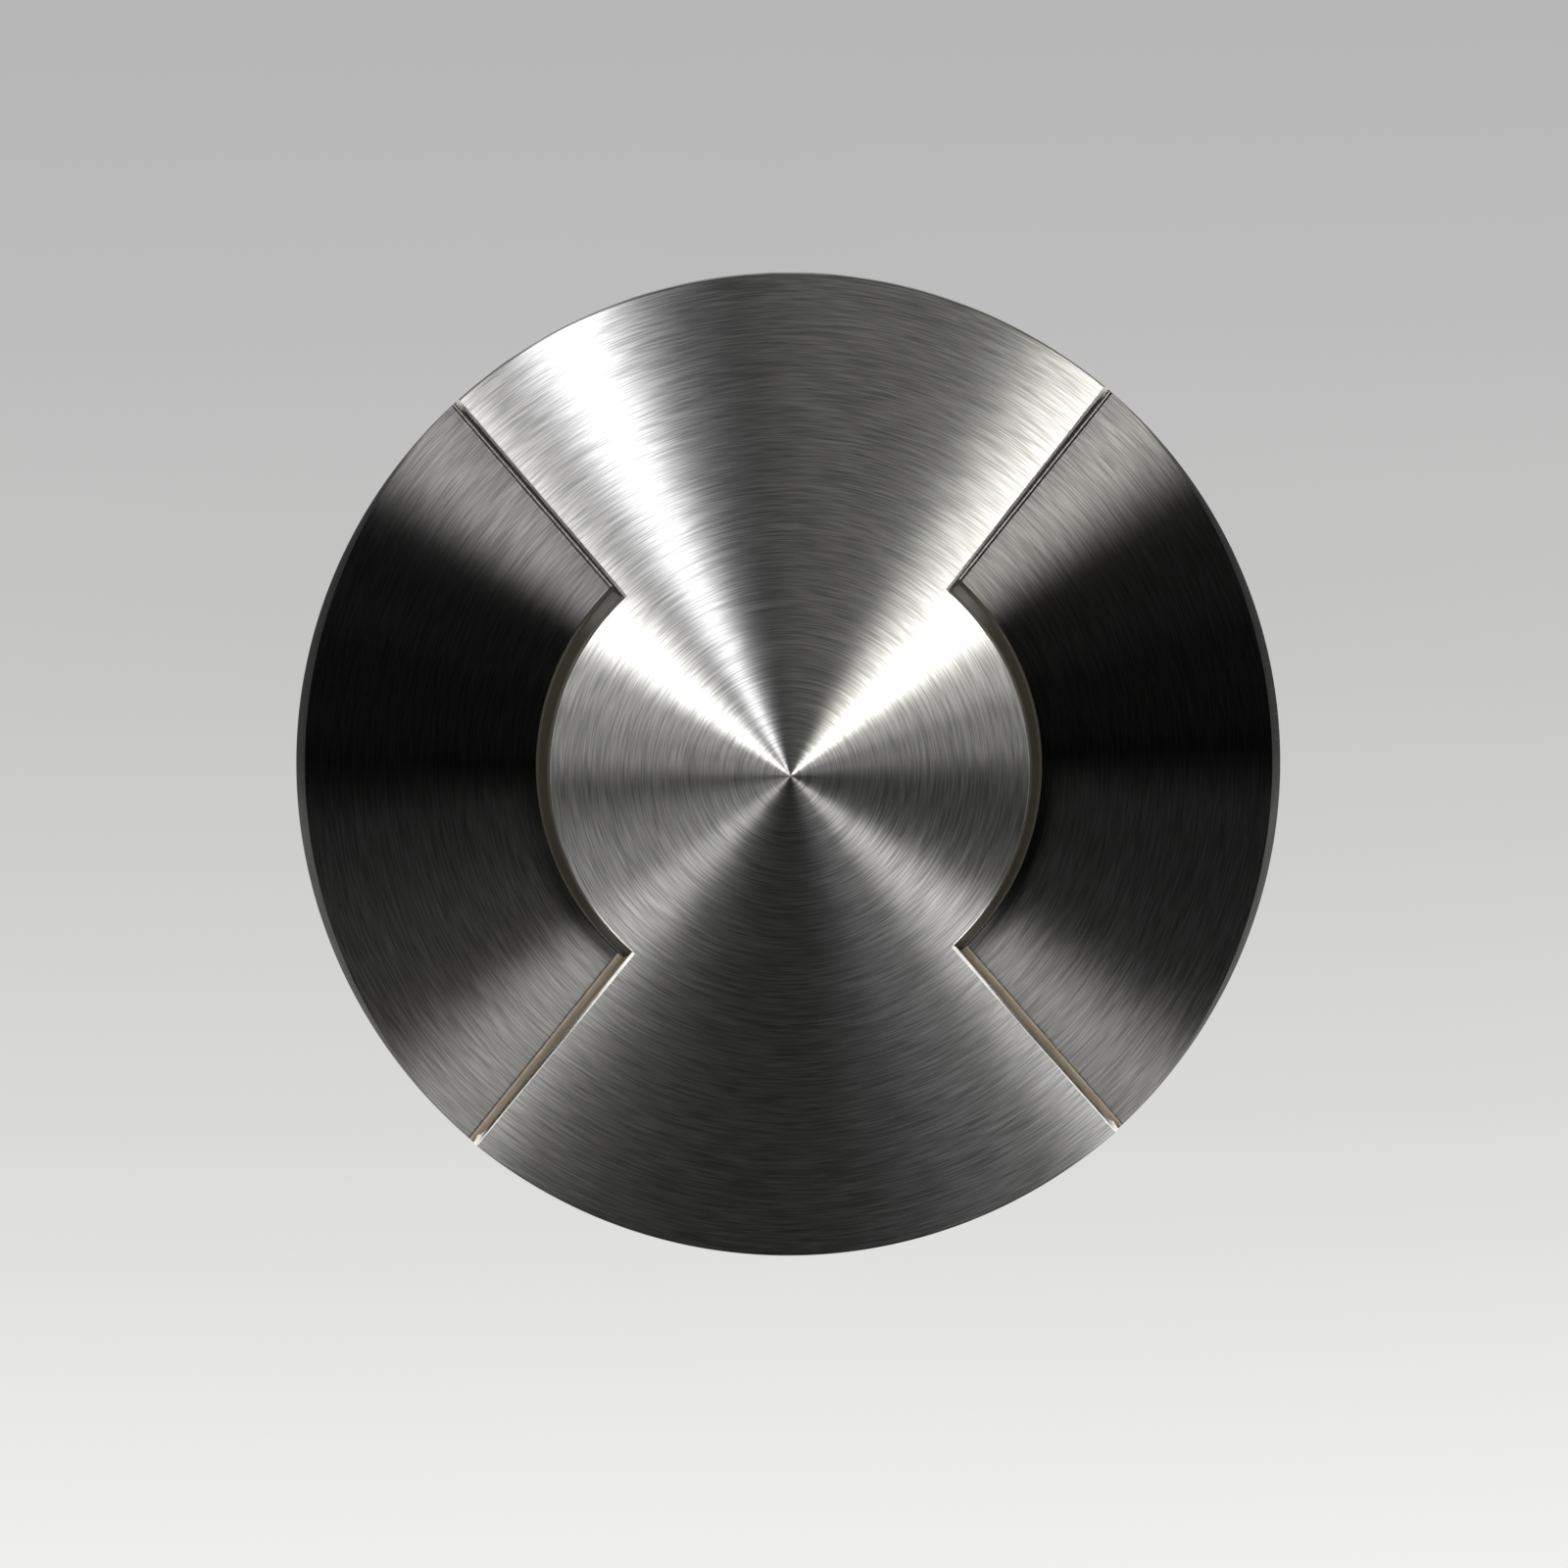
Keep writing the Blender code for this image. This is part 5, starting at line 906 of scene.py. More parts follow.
@dataclass
class Cover:
    """Steel disc turned to a shallow cone, with two milled sectors and the window slots."""

    finishes: Finishes
    sector: Sector = field(default_factory=Sector)
    base: float = 105.6
    radius: float = 65.0
    height: float = 15.0
    rim_height: float = 4.4
    rim_edge: float = 0.3
    cone_rings: tuple[float, ...] = (0.6, 5.0, 14.0, 24.0, 42.0, 54.0)
    hub_radius: float = 31.4
    hollow_radius: float = 28.6
    hollow_height: float = 9.0
    hollow_fillet: float = 1.0
    floor_height: float = 3.5
    fillet: float = 1.2
    edge: float = 0.17
    side_edge: float = 0.4
    fillet_steps: int = 8
    break_reach: float = 0.4
    chamfer_run: float = 1.25
    chamfer_drop: float = 2.3
    chamfer_steps: int = 512
    slot_profile: tuple[Point, ...] = ((27.6, 8.7), (31.945, 8.7), (33.5, 3.2), (33.5, 1.6),
                                       (27.6, 1.6))
    slot_tail: float = 1.6
    screw_angle: float = math.radians(62.0)
    screw_circle: float = 41.8
    screw_radius: float = 2.3
    screw_depth: float = 5.3

    @property
    def slope(self) -> float:
        """Fall of the cone for each millimetre outwards."""
        return (self.height - self.rim_height) / self.radius

    def cone(self, radius: float) -> float:
        """Return the height of the cone above the cover's underside."""
        return self.height - self.slope * radius

    def blank(self) -> Shape:
        """Turn the disc with its cone, its rim and the hollow under the hub.

        Returns:
            The blank, standing at its height.
        """
        rings = [(radius, self.cone(radius), 0.0) for radius in self.cone_rings]
        corners = [(0.0, self.height, 0.0), *rings,
                   (self.radius, self.cone(self.radius), self.rim_edge),
                   (self.radius, 0.0, self.rim_edge), (self.hollow_radius, 0.0, self.rim_edge),
                   (self.hollow_radius, self.hollow_height, self.hollow_fillet),
                   (0.0, self.hollow_height, 0.0)]
        return moved(spun(rounded(corners, 4), COVER_STEPS), shift(z=self.base))

    def pocket(self, turn: float) -> Shape:
        """Cutter of one sector, filleted where its walls meet its floor.

        Args:
            turn: Angle of the sector's middle line.

        Returns:
            The cutter.
        """
        hub_angle = self.sector.half_angle(self.hub_radius)
        arc = [(self.hub_radius * math.cos(hub_angle * (1 - 2 * step / ARC_STEPS)),
                self.hub_radius * math.sin(hub_angle * (1 - 2 * step / ARC_STEPS)))
               for step in range(ARC_STEPS + 1)]
        far = self.radius + 2.0
        x, y = self.sector.side_point(far)
        shape = plate([*arc, (x, -y), (far, -y), (far, y), (x, y)], self.floor_height,
                      self.height + 1.0)
        low = (self.floor_height + 0.01) * MM
        bmesh.ops.bevel(shape, geom=[edge for edge in shape.edges
                                     if all(vert.co.z < low for vert in edge.verts)],
                        offset=self.fillet * MM, segments=self.fillet_steps, profile=0.5,
                        affect="EDGES", material=-1, clamp_overlap=False)
        return moved(tidy(shape), shift(z=self.base), turn_z(turn))

    def rim_chamfer(self, turn: float) -> Shape:
        """Cutter of a sector's outer edge, widest on the middle line and run out at its ends.

        Args:
            turn: Angle of the sector's middle line.

        Returns:
            The cutter.
        """
        corner = self.sector.side_point(self.radius)[0]
        middle = self.radius - self.chamfer_run
        back = (self.radius ** 2 - middle ** 2) / (2 * (middle - corner))
        radius = middle + back
        low = self.floor_height - self.chamfer_drop
        profile = [(radius + 2 * self.chamfer_run + 1.0, self.height),
                   (radius + 2 * self.chamfer_run + 1.0, low), (radius + self.chamfer_run, low),
                   (radius, self.floor_height), (radius, self.height)]
        return moved(spun(profile, self.chamfer_steps, closed=True),
                     shift(x=-back, z=self.base), turn_z(turn))

    def hub_break(self, turn: float) -> Shape:
        """Cutter that takes the burr off the hub's edge over one sector.

        Args:
            turn: Angle of the sector's middle line.

        Returns:
            The cutter.
        """
        top = self.cone(self.hub_radius)
        out = self.break_reach
        outside = self.hub_radius + out
        profile = [(self.hub_radius - self.edge - out, top + out + self.edge * self.slope),
                   (outside, top - self.edge - out), (outside, top + out)]
        half = self.sector.half_angle(self.hub_radius)
        return moved(arc_shape(profile, half, ARC_STEPS), shift(z=self.base), turn_z(turn))

    def wall_break(self, turn: float, side: int) -> Shape:
        """Cutter that takes the burr off the top edge of one side wall.

        Args:
            turn: Angle of the sector's middle line.
            side: Plus or minus one, for the side wall.

        Returns:
            The cutter.
        """
        out = self.break_reach
        near, far = self.hub_radius, self.radius + 0.5
        start = math.sqrt(near ** 2 - self.sector.side_offset ** 2)
        length = math.sqrt(far ** 2 - self.sector.side_offset ** 2) - start
        corners = [(-out, self.side_edge + out), (self.side_edge + out, -out), (-out, -out)]
        shape = bmesh.new()
        face = shape.faces.new([shape.verts.new((0.0, y * MM, -z * MM)) for y, z in corners])
        raised = bmesh.ops.extrude_face_region(shape, geom=[face])["geom"]
        ends = [item for item in raised if isinstance(item, bmesh.types.BMVert)]
        bmesh.ops.translate(shape, verts=ends, vec=(length * MM, 0, -length * self.slope * MM))
        moved(tidy(shape), shift(start, -self.sector.side_offset, self.cone(near)),
              turn_z(self.sector.side_angle))
        if side < 0:
            bmesh.ops.mirror(shape, geom=shape.verts[:] + shape.edges[:] + shape.faces[:],
                             axis="Y", merge_dist=-1)
            upper = [vert for vert in shape.verts if vert.co.y > 0]
            bmesh.ops.delete(shape, geom=upper, context="VERTS")
        return moved(tidy(shape), shift(z=self.base), turn_z(turn))

    def screw_hole(self, angle: float) -> Shape:
        """Return the cutter of one blind screw hole in the underside."""
        return moved(rod(self.screw_radius, self.base - 1.0, self.base + self.screw_depth, 24),
                     around(self.screw_circle, angle))

    def build(self) -> bpy.types.Object:
        """Turn, mill and drill the cover, and set the true normals of its cone.

        Returns:
            The finished cover.
        """
        half = self.sector.half_angle(self.hub_radius) + self.slot_tail / self.hub_radius
        slots = [moved(arc_shape(self.slot_profile, half, ARC_STEPS), shift(z=self.base),
                       turn_z(side.value)) for side in Side]
        angles = [quarter * math.pi + way * self.screw_angle
                  for quarter, way in ((0, 1), (1, -1), (1, 1), (0, -1))]
        cuts = [*slots, *(self.pocket(side.value) for side in Side),
                *(self.rim_chamfer(side.value) for side in Side),
                *(self.hub_break(side.value) for side in Side),
                *(self.wall_break(side.value, way) for side in Side for way in (1, -1)),
                *(self.screw_hole(angle) for angle in angles)]
        shape = carved(self.blank(), cuts)
        piece = place(shape, "cover", Body.LUMINAIRE, self.finishes, Slot.STAINLESS, sharp=40.0)
        for finish in (self.finishes.milled_wall, self.finishes.sunk_face,
                       self.finishes.broken_edge):
            piece.data.materials.append(finish)
        self.smooth_cone(piece)
        return piece

    def on_cone(self, face: bpy.types.MeshPolygon) -> bool:
        """Tell whether a face lies on the cone.

        Args:
            face: A face of the cover.

        Returns:
            True where it does.
        """
        out = face.center.xy.length / MM
        height = face.center.z / MM - self.base - self.cone(out)
        return abs(height) < 0.02 and face.normal.z > 0.95

    def face_finish(self, face: bpy.types.MeshPolygon) -> CoverFinish:
        """Choose the finish of a face by its place and its slope.

        Args:
            face: A face of the cover.

        Returns:
            The finish.
        """
        out = face.center.xy.length / MM
        level = face.center.z / MM - self.base
        if self.on_cone(face) or level <= self.floor_height - self.chamfer_drop:
            return CoverFinish.BRUSHED
        if out > self.radius - self.chamfer_run - 0.3:
            return CoverFinish.SUNK if abs(face.normal.z) > 0.1 else CoverFinish.BRUSHED
        if 0.3 < face.normal.z < 0.9 and level > self.cone(out) - self.side_edge:
            return CoverFinish.BROKEN if out > self.hub_radius + 0.1 else CoverFinish.BRUSHED
        if level > self.floor_height + 0.02:
            # Painted warm reflection: only walls that face +Y, and those round the hub, get the
            # straw tint.
            tinted = face.normal.y > 0 or out < self.hub_radius + 0.3
            return CoverFinish.MILLED if tinted else CoverFinish.SUNK
        return CoverFinish.SUNK if level > self.floor_height - 0.1 else CoverFinish.BRUSHED

    def smooth_cone(self, piece: bpy.types.Object) -> None:
        """Apply the weighted normals, choose finishes and give the cone its true normals.

        Args:
            piece: The cover.
        """
        graph = bpy.context.evaluated_depsgraph_get()
        mesh = bpy.data.meshes.new_from_object(piece.evaluated_get(graph))
        piece.modifiers.clear()
        normals = [Vector(corner.vector) for corner in mesh.corner_normals]
        tilt = Vector((self.slope, 0.0, 1.0)).normalized()
        for face in mesh.polygons:
            face.material_index = self.face_finish(face).value
            if self.on_cone(face):
                for loop in face.loop_indices:
                    spot = mesh.vertices[mesh.loops[loop].vertex_index].co
                    heading = spot.xy if spot.xy.length > 0.1 * MM else face.center.xy
                    angle = math.atan2(heading.y, heading.x)
                    normals[loop] = Matrix.Rotation(angle, 3, "Z") @ tilt
        mesh.normals_split_custom_set([normal.normalized() for normal in normals])
        piece.data = mesh


@dataclass
class Windows:
    """Curved windows with leaning, polished fronts, each on a flat rubber seal."""

    finishes: Finishes
    sector: Sector = field(default_factory=Sector)
    base: float = 105.6
    hub_radius: float = 31.4
    tail: float = 1.3
    glass_corners: tuple[Corner, ...] = ((29.0, 8.4, 0.3), (31.75, 8.4, 0.35), (33.0, 3.75, 0.1),
                                         (33.35, 3.55, 0.12), (33.35, 3.0, 0.0),
                                         (29.0, 3.0, 0.3))
    seal_corners: tuple[Corner, ...] = ((29.4, 2.7, 0.2), (32.8, 2.7, 0.2), (32.8, 1.9, 0.2),
                                        (29.4, 1.9, 0.2))

    def build(self) -> None:
        """Make the two windows and their seals."""
        half = self.sector.half_angle(self.hub_radius) + self.tail / self.hub_radius
        for side in Side:
            where = (shift(z=self.base), turn_z(side.value))
            glass = moved(arc_shape(rounded(self.glass_corners, 4), half, ARC_STEPS), *where)
            place(glass, f"window_{side.word}", Body.LUMINAIRE, self.finishes, Slot.GLASS,
                  sharp=50.0)
            seal = moved(arc_shape(rounded(self.seal_corners, 3), half, ARC_STEPS), *where)
            place(seal, f"window_seal_{side.word}", Body.LUMINAIRE, self.finishes, Slot.RUBBER,
                  sharp=60.0)


# Sleeve, cable chamber and gasket


def round_bar(radius: float, section: float, height: float, steps: int = 24) -> list[Point]:
    """Return the closed round section of a ring, such as an O-ring.

    Args:
        radius: Radius of the ring's middle line.
        section: Radius of the section.
        height: Height of the middle line.
        steps: Points round the section.

    Returns:
        The points of the section.
    """
    turns = [2 * math.pi * step / steps for step in range(steps)]
    return [(radius + section * math.cos(turn), height + section * math.sin(turn))
            for turn in turns]


def hole_tool(radius: float, low: float, high: float, break_low: float = 0.0,
              break_high: float = 0.0, steps: int = SCREW_STEPS) -> Shape:
    """Cutter of an upright hole whose mouths are countersunk a little.

    Args:
        radius: Radius of the hole.
        low: Height of its lower mouth.
        high: Height of its upper mouth.
        break_low: Width of the lower countersink.
        break_high: Width of the upper countersink.
        steps: Faces round the hole.

    Returns:
        The cutter.
    """
    over = 0.5
    profile = [(0.0, low - over), (radius + break_low + (over if break_low else 0.0), low - over)]
    profile += [(radius, low + break_low)] if break_low else []
    profile += [(radius, high - break_high)] if break_high else []
    profile += [(radius + break_high + (over if break_high else 0.0), high + over),
                (0.0, high + over)]
    return spun(profile, steps)


def along_x(side: Side) -> Matrix:
    """Return the turn that lays an upright shape along +X or -X."""
    return turn_z(side.value) @ Matrix.Rotation(math.pi / 2, 4, "Y")


@dataclass
class Sleeve:
    """Buried sleeve, the cable chamber that it stands in, two conduit sockets and the gasket."""

    finishes: Finishes
    bore: float = 48.5
    outer: float = 51.7
    low: float = 36.3
    top: float = 104.0
    flange: float = 60.0
    flange_height: float = 4.0
    groove: tuple[float, float, float] = (51.7, 57.3, 1.0)
    rib_shares: tuple[float, ...] = (0.8, 0.55, 0.3)
    rib_reach: float = 3.0
    rib_half: float = 1.2
    rib_taper: float = 0.8
    chamber_top: float = 36.0
    chamber_floor: float = 4.0
    socket_top: float = 44.0
    socket_bore: float = 52.0
    socket_outer: float = 54.8
    conduit_height: float = 19.5
    boss: float = 14.7
    boss_end: float = 53.1
    conduit_hole: float = 12.6
    conduit_bore: float = 10.5
    conduit_tube: float = 12.3
    conduit_flange: tuple[float, float] = (53.4, 55.4)
    conduit_end: float = 58.7
    drain: float = 4.0
    drain_circle: float = 30.0
    drain_count: int = 4
    taper_low: float = 33.2
    gasket: tuple[Corner, ...] = ((52.0, 103.3, 0.2), (52.0, 105.3, 0.3), (53.0, 105.3, 0.3),
                                  (53.4, 104.9, 0.2), (55.6, 104.9, 0.2), (56.0, 105.3, 0.3),
                                  (57.0, 105.3, 0.3), (57.0, 103.3, 0.2))

    def sleeve(self) -> None:
        """Spin the sleeve with its flange, gasket groove and three anchor ribs."""
        inner, outer, depth = self.groove
        bottom = self.top - self.flange_height
        corners = [(self.bore, self.low, 0.6), (self.bore, self.top, 0.5),
                   (inner, self.top, 0.15), (inner, self.top - depth, 0.2),
                   (outer, self.top - depth, 0.2), (outer, self.top, 0.15),
                   (self.flange, self.top, 0.7), (self.flange, bottom, 0.7),
                   (self.outer, bottom, 1.6)]
        for share in self.rib_shares:
            middle = self.socket_top + (bottom - self.socket_top) * share
            for way in (1, -1):
                foot = (self.outer, middle + way * (self.rib_half + self.rib_taper), 0.5)
                tip = (self.outer + self.rib_reach, middle + way * self.rib_half, 0.5)
                corners += [foot, tip] if way > 0 else [tip, foot]
        corners.append((self.outer, self.low, 0.4))
        self.put(spun(rounded(corners, 4), BODY_STEPS, closed=True), "installation_sleeve")

    def chamber(self) -> None:
        """Spin the chamber, add its two bosses and cut the conduit and drain holes."""
        corners = [(0.0, self.chamber_floor, 0.0), (self.bore, self.chamber_floor, 2.5),
                   (self.bore, self.chamber_top, 0.3), (self.socket_bore, self.chamber_top, 0.4),
                   (self.socket_bore, self.socket_top, 0.7),
                   (self.socket_outer, self.socket_top, 0.7),
                   (self.socket_outer, self.chamber_top, 0.8), (self.outer, self.taper_low, 1.0),
                   (self.outer, 0.0, 1.5), (0.0, 0.0, 0.0)]
        boss_end = rounded([(0.0, self.bore + 0.3, 0.0), (self.boss, self.bore + 0.3, 0.0),
                            (self.boss, self.boss_end, 0.8), (0.0, self.boss_end, 0.0)], 4)
        lift = shift(z=self.conduit_height)
        bosses = [moved(spun(boss_end, ENTRY_STEPS), along_x(side), lift) for side in Side]
        holes = [moved(hole_tool(self.conduit_hole, self.bore - 3.0, self.boss_end, 0.0, 0.4,
                                 ENTRY_STEPS), along_x(side), lift) for side in Side]
        for number in range(self.drain_count):
            turn = math.pi / 4 + 2 * math.pi * number / self.drain_count
            holes.append(moved(hole_tool(self.drain, 0.0, self.chamber_floor, 0.5, 0.5),
                               around(self.drain_circle, turn)))
        self.put(carved(spun(rounded(corners, 5), BODY_STEPS), holes, bosses), "cable_chamber")

    def conduit(self, side: Side) -> None:
        """Spin one conduit socket and lay it in its hole.

        Args:
            side: Side of the chamber.
        """
        start, end = self.conduit_flange
        corners = [(self.conduit_bore, self.conduit_end, 0.6),
                   (self.conduit_tube, self.conduit_end, 0.5), (self.conduit_tube, end, 0.5),
                   (self.boss, end, 0.5), (self.boss, start, 0.3), (self.conduit_tube, start, 0.1),
                   (self.conduit_tube, self.bore, 0.5), (self.conduit_bore, self.bore, 0.4)]
        shape = moved(spun(rounded(corners, 4), ENTRY_STEPS, closed=True), along_x(side),
                      shift(z=self.conduit_height))
        self.put(shape, f"conduit_socket_{side.word}")

    def put(self, shape: Shape, node: str) -> None:
        """Place one black moulding of the sleeve."""
        place(shape, node, Body.SLEEVE, self.finishes, Slot.SLEEVE, sharp=40.0)

    def build(self) -> None:
        """Make the sleeve, its chamber, the sockets and the gasket with its two lips."""
        self.sleeve()
        self.chamber()
        for side in Side:
            self.conduit(side)
        place(spun(rounded(self.gasket, 4), BODY_STEPS, closed=True), "seat_gasket",
              Body.SLEEVE, self.finishes, Slot.RUBBER, sharp=50.0)


# Spring ring, levers and circlip


def swept(path: Sequence[Vector], radius: float, sides: int = 12) -> Shape:
    """Carry a round section along a path of points in millimetres, and cap both ends.

    Args:
        path: Points of the middle line.
        radius: Radius of the section.
        sides: Points round the section.

    Returns:
        A closed bmesh.
    """
    shape = bmesh.new()
    across = (path[1] - path[0]).orthogonal().normalized()
    rings = []
    for index, point in enumerate(path):
        ahead = (path[min(index + 1, len(path) - 1)] - path[max(index - 1, 0)]).normalized()
        across = (across - ahead * across.dot(ahead)).normalized()
        beside = ahead.cross(across)
        turns = [2 * math.pi * step / sides for step in range(sides)]
        rings.append([shape.verts.new((point + radius * (across * math.cos(turn)
                                                         + beside * math.sin(turn))) * MM)
                      for turn in turns])
    edges = [[shape.edges.new(pair) for pair in zip(ring, ring[1:] + ring[:1])] for ring in rings]
    for first, second in zip(edges, edges[1:]):
        bmesh.ops.bridge_loops(shape, edges=first + second)
    shape.faces.new(rings[0])
    shape.faces.new(rings[-1])
    return tidy(shape)


@dataclass
class SpringRing:
    """Ring that the light turns in, with three sprung levers on pins, and its circlip."""

    finishes: Finishes
    levers: int = 3
    bore: float = 38.3
    outer: float = 45.5
    low: float = 87.0
    high: float = 97.0
    notch_width: float = 10.0
    notch_floor: float = 39.6
    notch_fillet: float = 0.6
    pin_circle: float = 42.4
    pin_height: float = 92.0
    pin_radius: float = 1.0
    pin_length: float = 24.0
    pin_hole: float = 1.15
    eye: float = 2.2
    width: float = 9.3
    thick: float = 1.6
    length: float = 25.0
    foot: float = 2.0
    eye_steps: int = 36
    foot_steps: int = 20
    lean: float = math.radians(5.2)
    lever_edge: float = 0.22
    fork: tuple[float, float] = (5.4, 4.0)
    fork_fillet: float = 0.8
    window: tuple[float, float, float] = (4.0, 0.48, 0.8)
    window_fillet: float = 1.2
    wire: float = 0.3
    wire_gap: float = 0.3
    coil: float = 1.75
    turns: int = 3
    turn_steps: int = 32
    pitch: float = 1.1
    ring_leg: float = 4.4
    lever_leg: float = 4.7
    bend: tuple[float, float] = (2.66, 3.75)
    bend_tilt: float = 0.8
    clip: tuple[float, float, float, float] = (36.9, 40.4, 85.2, 86.7)
    clip_gap: float = math.radians(24.0)
    clip_steps: int = 180
    clip_eye: float = 0.8
    clip_eye_inset: float = 2.2

    @property
    def angles(self) -> list[float]:
        """Angle round the axis of each lever."""
        return [math.pi / 2 + 2 * math.pi * number / self.levers for number in range(self.levers)]

    def at_pin(self, angle: float) -> tuple[Matrix, Matrix]:
        """Return the steps that carry a shape from the origin to a lever's pin."""
        return shift(self.pin_circle, 0.0, self.pin_height), turn_z(angle)

    def ring(self) -> None:
        """Spin the ring, and cut its three notches and pin holes."""
        corners = [(self.bore, self.high, 0.3), (self.outer, self.high, 0.8),
                   (self.outer, self.low, 0.8), (self.bore, self.low, 0.3)]
        cuts = []
        for angle in self.angles:
            depth = self.outer + 2.0 - self.notch_floor
            notch = block((depth, self.notch_width, self.high - self.low + 4.0),
                          (self.notch_floor + depth / 2, 0.0, self.pin_height))
            floor = (self.notch_floor + 0.1) * MM
            bevelled(notch, self.notch_fillet, 3,
                     lambda edge: all(vert.co.x < floor for vert in edge.verts)
                     and abs(edge.verts[0].co.z - edge.verts[1].co.z) > MM)
            hole = moved(rod(self.pin_hole, -self.pin_length, self.pin_length, SMALL_STEPS),
                         lying())
            cuts += [moved(notch, turn_z(angle)), moved(hole, *self.at_pin(angle))]
        shape = carved(spun(rounded(corners, 4), BODY_STEPS, closed=True), cuts)
        place(shape, "spring_ring", Body.RING, self.finishes, Slot.RING, sharp=40.0)

    def lever_outline(self) -> list[Point]:
        """Return the side view of a lever: its eye, its blade and its round foot."""
        half = self.thick / 2
        start = math.asin(half / self.eye)
        turns = [start + (2 * math.pi - 2 * start) * step / self.eye_steps
                 for step in range(self.eye_steps + 1)]
        points = [(self.eye * math.cos(turn), self.eye * math.sin(turn)) for turn in turns]
        middle = self.foot - half
        turns = [-math.pi / 2 + math.pi * step / self.foot_steps
                 for step in range(self.foot_steps + 1)]
        points += [(self.length + self.foot * math.cos(turn), middle + self.foot * math.sin(turn))
                   for turn in turns]
        points.append((self.length - self.foot, half))
        return [(along * math.sin(self.lean) + off * math.cos(self.lean),
                 off * math.sin(self.lean) - along * math.cos(self.lean))
                for along, off in points]

    def lever(self, number: int, angle: float) -> None:
        """Bend one lever round its pin, with a fork for the spring and a window in its blade.

        Args:
            number: Number of the lever.
            angle: Its angle round the axis.
        """
        half = self.width / 2
        shape = bevelled(plate(self.lever_outline(), -half, half), self.lever_edge, 2,
                         lambda edge: abs(abs(edge.verts[0].co.z) - half * MM) < SAME_POINT
                         and abs(edge.verts[0].co.z - edge.verts[1].co.z) < SAME_POINT)
        moved(shape, lying())
        hole = moved(rod(self.pin_hole, -self.width, self.width, SMALL_STEPS), lying())
        wide, deep = self.fork
        fork = bevelled(block((12.0, wide, deep + self.eye + 1.0),
                              (0.0, 0.0, (self.eye + 1.0 - deep) / 2)), self.fork_fillet, 4,
                        lambda edge: abs(edge.verts[0].co.x - edge.verts[1].co.x) > MM)
        slot_width, start, end = self.window
        slot = bevelled(block((self.length, slot_width, self.length * (end - start)),
                              (0.0, 0.0, -self.length * (start + end) / 2)),
                        self.window_fillet, 5,
                        lambda edge: abs(edge.verts[0].co.x - edge.verts[1].co.x) > MM)
        shape = moved(carved(shape, [hole, fork, slot]), *self.at_pin(angle))
        place(shape, f"retaining_lever_{number}", f"lever_{number}", self.finishes,
              Slot.SPRING, sharp=30.0)

    def spring(self, number: int, angle: float) -> None:
        """Wind one torsion spring round its pin, with its long leg out to the lever.

        Args:
            number: Number of the lever.
            angle: Its angle round the axis.
        """
        half = self.turns * self.pitch / 2
        floor = self.notch_floor - self.pin_circle + self.wire_gap + self.wire
        end = (self.lever_leg * math.sin(self.lean)
               - (self.thick / 2 + self.wire_gap + self.wire) / math.cos(self.lean))
        path = [Vector((floor, -half, -self.ring_leg * share)) for share in (1.0, 0.75, 0.5)]
        count = self.turns * self.turn_steps
        for step in range(count + 1):
            turn = math.pi - 2 * math.pi * self.turns * step / count
            path.append(Vector((self.coil * math.cos(turn), half * (2 * step / count - 1),
                                self.coil * math.sin(turn))))
        last = path[-1]
        path += [last.lerp(Vector((end, half, -self.lever_leg)), share)
                 for share in (0.25, 0.5, 0.75, 1.0)]
        carry, turned = self.at_pin(angle)
        shape = moved(swept(path, self.wire), carry, turned)
        way = Vector((0.0, self.bend_tilt, -1.0)).normalized() * MM
        start, end = (turned @ carry @ (way * distance) for distance in self.bend)
        place(shape, f"lever_spring_{number}",
              Bend(Body.RING.value, f"lever_{number}", start, end), self.finishes, Slot.SPRING,
              sharp=60.0)

    def circlip(self) -> None:
        """Stamp the open circlip and drill its two plier eyes."""
        inner, outer, low, high = self.clip
        half = math.pi - self.clip_gap / 2
        corners = [(inner, high, 0.15), (outer, high, 0.2), (outer, low, 0.2), (inner, low, 0.15)]
        eye = half - self.clip_eye_inset / outer
        cuts = [moved(hole_tool(self.clip_eye, low, high, 0.15, 0.15, 24),
                      around((inner + outer) / 2, way * eye)) for way in (1, -1)]
        shape = carved(arc_shape(rounded(corners, 3), half, self.clip_steps), cuts)
        place(shape, "circlip", Body.LUMINAIRE, self.finishes, Slot.SPRING)

    def build(self) -> None:
        """Make the ring, its levers, pins and springs, and the circlip below it."""
        self.ring()
        for number, angle in enumerate(self.angles, start=1):
            self.lever(number, angle)
            self.spring(number, angle)
            half = self.pin_length / 2
            pin = spun(rounded([(0.0, half, 0.0), (self.pin_radius, half, 0.25),
                                (self.pin_radius, -half, 0.25), (0.0, -half, 0.0)], 4),
                       SCREW_STEPS)
            place(moved(pin, lying(), *self.at_pin(angle)), f"lever_pin_{number}", Body.RING,
                  self.finishes, Slot.SCREW)
        self.circlip()


# Housing, screws, light engine, driver and base


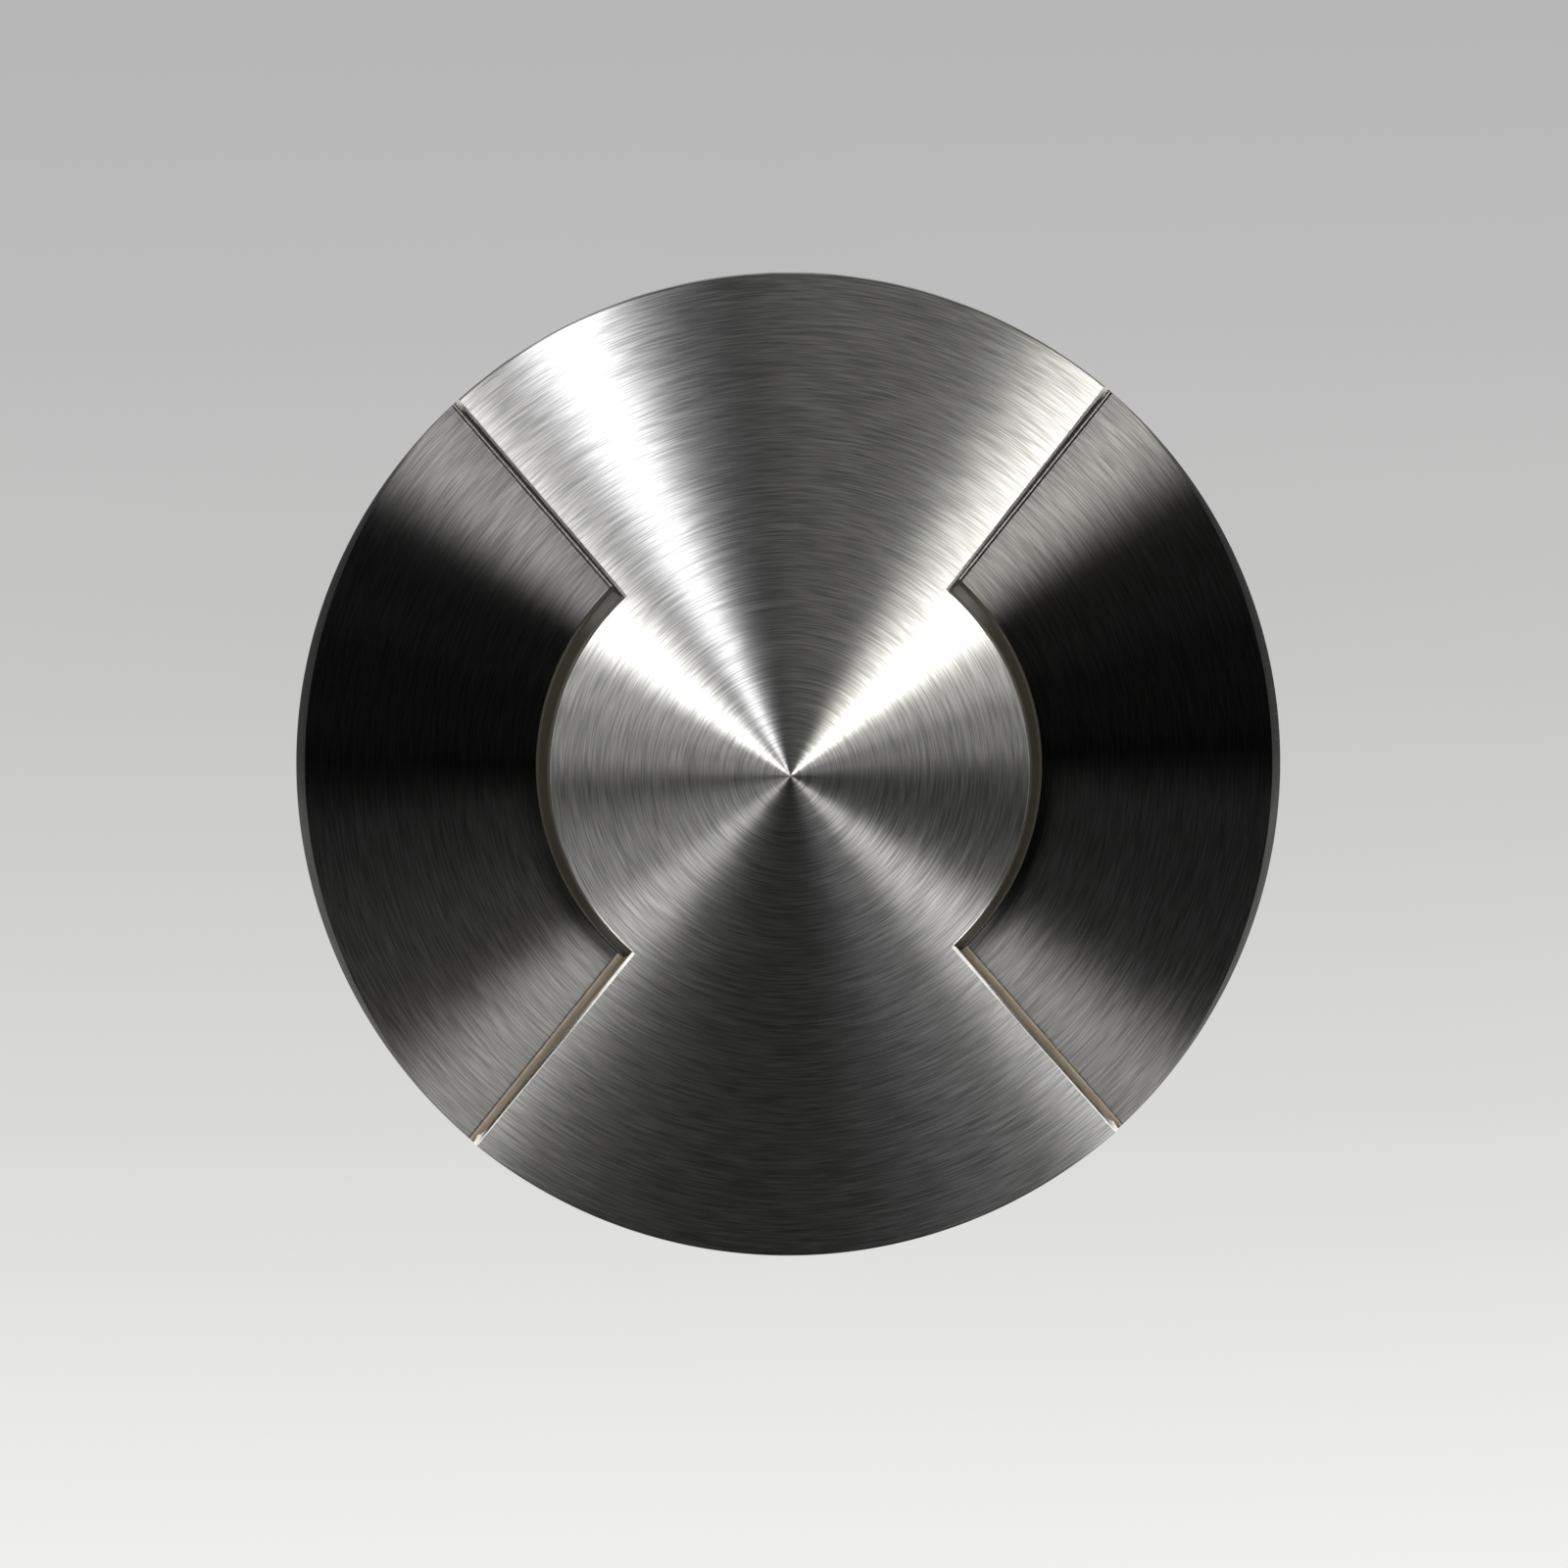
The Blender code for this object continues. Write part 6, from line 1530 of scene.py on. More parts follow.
@dataclass(frozen=True)
class CapScrew:
    """Hexagon socket screw whose head rests on z = 0 and whose shank points down."""

    shank: float
    head: float
    head_height: float
    grip: float
    pitch: float = 0.6
    thread_depth: float = 0.3
    tip_share: float = 0.65
    socket_share: float = 0.5
    socket_depth: float = 0.6

    def shape(self) -> Shape:
        """Turn the screw with its thread grooves, and cut the hexagon socket.

        Returns:
            The screw, upright, with the underside of its head at the origin.
        """
        rim = self.head_height / 6
        core = self.shank - self.thread_depth * self.pitch
        profile = rounded([(0.0, self.head_height, 0.0), (self.head, self.head_height, rim),
                           (self.head, 0.0, 0.1)], 4)[:-1]
        profile += [(self.head - 0.1, 0.0), (self.shank, 0.0)]
        turns = int((self.grip - 0.8) / self.pitch)
        for turn in range(turns):
            top = -0.5 - turn * self.pitch
            profile += [(self.shank, top), (core, top - 0.4 * self.pitch),
                        (core, top - 0.55 * self.pitch)]
        profile += [(self.shank * self.tip_share, -self.grip), (0.0, -self.grip)]
        across = self.socket_share * self.head / math.cos(math.pi / 6)
        floor = (1 - self.socket_depth) * self.head_height
        socket = moved(rod(across, floor, self.head_height + 1.0, 6), turn_z(math.pi / 6))
        mouth = spun([(0.0, self.head_height - 0.25), (across - 0.2, self.head_height - 0.25),
                      (across + 0.35, self.head_height + 0.3), (0.0, self.head_height + 0.3)],
                     SMALL_STEPS)
        return carved(spun(profile, SCREW_STEPS), [socket, mouth])


@dataclass
class Inside:
    """What hangs under the cover: housing, seals, light engine, driver, terminals and base.

    Discs, wires and the clip's groove are given by their radius and their two heights, and the
    seal's groove by its two radii and its depth.
    """

    finishes: Finishes
    top: float = 105.3
    flange: float = 46.3
    flange_low: float = 97.3
    body: float = 38.0
    bottom: float = 45.3
    clip_groove: tuple[float, float, float] = (36.6, 84.9, 87.0)
    fins: int = 5
    fin_top: float = 81.9
    fin_pitch: float = 5.2
    fin_gap: float = 3.2
    fin_depth: float = 3.6
    seal_groove: tuple[float, float, float] = (31.65, 34.35, 2.4)
    engine_well: float = 28.5
    lead_hole: float = 4.5
    cavity: float = 31.0
    cavity_top: float = 98.3
    seat: float = 102.3
    base_top: float = 45.0
    base_low: float = 40.0
    engine_y: float = 15.0
    driver_x: float = 24.8
    carrier: tuple[float, float, float] = (28.2, 102.6, 107.8)
    board: tuple[float, float, float] = (26.6, 108.1, 109.7)
    reflector: tuple[float, float, float] = (27.6, 110.0, 114.3)
    reflector_waist: float = 4.4
    screw_pocket: tuple[float, float] = (3.05, 111.9)
    sources_a_side: int = 4
    source_circle: float = 25.0
    source_height: float = 111.3
    source_angle: float = math.radians(22.0)
    source_front: float = 25.56
    lead: tuple[float, float, float] = (0.8, 98.3, 107.8)
    lead_spread: float = 1.5
    lead_bow: float = 0.5
    lead_steps: int = 24
    cover_screw: CapScrew = CapScrew(2.0, 3.4, 3.0, 10.0, 0.7)
    cover_circle: float = 41.8
    cover_spots: tuple[float, ...] = (62.0, 118.0, 242.0, 298.0)
    screw_hole: float = 2.3
    screw_well: float = 3.7
    screw_seat: float = 100.9
    small_screw: tuple[float, float, float] = (1.5, 2.75, 1.8)
    small_hole: float = 1.8
    terminal_size: tuple[float, float, float] = (21.0, 9.0, 13.0)
    terminal_centre: tuple[float, float, float] = (0.0, -19.0, 51.8)
    terminal_well: float = 2.1
    wire_way: float = 1.9
    base_circle: float = 34.5
    base_spots: tuple[float, ...] = (45.0, 135.0, 225.0, 315.0)
    screw_turn: float = math.radians(23.0)
    entry_holes: Sequence[Sequence[float]] = ((8.3, 12.8, 0.0), (8.3, -12.8, 0.0),
                                              (3.9, 0.0, 20.0))
    seals: tuple[tuple[str, float, float, float], ...] = (("cover_seal", 33.0, 1.05, 104.25),
                                                          ("base_seal", 29.95, 0.75, 47.0))

    def put(self, shape: Shape, node: str, slot: Slot, sharp: float = 36.0) -> bpy.types.Object:
        """Place one piece of the hanging body."""
        return place(shape, node, Body.LUMINAIRE, self.finishes, slot, sharp)

    def housing(self) -> None:
        """Spin the finned housing and drill it for its screws."""
        radius, low, high = self.clip_groove
        corners = [(self.flange, self.top, 0.5), (self.flange, self.flange_low, 0.8),
                   (self.body, self.flange_low, 0.1), (self.body, high, 0.2),
                   (radius, high, 0.1), (radius, low, 0.1), (self.body, low, 0.3)]
        valley = self.body - self.fin_depth
        for fin in range(self.fins):
            high = self.fin_top - fin * self.fin_pitch
            corners += [(self.body, high, 0.6), (valley, high - 0.5, 1.1),
                        (valley, high - self.fin_gap + 0.5, 1.1),
                        (self.body, high - self.fin_gap, 0.6)]
        inner, outer, depth = self.seal_groove
        corners += [(self.body, self.bottom, 0.5), (self.cavity, self.bottom, 0.5),
                    (self.cavity, self.cavity_top, 1.5), (self.lead_hole, self.cavity_top, 0.5),
                    (self.lead_hole, self.seat, 0.5), (self.engine_well, self.seat, 0.4),
                    (self.engine_well, self.top, 0.4), (inner, self.top, 0.2),
                    (inner, self.top - depth, 0.4), (outer, self.top - depth, 0.4),
                    (outer, self.top, 0.2)]
        cuts = []
        for spot in self.cover_spots:
            move = around(self.cover_circle, math.radians(spot))
            cuts += [moved(hole_tool(self.screw_hole, self.flange_low, self.top, 0.0, 0.3), move),
                     moved(hole_tool(self.screw_well, self.flange_low - 1.0, self.screw_seat),
                           move),
                     moved(spun([(0.0, self.flange_low - 0.5),
                                 (self.screw_well + 0.7, self.flange_low - 0.5),
                                 (self.screw_well, self.flange_low + 0.25),
                                 (0.0, self.flange_low + 0.25)], SCREW_STEPS), move)]
        cuts += [moved(hole_tool(self.small_hole, self.bottom, self.bottom + 6.0, 0.3),
                       around(self.base_circle, math.radians(spot))) for spot in self.base_spots]
        cuts += [moved(hole_tool(self.small_hole, self.seat - 2.3, self.seat, 0.0, 0.3),
                       shift(y=way)) for way in (self.engine_y, -self.engine_y)]
        cuts += [moved(hole_tool(self.small_hole, self.cavity_top, self.cavity_top + 2.2, 0.3),
                       shift(x=way)) for way in (self.driver_x, -self.driver_x)]
        self.put(carved(spun(rounded(corners, 4), BODY_STEPS, closed=True), cuts), "housing",
                 Slot.CASTING)

    def screws(self) -> None:
        """Make the four kinds of screws, each turned another way round its axis."""
        shank, head, height = self.small_screw
        flip = upside_down()
        kinds = (("cover_screw", self.cover_screw,
                  [(self.cover_circle, spot) for spot in self.cover_spots], 100.6, flip),
                 ("base_screw", CapScrew(shank, head, height, 11.6),
                  [(self.base_circle, spot) for spot in self.base_spots], 39.7, flip),
                 ("engine_screw", CapScrew(shank, head, height, 12.1),
                  [(self.engine_y, 90.0), (self.engine_y, 270.0)], 112.2, Matrix.Identity(4)),
                 ("driver_screw", CapScrew(shank, head, height, 5.8),
                  [(self.driver_x, 0.0), (self.driver_x, 180.0)], 94.7, flip))
        for name, screw, spots, height, way in kinds:
            model = screw.shape()
            for number, (radius, degrees) in enumerate(spots, start=1):
                shape = moved(model.copy(), way, turn_z(self.screw_turn * number),
                              around(radius, math.radians(degrees)), shift(z=height))
                self.put(shape, f"{name}_{number}", Slot.SCREW, 30.0)
            model.free()

    def engine(self) -> None:
        """Turn carrier, board and reflector, and drill them for the two engine screws."""
        radius, low, high = self.carrier
        shapes = {"led_carrier": (Slot.MACHINED, rounded(
            [(radius, high, 0.4), (radius, low, 0.4), (4.2, low, 0.3), (4.2, high, 0.3)], 3), True)}
        radius, low, high = self.board
        shapes["led_board"] = (Slot.BOARD, rounded(
            [(0.0, high, 0.0), (radius, high, 0.1), (radius, low, 0.1), (0.0, low, 0.0)], 2), False)
        radius, low, high = self.reflector
        throat = radius - self.reflector_waist
        shapes["reflector"] = (Slot.MIRROR, rounded(
            [(0.0, high, 0.0), (radius, high, 0.15), (radius, high - 0.5, 0.15),
             (throat, high - 1.2, 0.9), (throat, low, 0.3), (0.0, low, 0.0)], 4), False)
        pocket, pocket_floor = self.screw_pocket
        for node, (slot, profile, ring) in shapes.items():
            cuts = []
            for way in (self.engine_y, -self.engine_y):
                cuts.append(moved(hole_tool(self.small_hole, 102.0, 114.5, steps=SMALL_STEPS),
                                  shift(y=way)))
                if node == "reflector":
                    cuts.append(moved(hole_tool(pocket, pocket_floor, high, 0.0, 0.25),
                                      shift(y=way)))
            self.put(carved(spun(profile, BOARD_STEPS, closed=ring), cuts), node, slot)

    def light_sources(self) -> None:
        """Make eight side-looking light sources: a white frame round a yellow cast window."""
        middle = (self.sources_a_side - 1) / 2
        for side in Side:
            for number in range(self.sources_a_side):
                shape = bevelled(block((1.35, 3.4, 2.6), (-0.125, 0.0, 0.0)), 0.12, 2)
                lens = bevelled(block((0.35, 2.5, 1.7), (0.625, 0.0, 0.0)), 0.12, 2)
                shape = carved(shape, joins=[lens])
                angle = side.value + (number - middle) * self.source_angle
                spot = shift(self.source_circle, 0.0, self.source_height)
                piece = self.put(moved(shape, spot, turn_z(angle)),
                                 f"led_{side.word}_{number + 1}", Slot.PHOSPHOR, 30.0)
                piece.data.materials.append(self.finishes[Slot.BOARD])
                outward = Vector((math.cos(angle), math.sin(angle), 0.0))
                front = self.source_front * MM
                for face in piece.data.polygons:
                    face.material_index = 0 if face.center.dot(outward) > front else 1

    def leads(self) -> None:
        """Draw the two leads from the driver up to the board."""
        radius, low, high = self.lead
        shares = [step / self.lead_steps for step in range(self.lead_steps + 1)]
        for side, colour, slot in ((1, "red", Slot.LEAD_RED), (-1, "black", Slot.LEAD_BLACK)):
            path = [Vector((side * (self.lead_spread
                                    + self.lead_bow * math.sin(math.pi * share) ** 2),
                            0.0, low + (high - low) * share)) for share in shares]
            self.put(swept(path, radius, 20), f"board_lead_{colour}", slot)

    def driver(self) -> None:
        """Turn the potted driver with its flange and grooves, and drill it for its screws."""
        corners = [(0.0, 98.0, 0.0), (28.5, 98.0, 0.4), (28.5, 95.0, 0.6), (21.0, 95.0, 0.8),
                   (21.0, 90.0, 0.2), (20.6, 89.6, 0.2), (20.6, 88.8, 0.2), (21.0, 88.4, 0.2),
                   (21.0, 74.0, 1.8), (17.5, 74.0, 0.2), (17.2, 74.6, 0.3), (0.0, 74.6, 0.0)]
        cuts = [moved(hole_tool(self.small_hole, 95.0, 98.0, 0.3, 0.2), shift(x=way))
                for way in (self.driver_x, -self.driver_x)]
        self.put(carved(spun(rounded(corners, 4), 128), cuts), "driver", Slot.POTTING)

    def terminals(self) -> None:
        """Mould the terminal block with wire ways, screw wells and dividing grooves."""
        wide, deep, tall = self.terminal_size
        _, middle, height = self.terminal_centre
        front, top = middle + deep / 2, height + tall / 2
        shape = bevelled(block(self.terminal_size, self.terminal_centre), 0.5, 3)
        cuts = []
        for step in (-wide / 3, 0.0, wide / 3):
            way = moved(hole_tool(self.wire_way, -4.0, 0.0, 0.0, 0.4, SMALL_STEPS), lying(),
                        upside_down(), shift(step, front, height))
            well = moved(hole_tool(self.terminal_well, top - 3.5, top, 0.0, 0.3, SMALL_STEPS),
                         shift(step, middle))
            cuts += [way, well]
        cuts += [block((0.6, deep + 3.0, 3.0), (step, middle, top)) for step in (-3.5, 3.5)]
        self.put(carved(shape, cuts), "terminal_block", Slot.TERMINAL)

    def base(self) -> None:
        """Spin the base plate with its grooved spigot, and cut its entries and screw holes."""
        corners = [(0.0, self.base_top, 0.0), (27.1, self.base_top, 0.5), (27.1, 49.4, 0.4),
                   (30.7, 49.4, 0.4), (30.7, 48.05, 0.1), (28.9, 48.05, 0.2), (28.9, 45.95, 0.2),
                   (30.7, 45.95, 0.1), (30.7, self.base_top, 0.2), (self.body, self.base_top, 0.4),
                   (self.body, self.base_low, 1.0), (0.0, self.base_low, 0.0)]
        cuts = [moved(hole_tool(radius, self.base_low, self.base_top, 0.4, 0.3, 64), shift(x, y))
                for radius, x, y in self.entry_holes]
        cuts += [moved(hole_tool(self.small_hole, self.base_low, self.base_top, 0.3, 0.2),
                       around(self.base_circle, math.radians(spot))) for spot in self.base_spots]
        self.put(carved(spun(rounded(corners, 4), BOARD_STEPS), cuts), "base_plate",
                 Slot.CASTING)

    def build(self) -> None:
        """Make everything that hangs under the cover, but the entries."""
        self.housing()
        self.screws()
        self.engine()
        self.light_sources()
        self.leads()
        self.driver()
        self.terminals()
        self.base()
        for node, radius, section, height in self.seals:
            self.put(spun(round_bar(radius, section, height), BOARD_STEPS, closed=True), node,
                     Slot.RUBBER, 70.0)


@dataclass
class Entries:
    """Cable gland, blanking plug and pressure vent in the base plate, with their washers."""

    finishes: Finishes
    spot: float = 12.8
    thread: float = 8.0
    pitch: float = 1.5
    neck: float = 46.5
    hex_top: float = 38.2
    hex_low: float = 33.7
    hex_radius: float = 11.6
    lower_thread: float = 8.6
    thread_low: float = 24.7
    gland_bore: float = 6.9
    lead_in_bore: float = 5.0
    shoulder: float = 33.0
    seal: tuple[float, float, float, float] = (1.9, 6.6, 24.7, 32.7)
    nut: tuple[float, float, float] = (11.2, 33.4, 19.9)
    nut_bore: float = 8.9
    nut_mouth: float = 4.4
    flutes: int = 18
    flute: float = 0.9
    plug_slot: tuple[float, float, float] = (16.0, 2.0, 3.2)
    washer: tuple[Corner, ...] = ((10.04, 39.7, 0.35), (10.04, 38.5, 0.35), (8.3, 38.5, 0.2),
                                  (8.3, 39.7, 0.2))
    vent: tuple[float, float, float] = (6.0, 36.5, 39.7)
    vent_thread: float = 3.6
    vent_slots: int = 8
    vent_y: float = 20.0

    def put(self, shape: Shape, node: str, slot: Slot, x: float = 0.0, y: float = 0.0) -> None:
        """Place one piece of an entry at its spot."""
        place(moved(shape, shift(x, y)), node, Body.LUMINAIRE, self.finishes, slot, 36.0)

    def threads(self, radius: float, high: float, low: float, depth: float = 0.6) -> list[Point]:
        """Draw the outer side of a threaded length, from its top to its bottom.

        Args:
            radius: Radius over the thread.
            high: Upper height.
            low: Lower height.
            depth: Depth of the thread.

        Returns:
            Points of (radius, height).
        """
        points = [(radius - depth, high), (radius, high - depth)]
        at = high - depth - 0.35 * self.pitch
        while at - 0.65 * self.pitch > low + 0.2:
            points += [(radius, at), (radius - depth, at - 0.3 * self.pitch),
                       (radius - depth, at - 0.4 * self.pitch), (radius, at - 0.65 * self.pitch)]
            at -= self.pitch
        return [*points, (radius, low)]

    def hexagon(self, bore: float) -> Shape:
        """Cut the chamfered hexagon of an entry.

        Args:
            bore: Radius of its bore, or nothing for a solid one.

        Returns:
            The hexagon.
        """
        flat = self.hex_radius * math.cos(math.pi / 6)
        ring = [(self.hex_radius + 1.0, self.hex_top + 1.0), (self.hex_radius + 1.0, self.hex_top),
                (self.hex_radius + 0.2, self.hex_top - 0.9), (flat - 0.3, self.hex_top + 0.1),
                (flat - 0.3, self.hex_top + 1.0)]
        middle = (self.hex_top + self.hex_low) / 2
        low_ring = [(radius, 2 * middle - height) for radius, height in ring]
        cuts = [spun(ring, ENTRY_STEPS, closed=True), spun(low_ring, ENTRY_STEPS, closed=True)]
        if bore:
            cuts.append(rod(bore, self.hex_low - 1.0, self.hex_top + 1.0, 64))
        return carved(rod(self.hex_radius, self.hex_low, self.hex_top, 6), cuts)

    def gland(self) -> None:
        """Make the gland's body, its seal and its fluted dome nut."""
        profile = self.threads(self.thread, self.neck, self.hex_top)
        profile += [(self.lower_thread, self.hex_top - 1.0)]
        profile += self.threads(self.lower_thread, self.hex_low - 0.2, self.thread_low)[1:]
        profile += [(self.gland_bore, self.thread_low), (self.gland_bore, self.shoulder),
                    (self.lead_in_bore, self.shoulder), (self.lead_in_bore, self.neck)]
        body = carved(spun(profile, ENTRY_STEPS, closed=True),
                      joins=[self.hexagon(self.gland_bore)])
        self.put(body, "gland_body", Slot.GLAND, self.spot)
        inner, outer, low, high = self.seal
        seal = rounded([(outer, high, 0.5), (outer, low, 1.0), (inner, low, 0.5),
                        (inner, high, 0.5)], 4)
        self.put(spun(seal, ENTRY_STEPS, closed=True), "gland_seal", Slot.RUBBER, self.spot)
        radius, high, low = self.nut
        profile = rounded([(radius, high, 0.5), (radius, low + 3.0, 1.6), (7.8, low, 1.2),
                           (self.nut_mouth, low, 0.5), (self.nut_mouth, 24.4, 0.3),
                           (self.nut_bore, 24.4, 0.2), (self.nut_bore, high, 0.5)], 5)
        flutes = []
        for number in range(self.flutes):
            flute = moved(rod(self.flute, low + 2.6, high - 1.2, 16), shift(x=radius + 0.35))
            flutes.append(moved(flute, turn_z(2 * math.pi * number / self.flutes)))
        self.put(carved(spun(profile, 144, closed=True), flutes), "gland_nut", Slot.GLAND,
                 self.spot)

    def build(self) -> None:
        """Make the gland, the plug, the vent and the washers."""
        self.gland()
        profile = [(0.0, self.neck), *self.threads(self.thread, self.neck, self.hex_top - 1.0),
                   (0.0, self.hex_top - 1.0)]
        slot = bevelled(block(self.plug_slot, (0.0, 0.0, self.hex_low)), 0.2, 2)
        plug = carved(spun(profile, ENTRY_STEPS), [slot], [self.hexagon(0.0)])
        self.put(plug, "blanking_plug", Slot.GLAND, -self.spot)
        radius, low, high = self.vent
        corners = rounded([(radius, high, 0.2), (radius, low, 0.8), (0.0, low, 0.0)], 5)[:-1]
        profile = [(0.0, self.neck), *self.threads(self.vent_thread, self.neck, high, 0.4),
                   *corners, (2.2, low), (2.2, low + 0.4), (0.0, low + 0.4)]
        slots = [moved(block((2.4, 0.9, 1.4), (radius - 0.4, 0.0, 38.3)),
                       turn_z(2 * math.pi * number / self.vent_slots))
                 for number in range(self.vent_slots)]
        self.put(carved(spun(profile, 80), slots), "pressure_vent", Slot.GLAND, 0.0, self.vent_y)
        for node, x in (("gland_washer", self.spot), ("plug_washer", -self.spot)):
            self.put(spun(rounded(self.washer, 4), ENTRY_STEPS, closed=True), node, Slot.RUBBER, x)


# Studio


@dataclass(frozen=True)
class Softbox:
    """One softbox, given by what it covers as seen from the light: directions in degrees."""

    azimuth: float
    from_top: float
    width: float
    height: float
    brightness: float
    tint: str = "#ffffff"

    def hang(self, number: int, distance: float, aim: Vector) -> None:
        """Hang the softbox.

        Args:
            number: Number for its name.
            distance: Distance from the aim in millimetres.
            aim: The point that it faces.
        """
        down = math.radians(self.from_top)
        around = math.radians(self.azimuth)
        away = Vector((math.sin(down) * math.cos(around), math.sin(down) * math.sin(around),
                       math.cos(down)))
        lamp = bpy.data.lights.new(f"softbox_{number}", "AREA")
        lamp.shape = "RECTANGLE"
        lamp.size = math.radians(self.width) * math.sin(down) * distance * MM
        lamp.size_y = math.radians(self.height) * distance * MM
        lamp.energy = self.brightness * math.pi * lamp.size * lamp.size_y
        lamp.color = linear(self.tint)[:3]
        box = bpy.data.objects.new(f"softbox_{number}", lamp)
        bpy.context.scene.collection.objects.link(box)
        box.location = aim + away * distance * MM
        side = Vector((-math.sin(around), math.cos(around), 0.0))
        frame = Matrix((side, away.cross(side), away)).transposed()
        box.rotation_euler = frame.to_euler()


@dataclass
class Studio:
    """Pale floor, softboxes, dim surroundings and the camera of the photograph."""

    floor_size: float = 6000.0
    floor_gap: float = 0.2
    floor_tones: tuple[tuple[float, str], ...] = ((0.0, "#f1f1ef"), (0.12, "#e9e9e7"),
                                                  (0.32, "#d9d9d7"), (0.6, "#c5c5c4"),
                                                  (0.85, "#b9b9b9"), (1.0, "#b4b4b4"))
    floor_front: float = -140.0
    floor_back: float = 98.0
    painted_contact_shadow: tuple[float, float] = (50.0, 60.0)
    painted_contact_shadow_tone: float = 0.35
    lamp_distance: float = 1500.0
    lamp_aim: float = 115.0
    lamps: tuple[Softbox, ...] = (
        Softbox(119.0, 34.5, 7.5, 18.0, 23.0, "#fafaff"),
        Softbox(140.6, 34.1, 6.0, 18.0, 9.0),
        Softbox(147.8, 33.9, 9.0, 18.0, 22.0),
        Softbox(166.9, 33.4, 7.0, 18.0, 3.0),
        Softbox(180.8, 33.0, 14.0, 18.0, 1.5),
        Softbox(31.9, 33.9, 12.0, 18.0, 23.0, "#fffffa"),
        Softbox(46.1, 34.2, 6.0, 18.0, 8.0, "#fffffa"),
        Softbox(72.8, 34.6, 34.0, 18.0, 0.5),
        Softbox(12.9, 33.4, 7.0, 18.0, 3.2),
        Softbox(358.0, 32.9, 10.0, 18.0, 1.2),
        Softbox(228.5, 55.8, 14.0, 18.0, 7.4),
        Softbox(211.2, 32.2, 20.0, 18.0, 0.8),
        Softbox(311.5, 55.7, 14.0, 18.0, 9.4),
    )
    surroundings: float = 0.016
    horizon: float = 1.0
    horizon_band: tuple[float, float] = (0.1, 0.25)
    front_share: float = 0.2
    back_share: float = 2.2
    back_band: tuple[float, float] = (-0.5, 0.5)
    camera_tilt: float = math.radians(5.7)
    camera_side: float = math.radians(-0.8)
    camera_distance: float = 900.0
    camera_roll: float = math.radians(-1.1)
    lens: float = 156.6
    sensor: float = 36.0
    near_clip: float = 50.0
    target: tuple[float, float, float] = (-0.7, -2.3, 108.0)

    def floor(self) -> None:
        """Lay the floor: it glows, even and brighter in front, with a painted contact shadow at the
        base.
        """
        shape = bmesh.new()
        bmesh.ops.create_grid(shape, x_segments=1, y_segments=1, size=self.floor_size * MM / 2,
                              matrix=shift(z=-self.floor_gap))
        mesh = bpy.data.meshes.new("floor")
        shape.to_mesh(mesh)
        shape.free()
        floor = bpy.data.objects.new("floor", mesh)
        bpy.context.scene.collection.objects.link(floor)
        material, shader = new_material("paper backdrop, matt", Roughness=0.9)
        shader.inputs["Base Color"].default_value = linear("#0a0a0a")
        place_node = add_node(material, "ShaderNodeTexCoord").outputs["Object"]
        parts = add_node(material, "ShaderNodeSeparateXYZ", links={0: place_node})
        share = spread(material, parts.outputs["Y"],
                       (self.floor_front * MM, self.floor_back * MM), (0.0, 1.0))
        ramp = add_node(material, "ShaderNodeValToRGB", links={"Fac": share})
        tones = ramp.color_ramp.elements
        tones[0].color = linear(self.floor_tones[0][1])
        tones[-1].color = linear(self.floor_tones[-1][1])
        for spot, tone in self.floor_tones[1:-1]:
            tones.new(spot).color = linear(tone)
        # Painted contact shadow: the glow is dimmed round the base.
        away = add_node(material, "ShaderNodeVectorMath", {"operation": "LENGTH"},
                        {0: place_node})
        shade = spread(material, away.outputs["Value"], (edge * MM for edge in self.painted_contact_shadow),
                       (self.painted_contact_shadow_tone, 1.0), smooth=True)
        material.node_tree.links.new(ramp.outputs["Color"], shader.inputs["Emission Color"])
        material.node_tree.links.new(shade, shader.inputs["Emission Strength"])
        mesh.materials.append(material)

    def lights(self) -> None:
        """Hang the softboxes, and dim the surroundings."""
        aim = Vector((0.0, 0.0, self.lamp_aim * MM))
        for number, lamp in enumerate(self.lamps, start=1):
            lamp.hang(number, self.lamp_distance, aim)
        world = bpy.data.worlds.new("dim studio with a pale horizon")
        world.use_nodes = True
        way = add_node(world, "ShaderNodeTexCoord").outputs["Generated"]
        parts = add_node(world, "ShaderNodeSeparateXYZ", links={0: way})
        glow = spread(world, parts.outputs["Z"], self.horizon_band,
                      (self.horizon, self.surroundings), smooth=True)
        north = spread(world, parts.outputs["Y"], self.back_band,
                       (self.front_share, self.back_share))
        back = world.node_tree.nodes["Background"]
        world.node_tree.links.new(north, back.inputs["Strength"])
        world.node_tree.links.new(glow, back.inputs["Color"])
        bpy.context.scene.world = world

    def camera(self) -> None:
        """Set the camera above the light, a little towards the top of the picture."""
        data = bpy.data.cameras.new("camera")
        data.lens = self.lens
        data.sensor_width = self.sensor
        data.clip_start = self.near_clip * MM
        camera = bpy.data.objects.new("camera", data)
        bpy.context.scene.collection.objects.link(camera)
        back = Vector((math.sin(self.camera_side),
                       math.sin(self.camera_tilt) * math.cos(self.camera_side),
                       math.cos(self.camera_tilt) * math.cos(self.camera_side))).normalized()
        up = Vector((0, 1, 0))
        right = up.cross(back).normalized()
        up = back.cross(right)
        frame = Matrix((right, up, back)).transposed().to_4x4()
        target = Vector(self.target) * MM
        camera.matrix_world = (Matrix.Translation(target + back * self.camera_distance * MM)
                               @ frame @ Matrix.Rotation(self.camera_roll, 4, "Z"))
        bpy.context.scene.camera = camera

    def build(self) -> None:
        """Set up floor, lights and camera, with plain tones as in a photograph."""
        bpy.context.scene.view_settings.view_transform = "Standard"
        self.floor()
        self.lights()
        self.camera()


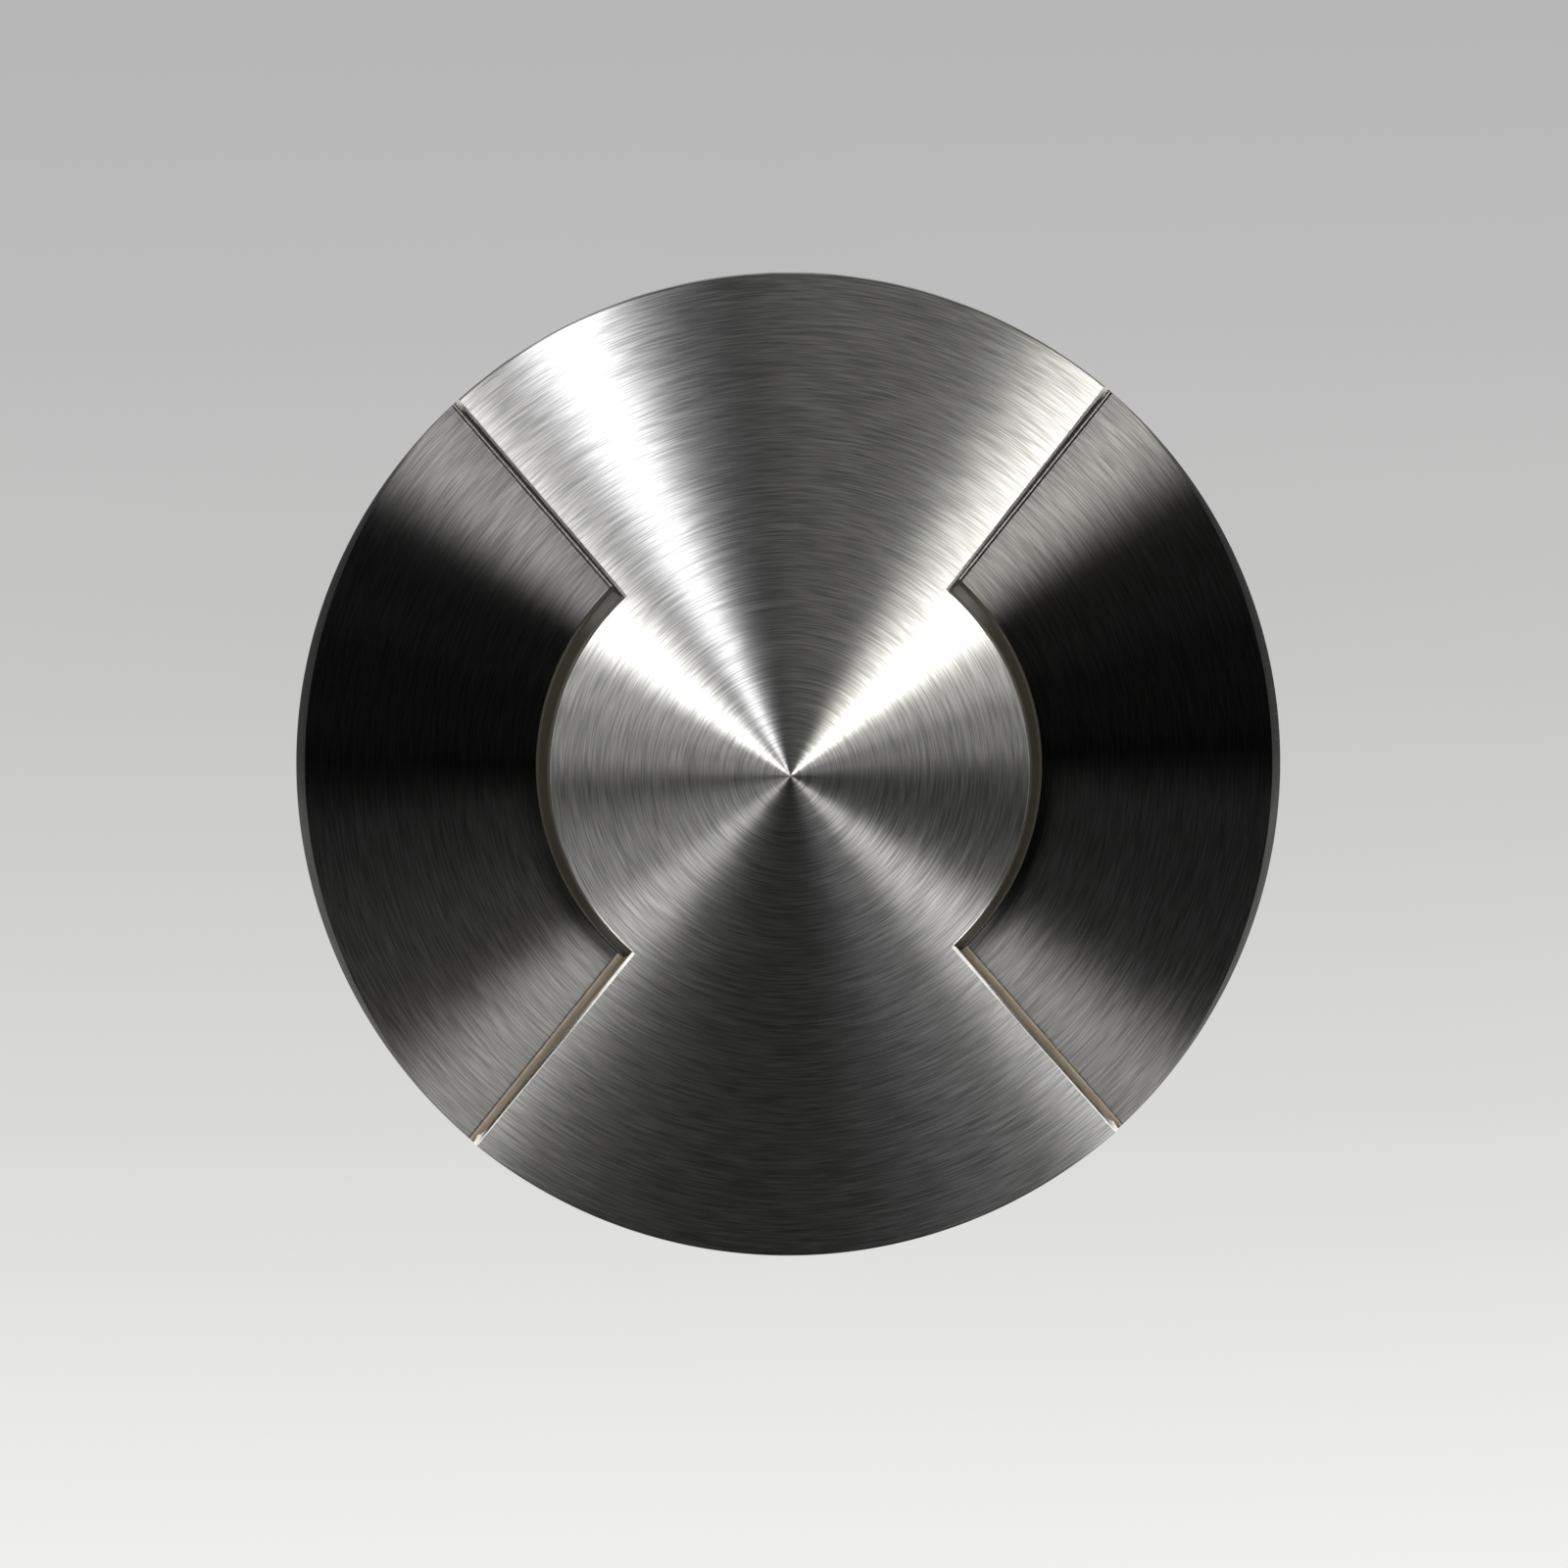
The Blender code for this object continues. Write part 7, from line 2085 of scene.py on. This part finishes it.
def dress_rest(frame: dict, finishes: Finishes) -> None:
    """Give every CAD node that still shows the finish of its real material.

    Args:
        finishes: The finishes.
    """
    slots = {part["node"]: Slot(part["material_slot"]) for part in frame["record"]["subparts"]}
    for name, node in sorted(frame["nodes"].items()):
        if not node.hide_render:
            node.data.materials.clear()
            node.data.materials.append(finishes[slots[name]])
            LOG.info("%s keeps its solid in %s", name, slots[name].value)


def main() -> None:
    """Build the light and its studio, and log each piece's faces and the solids that stay."""
    logging.basicConfig(level=logging.INFO, format="%(name)s: %(message)s")
    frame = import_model()
    finishes = Finishes().build()
    Studio().build()
    Cover(finishes).build()
    Windows(finishes).build()
    Sleeve(finishes).build()
    SpringRing(finishes).build()
    Inside(finishes).build()
    Entries(finishes).build()
    dress_rest(frame, finishes)


if __name__ == "__main__":
    main()
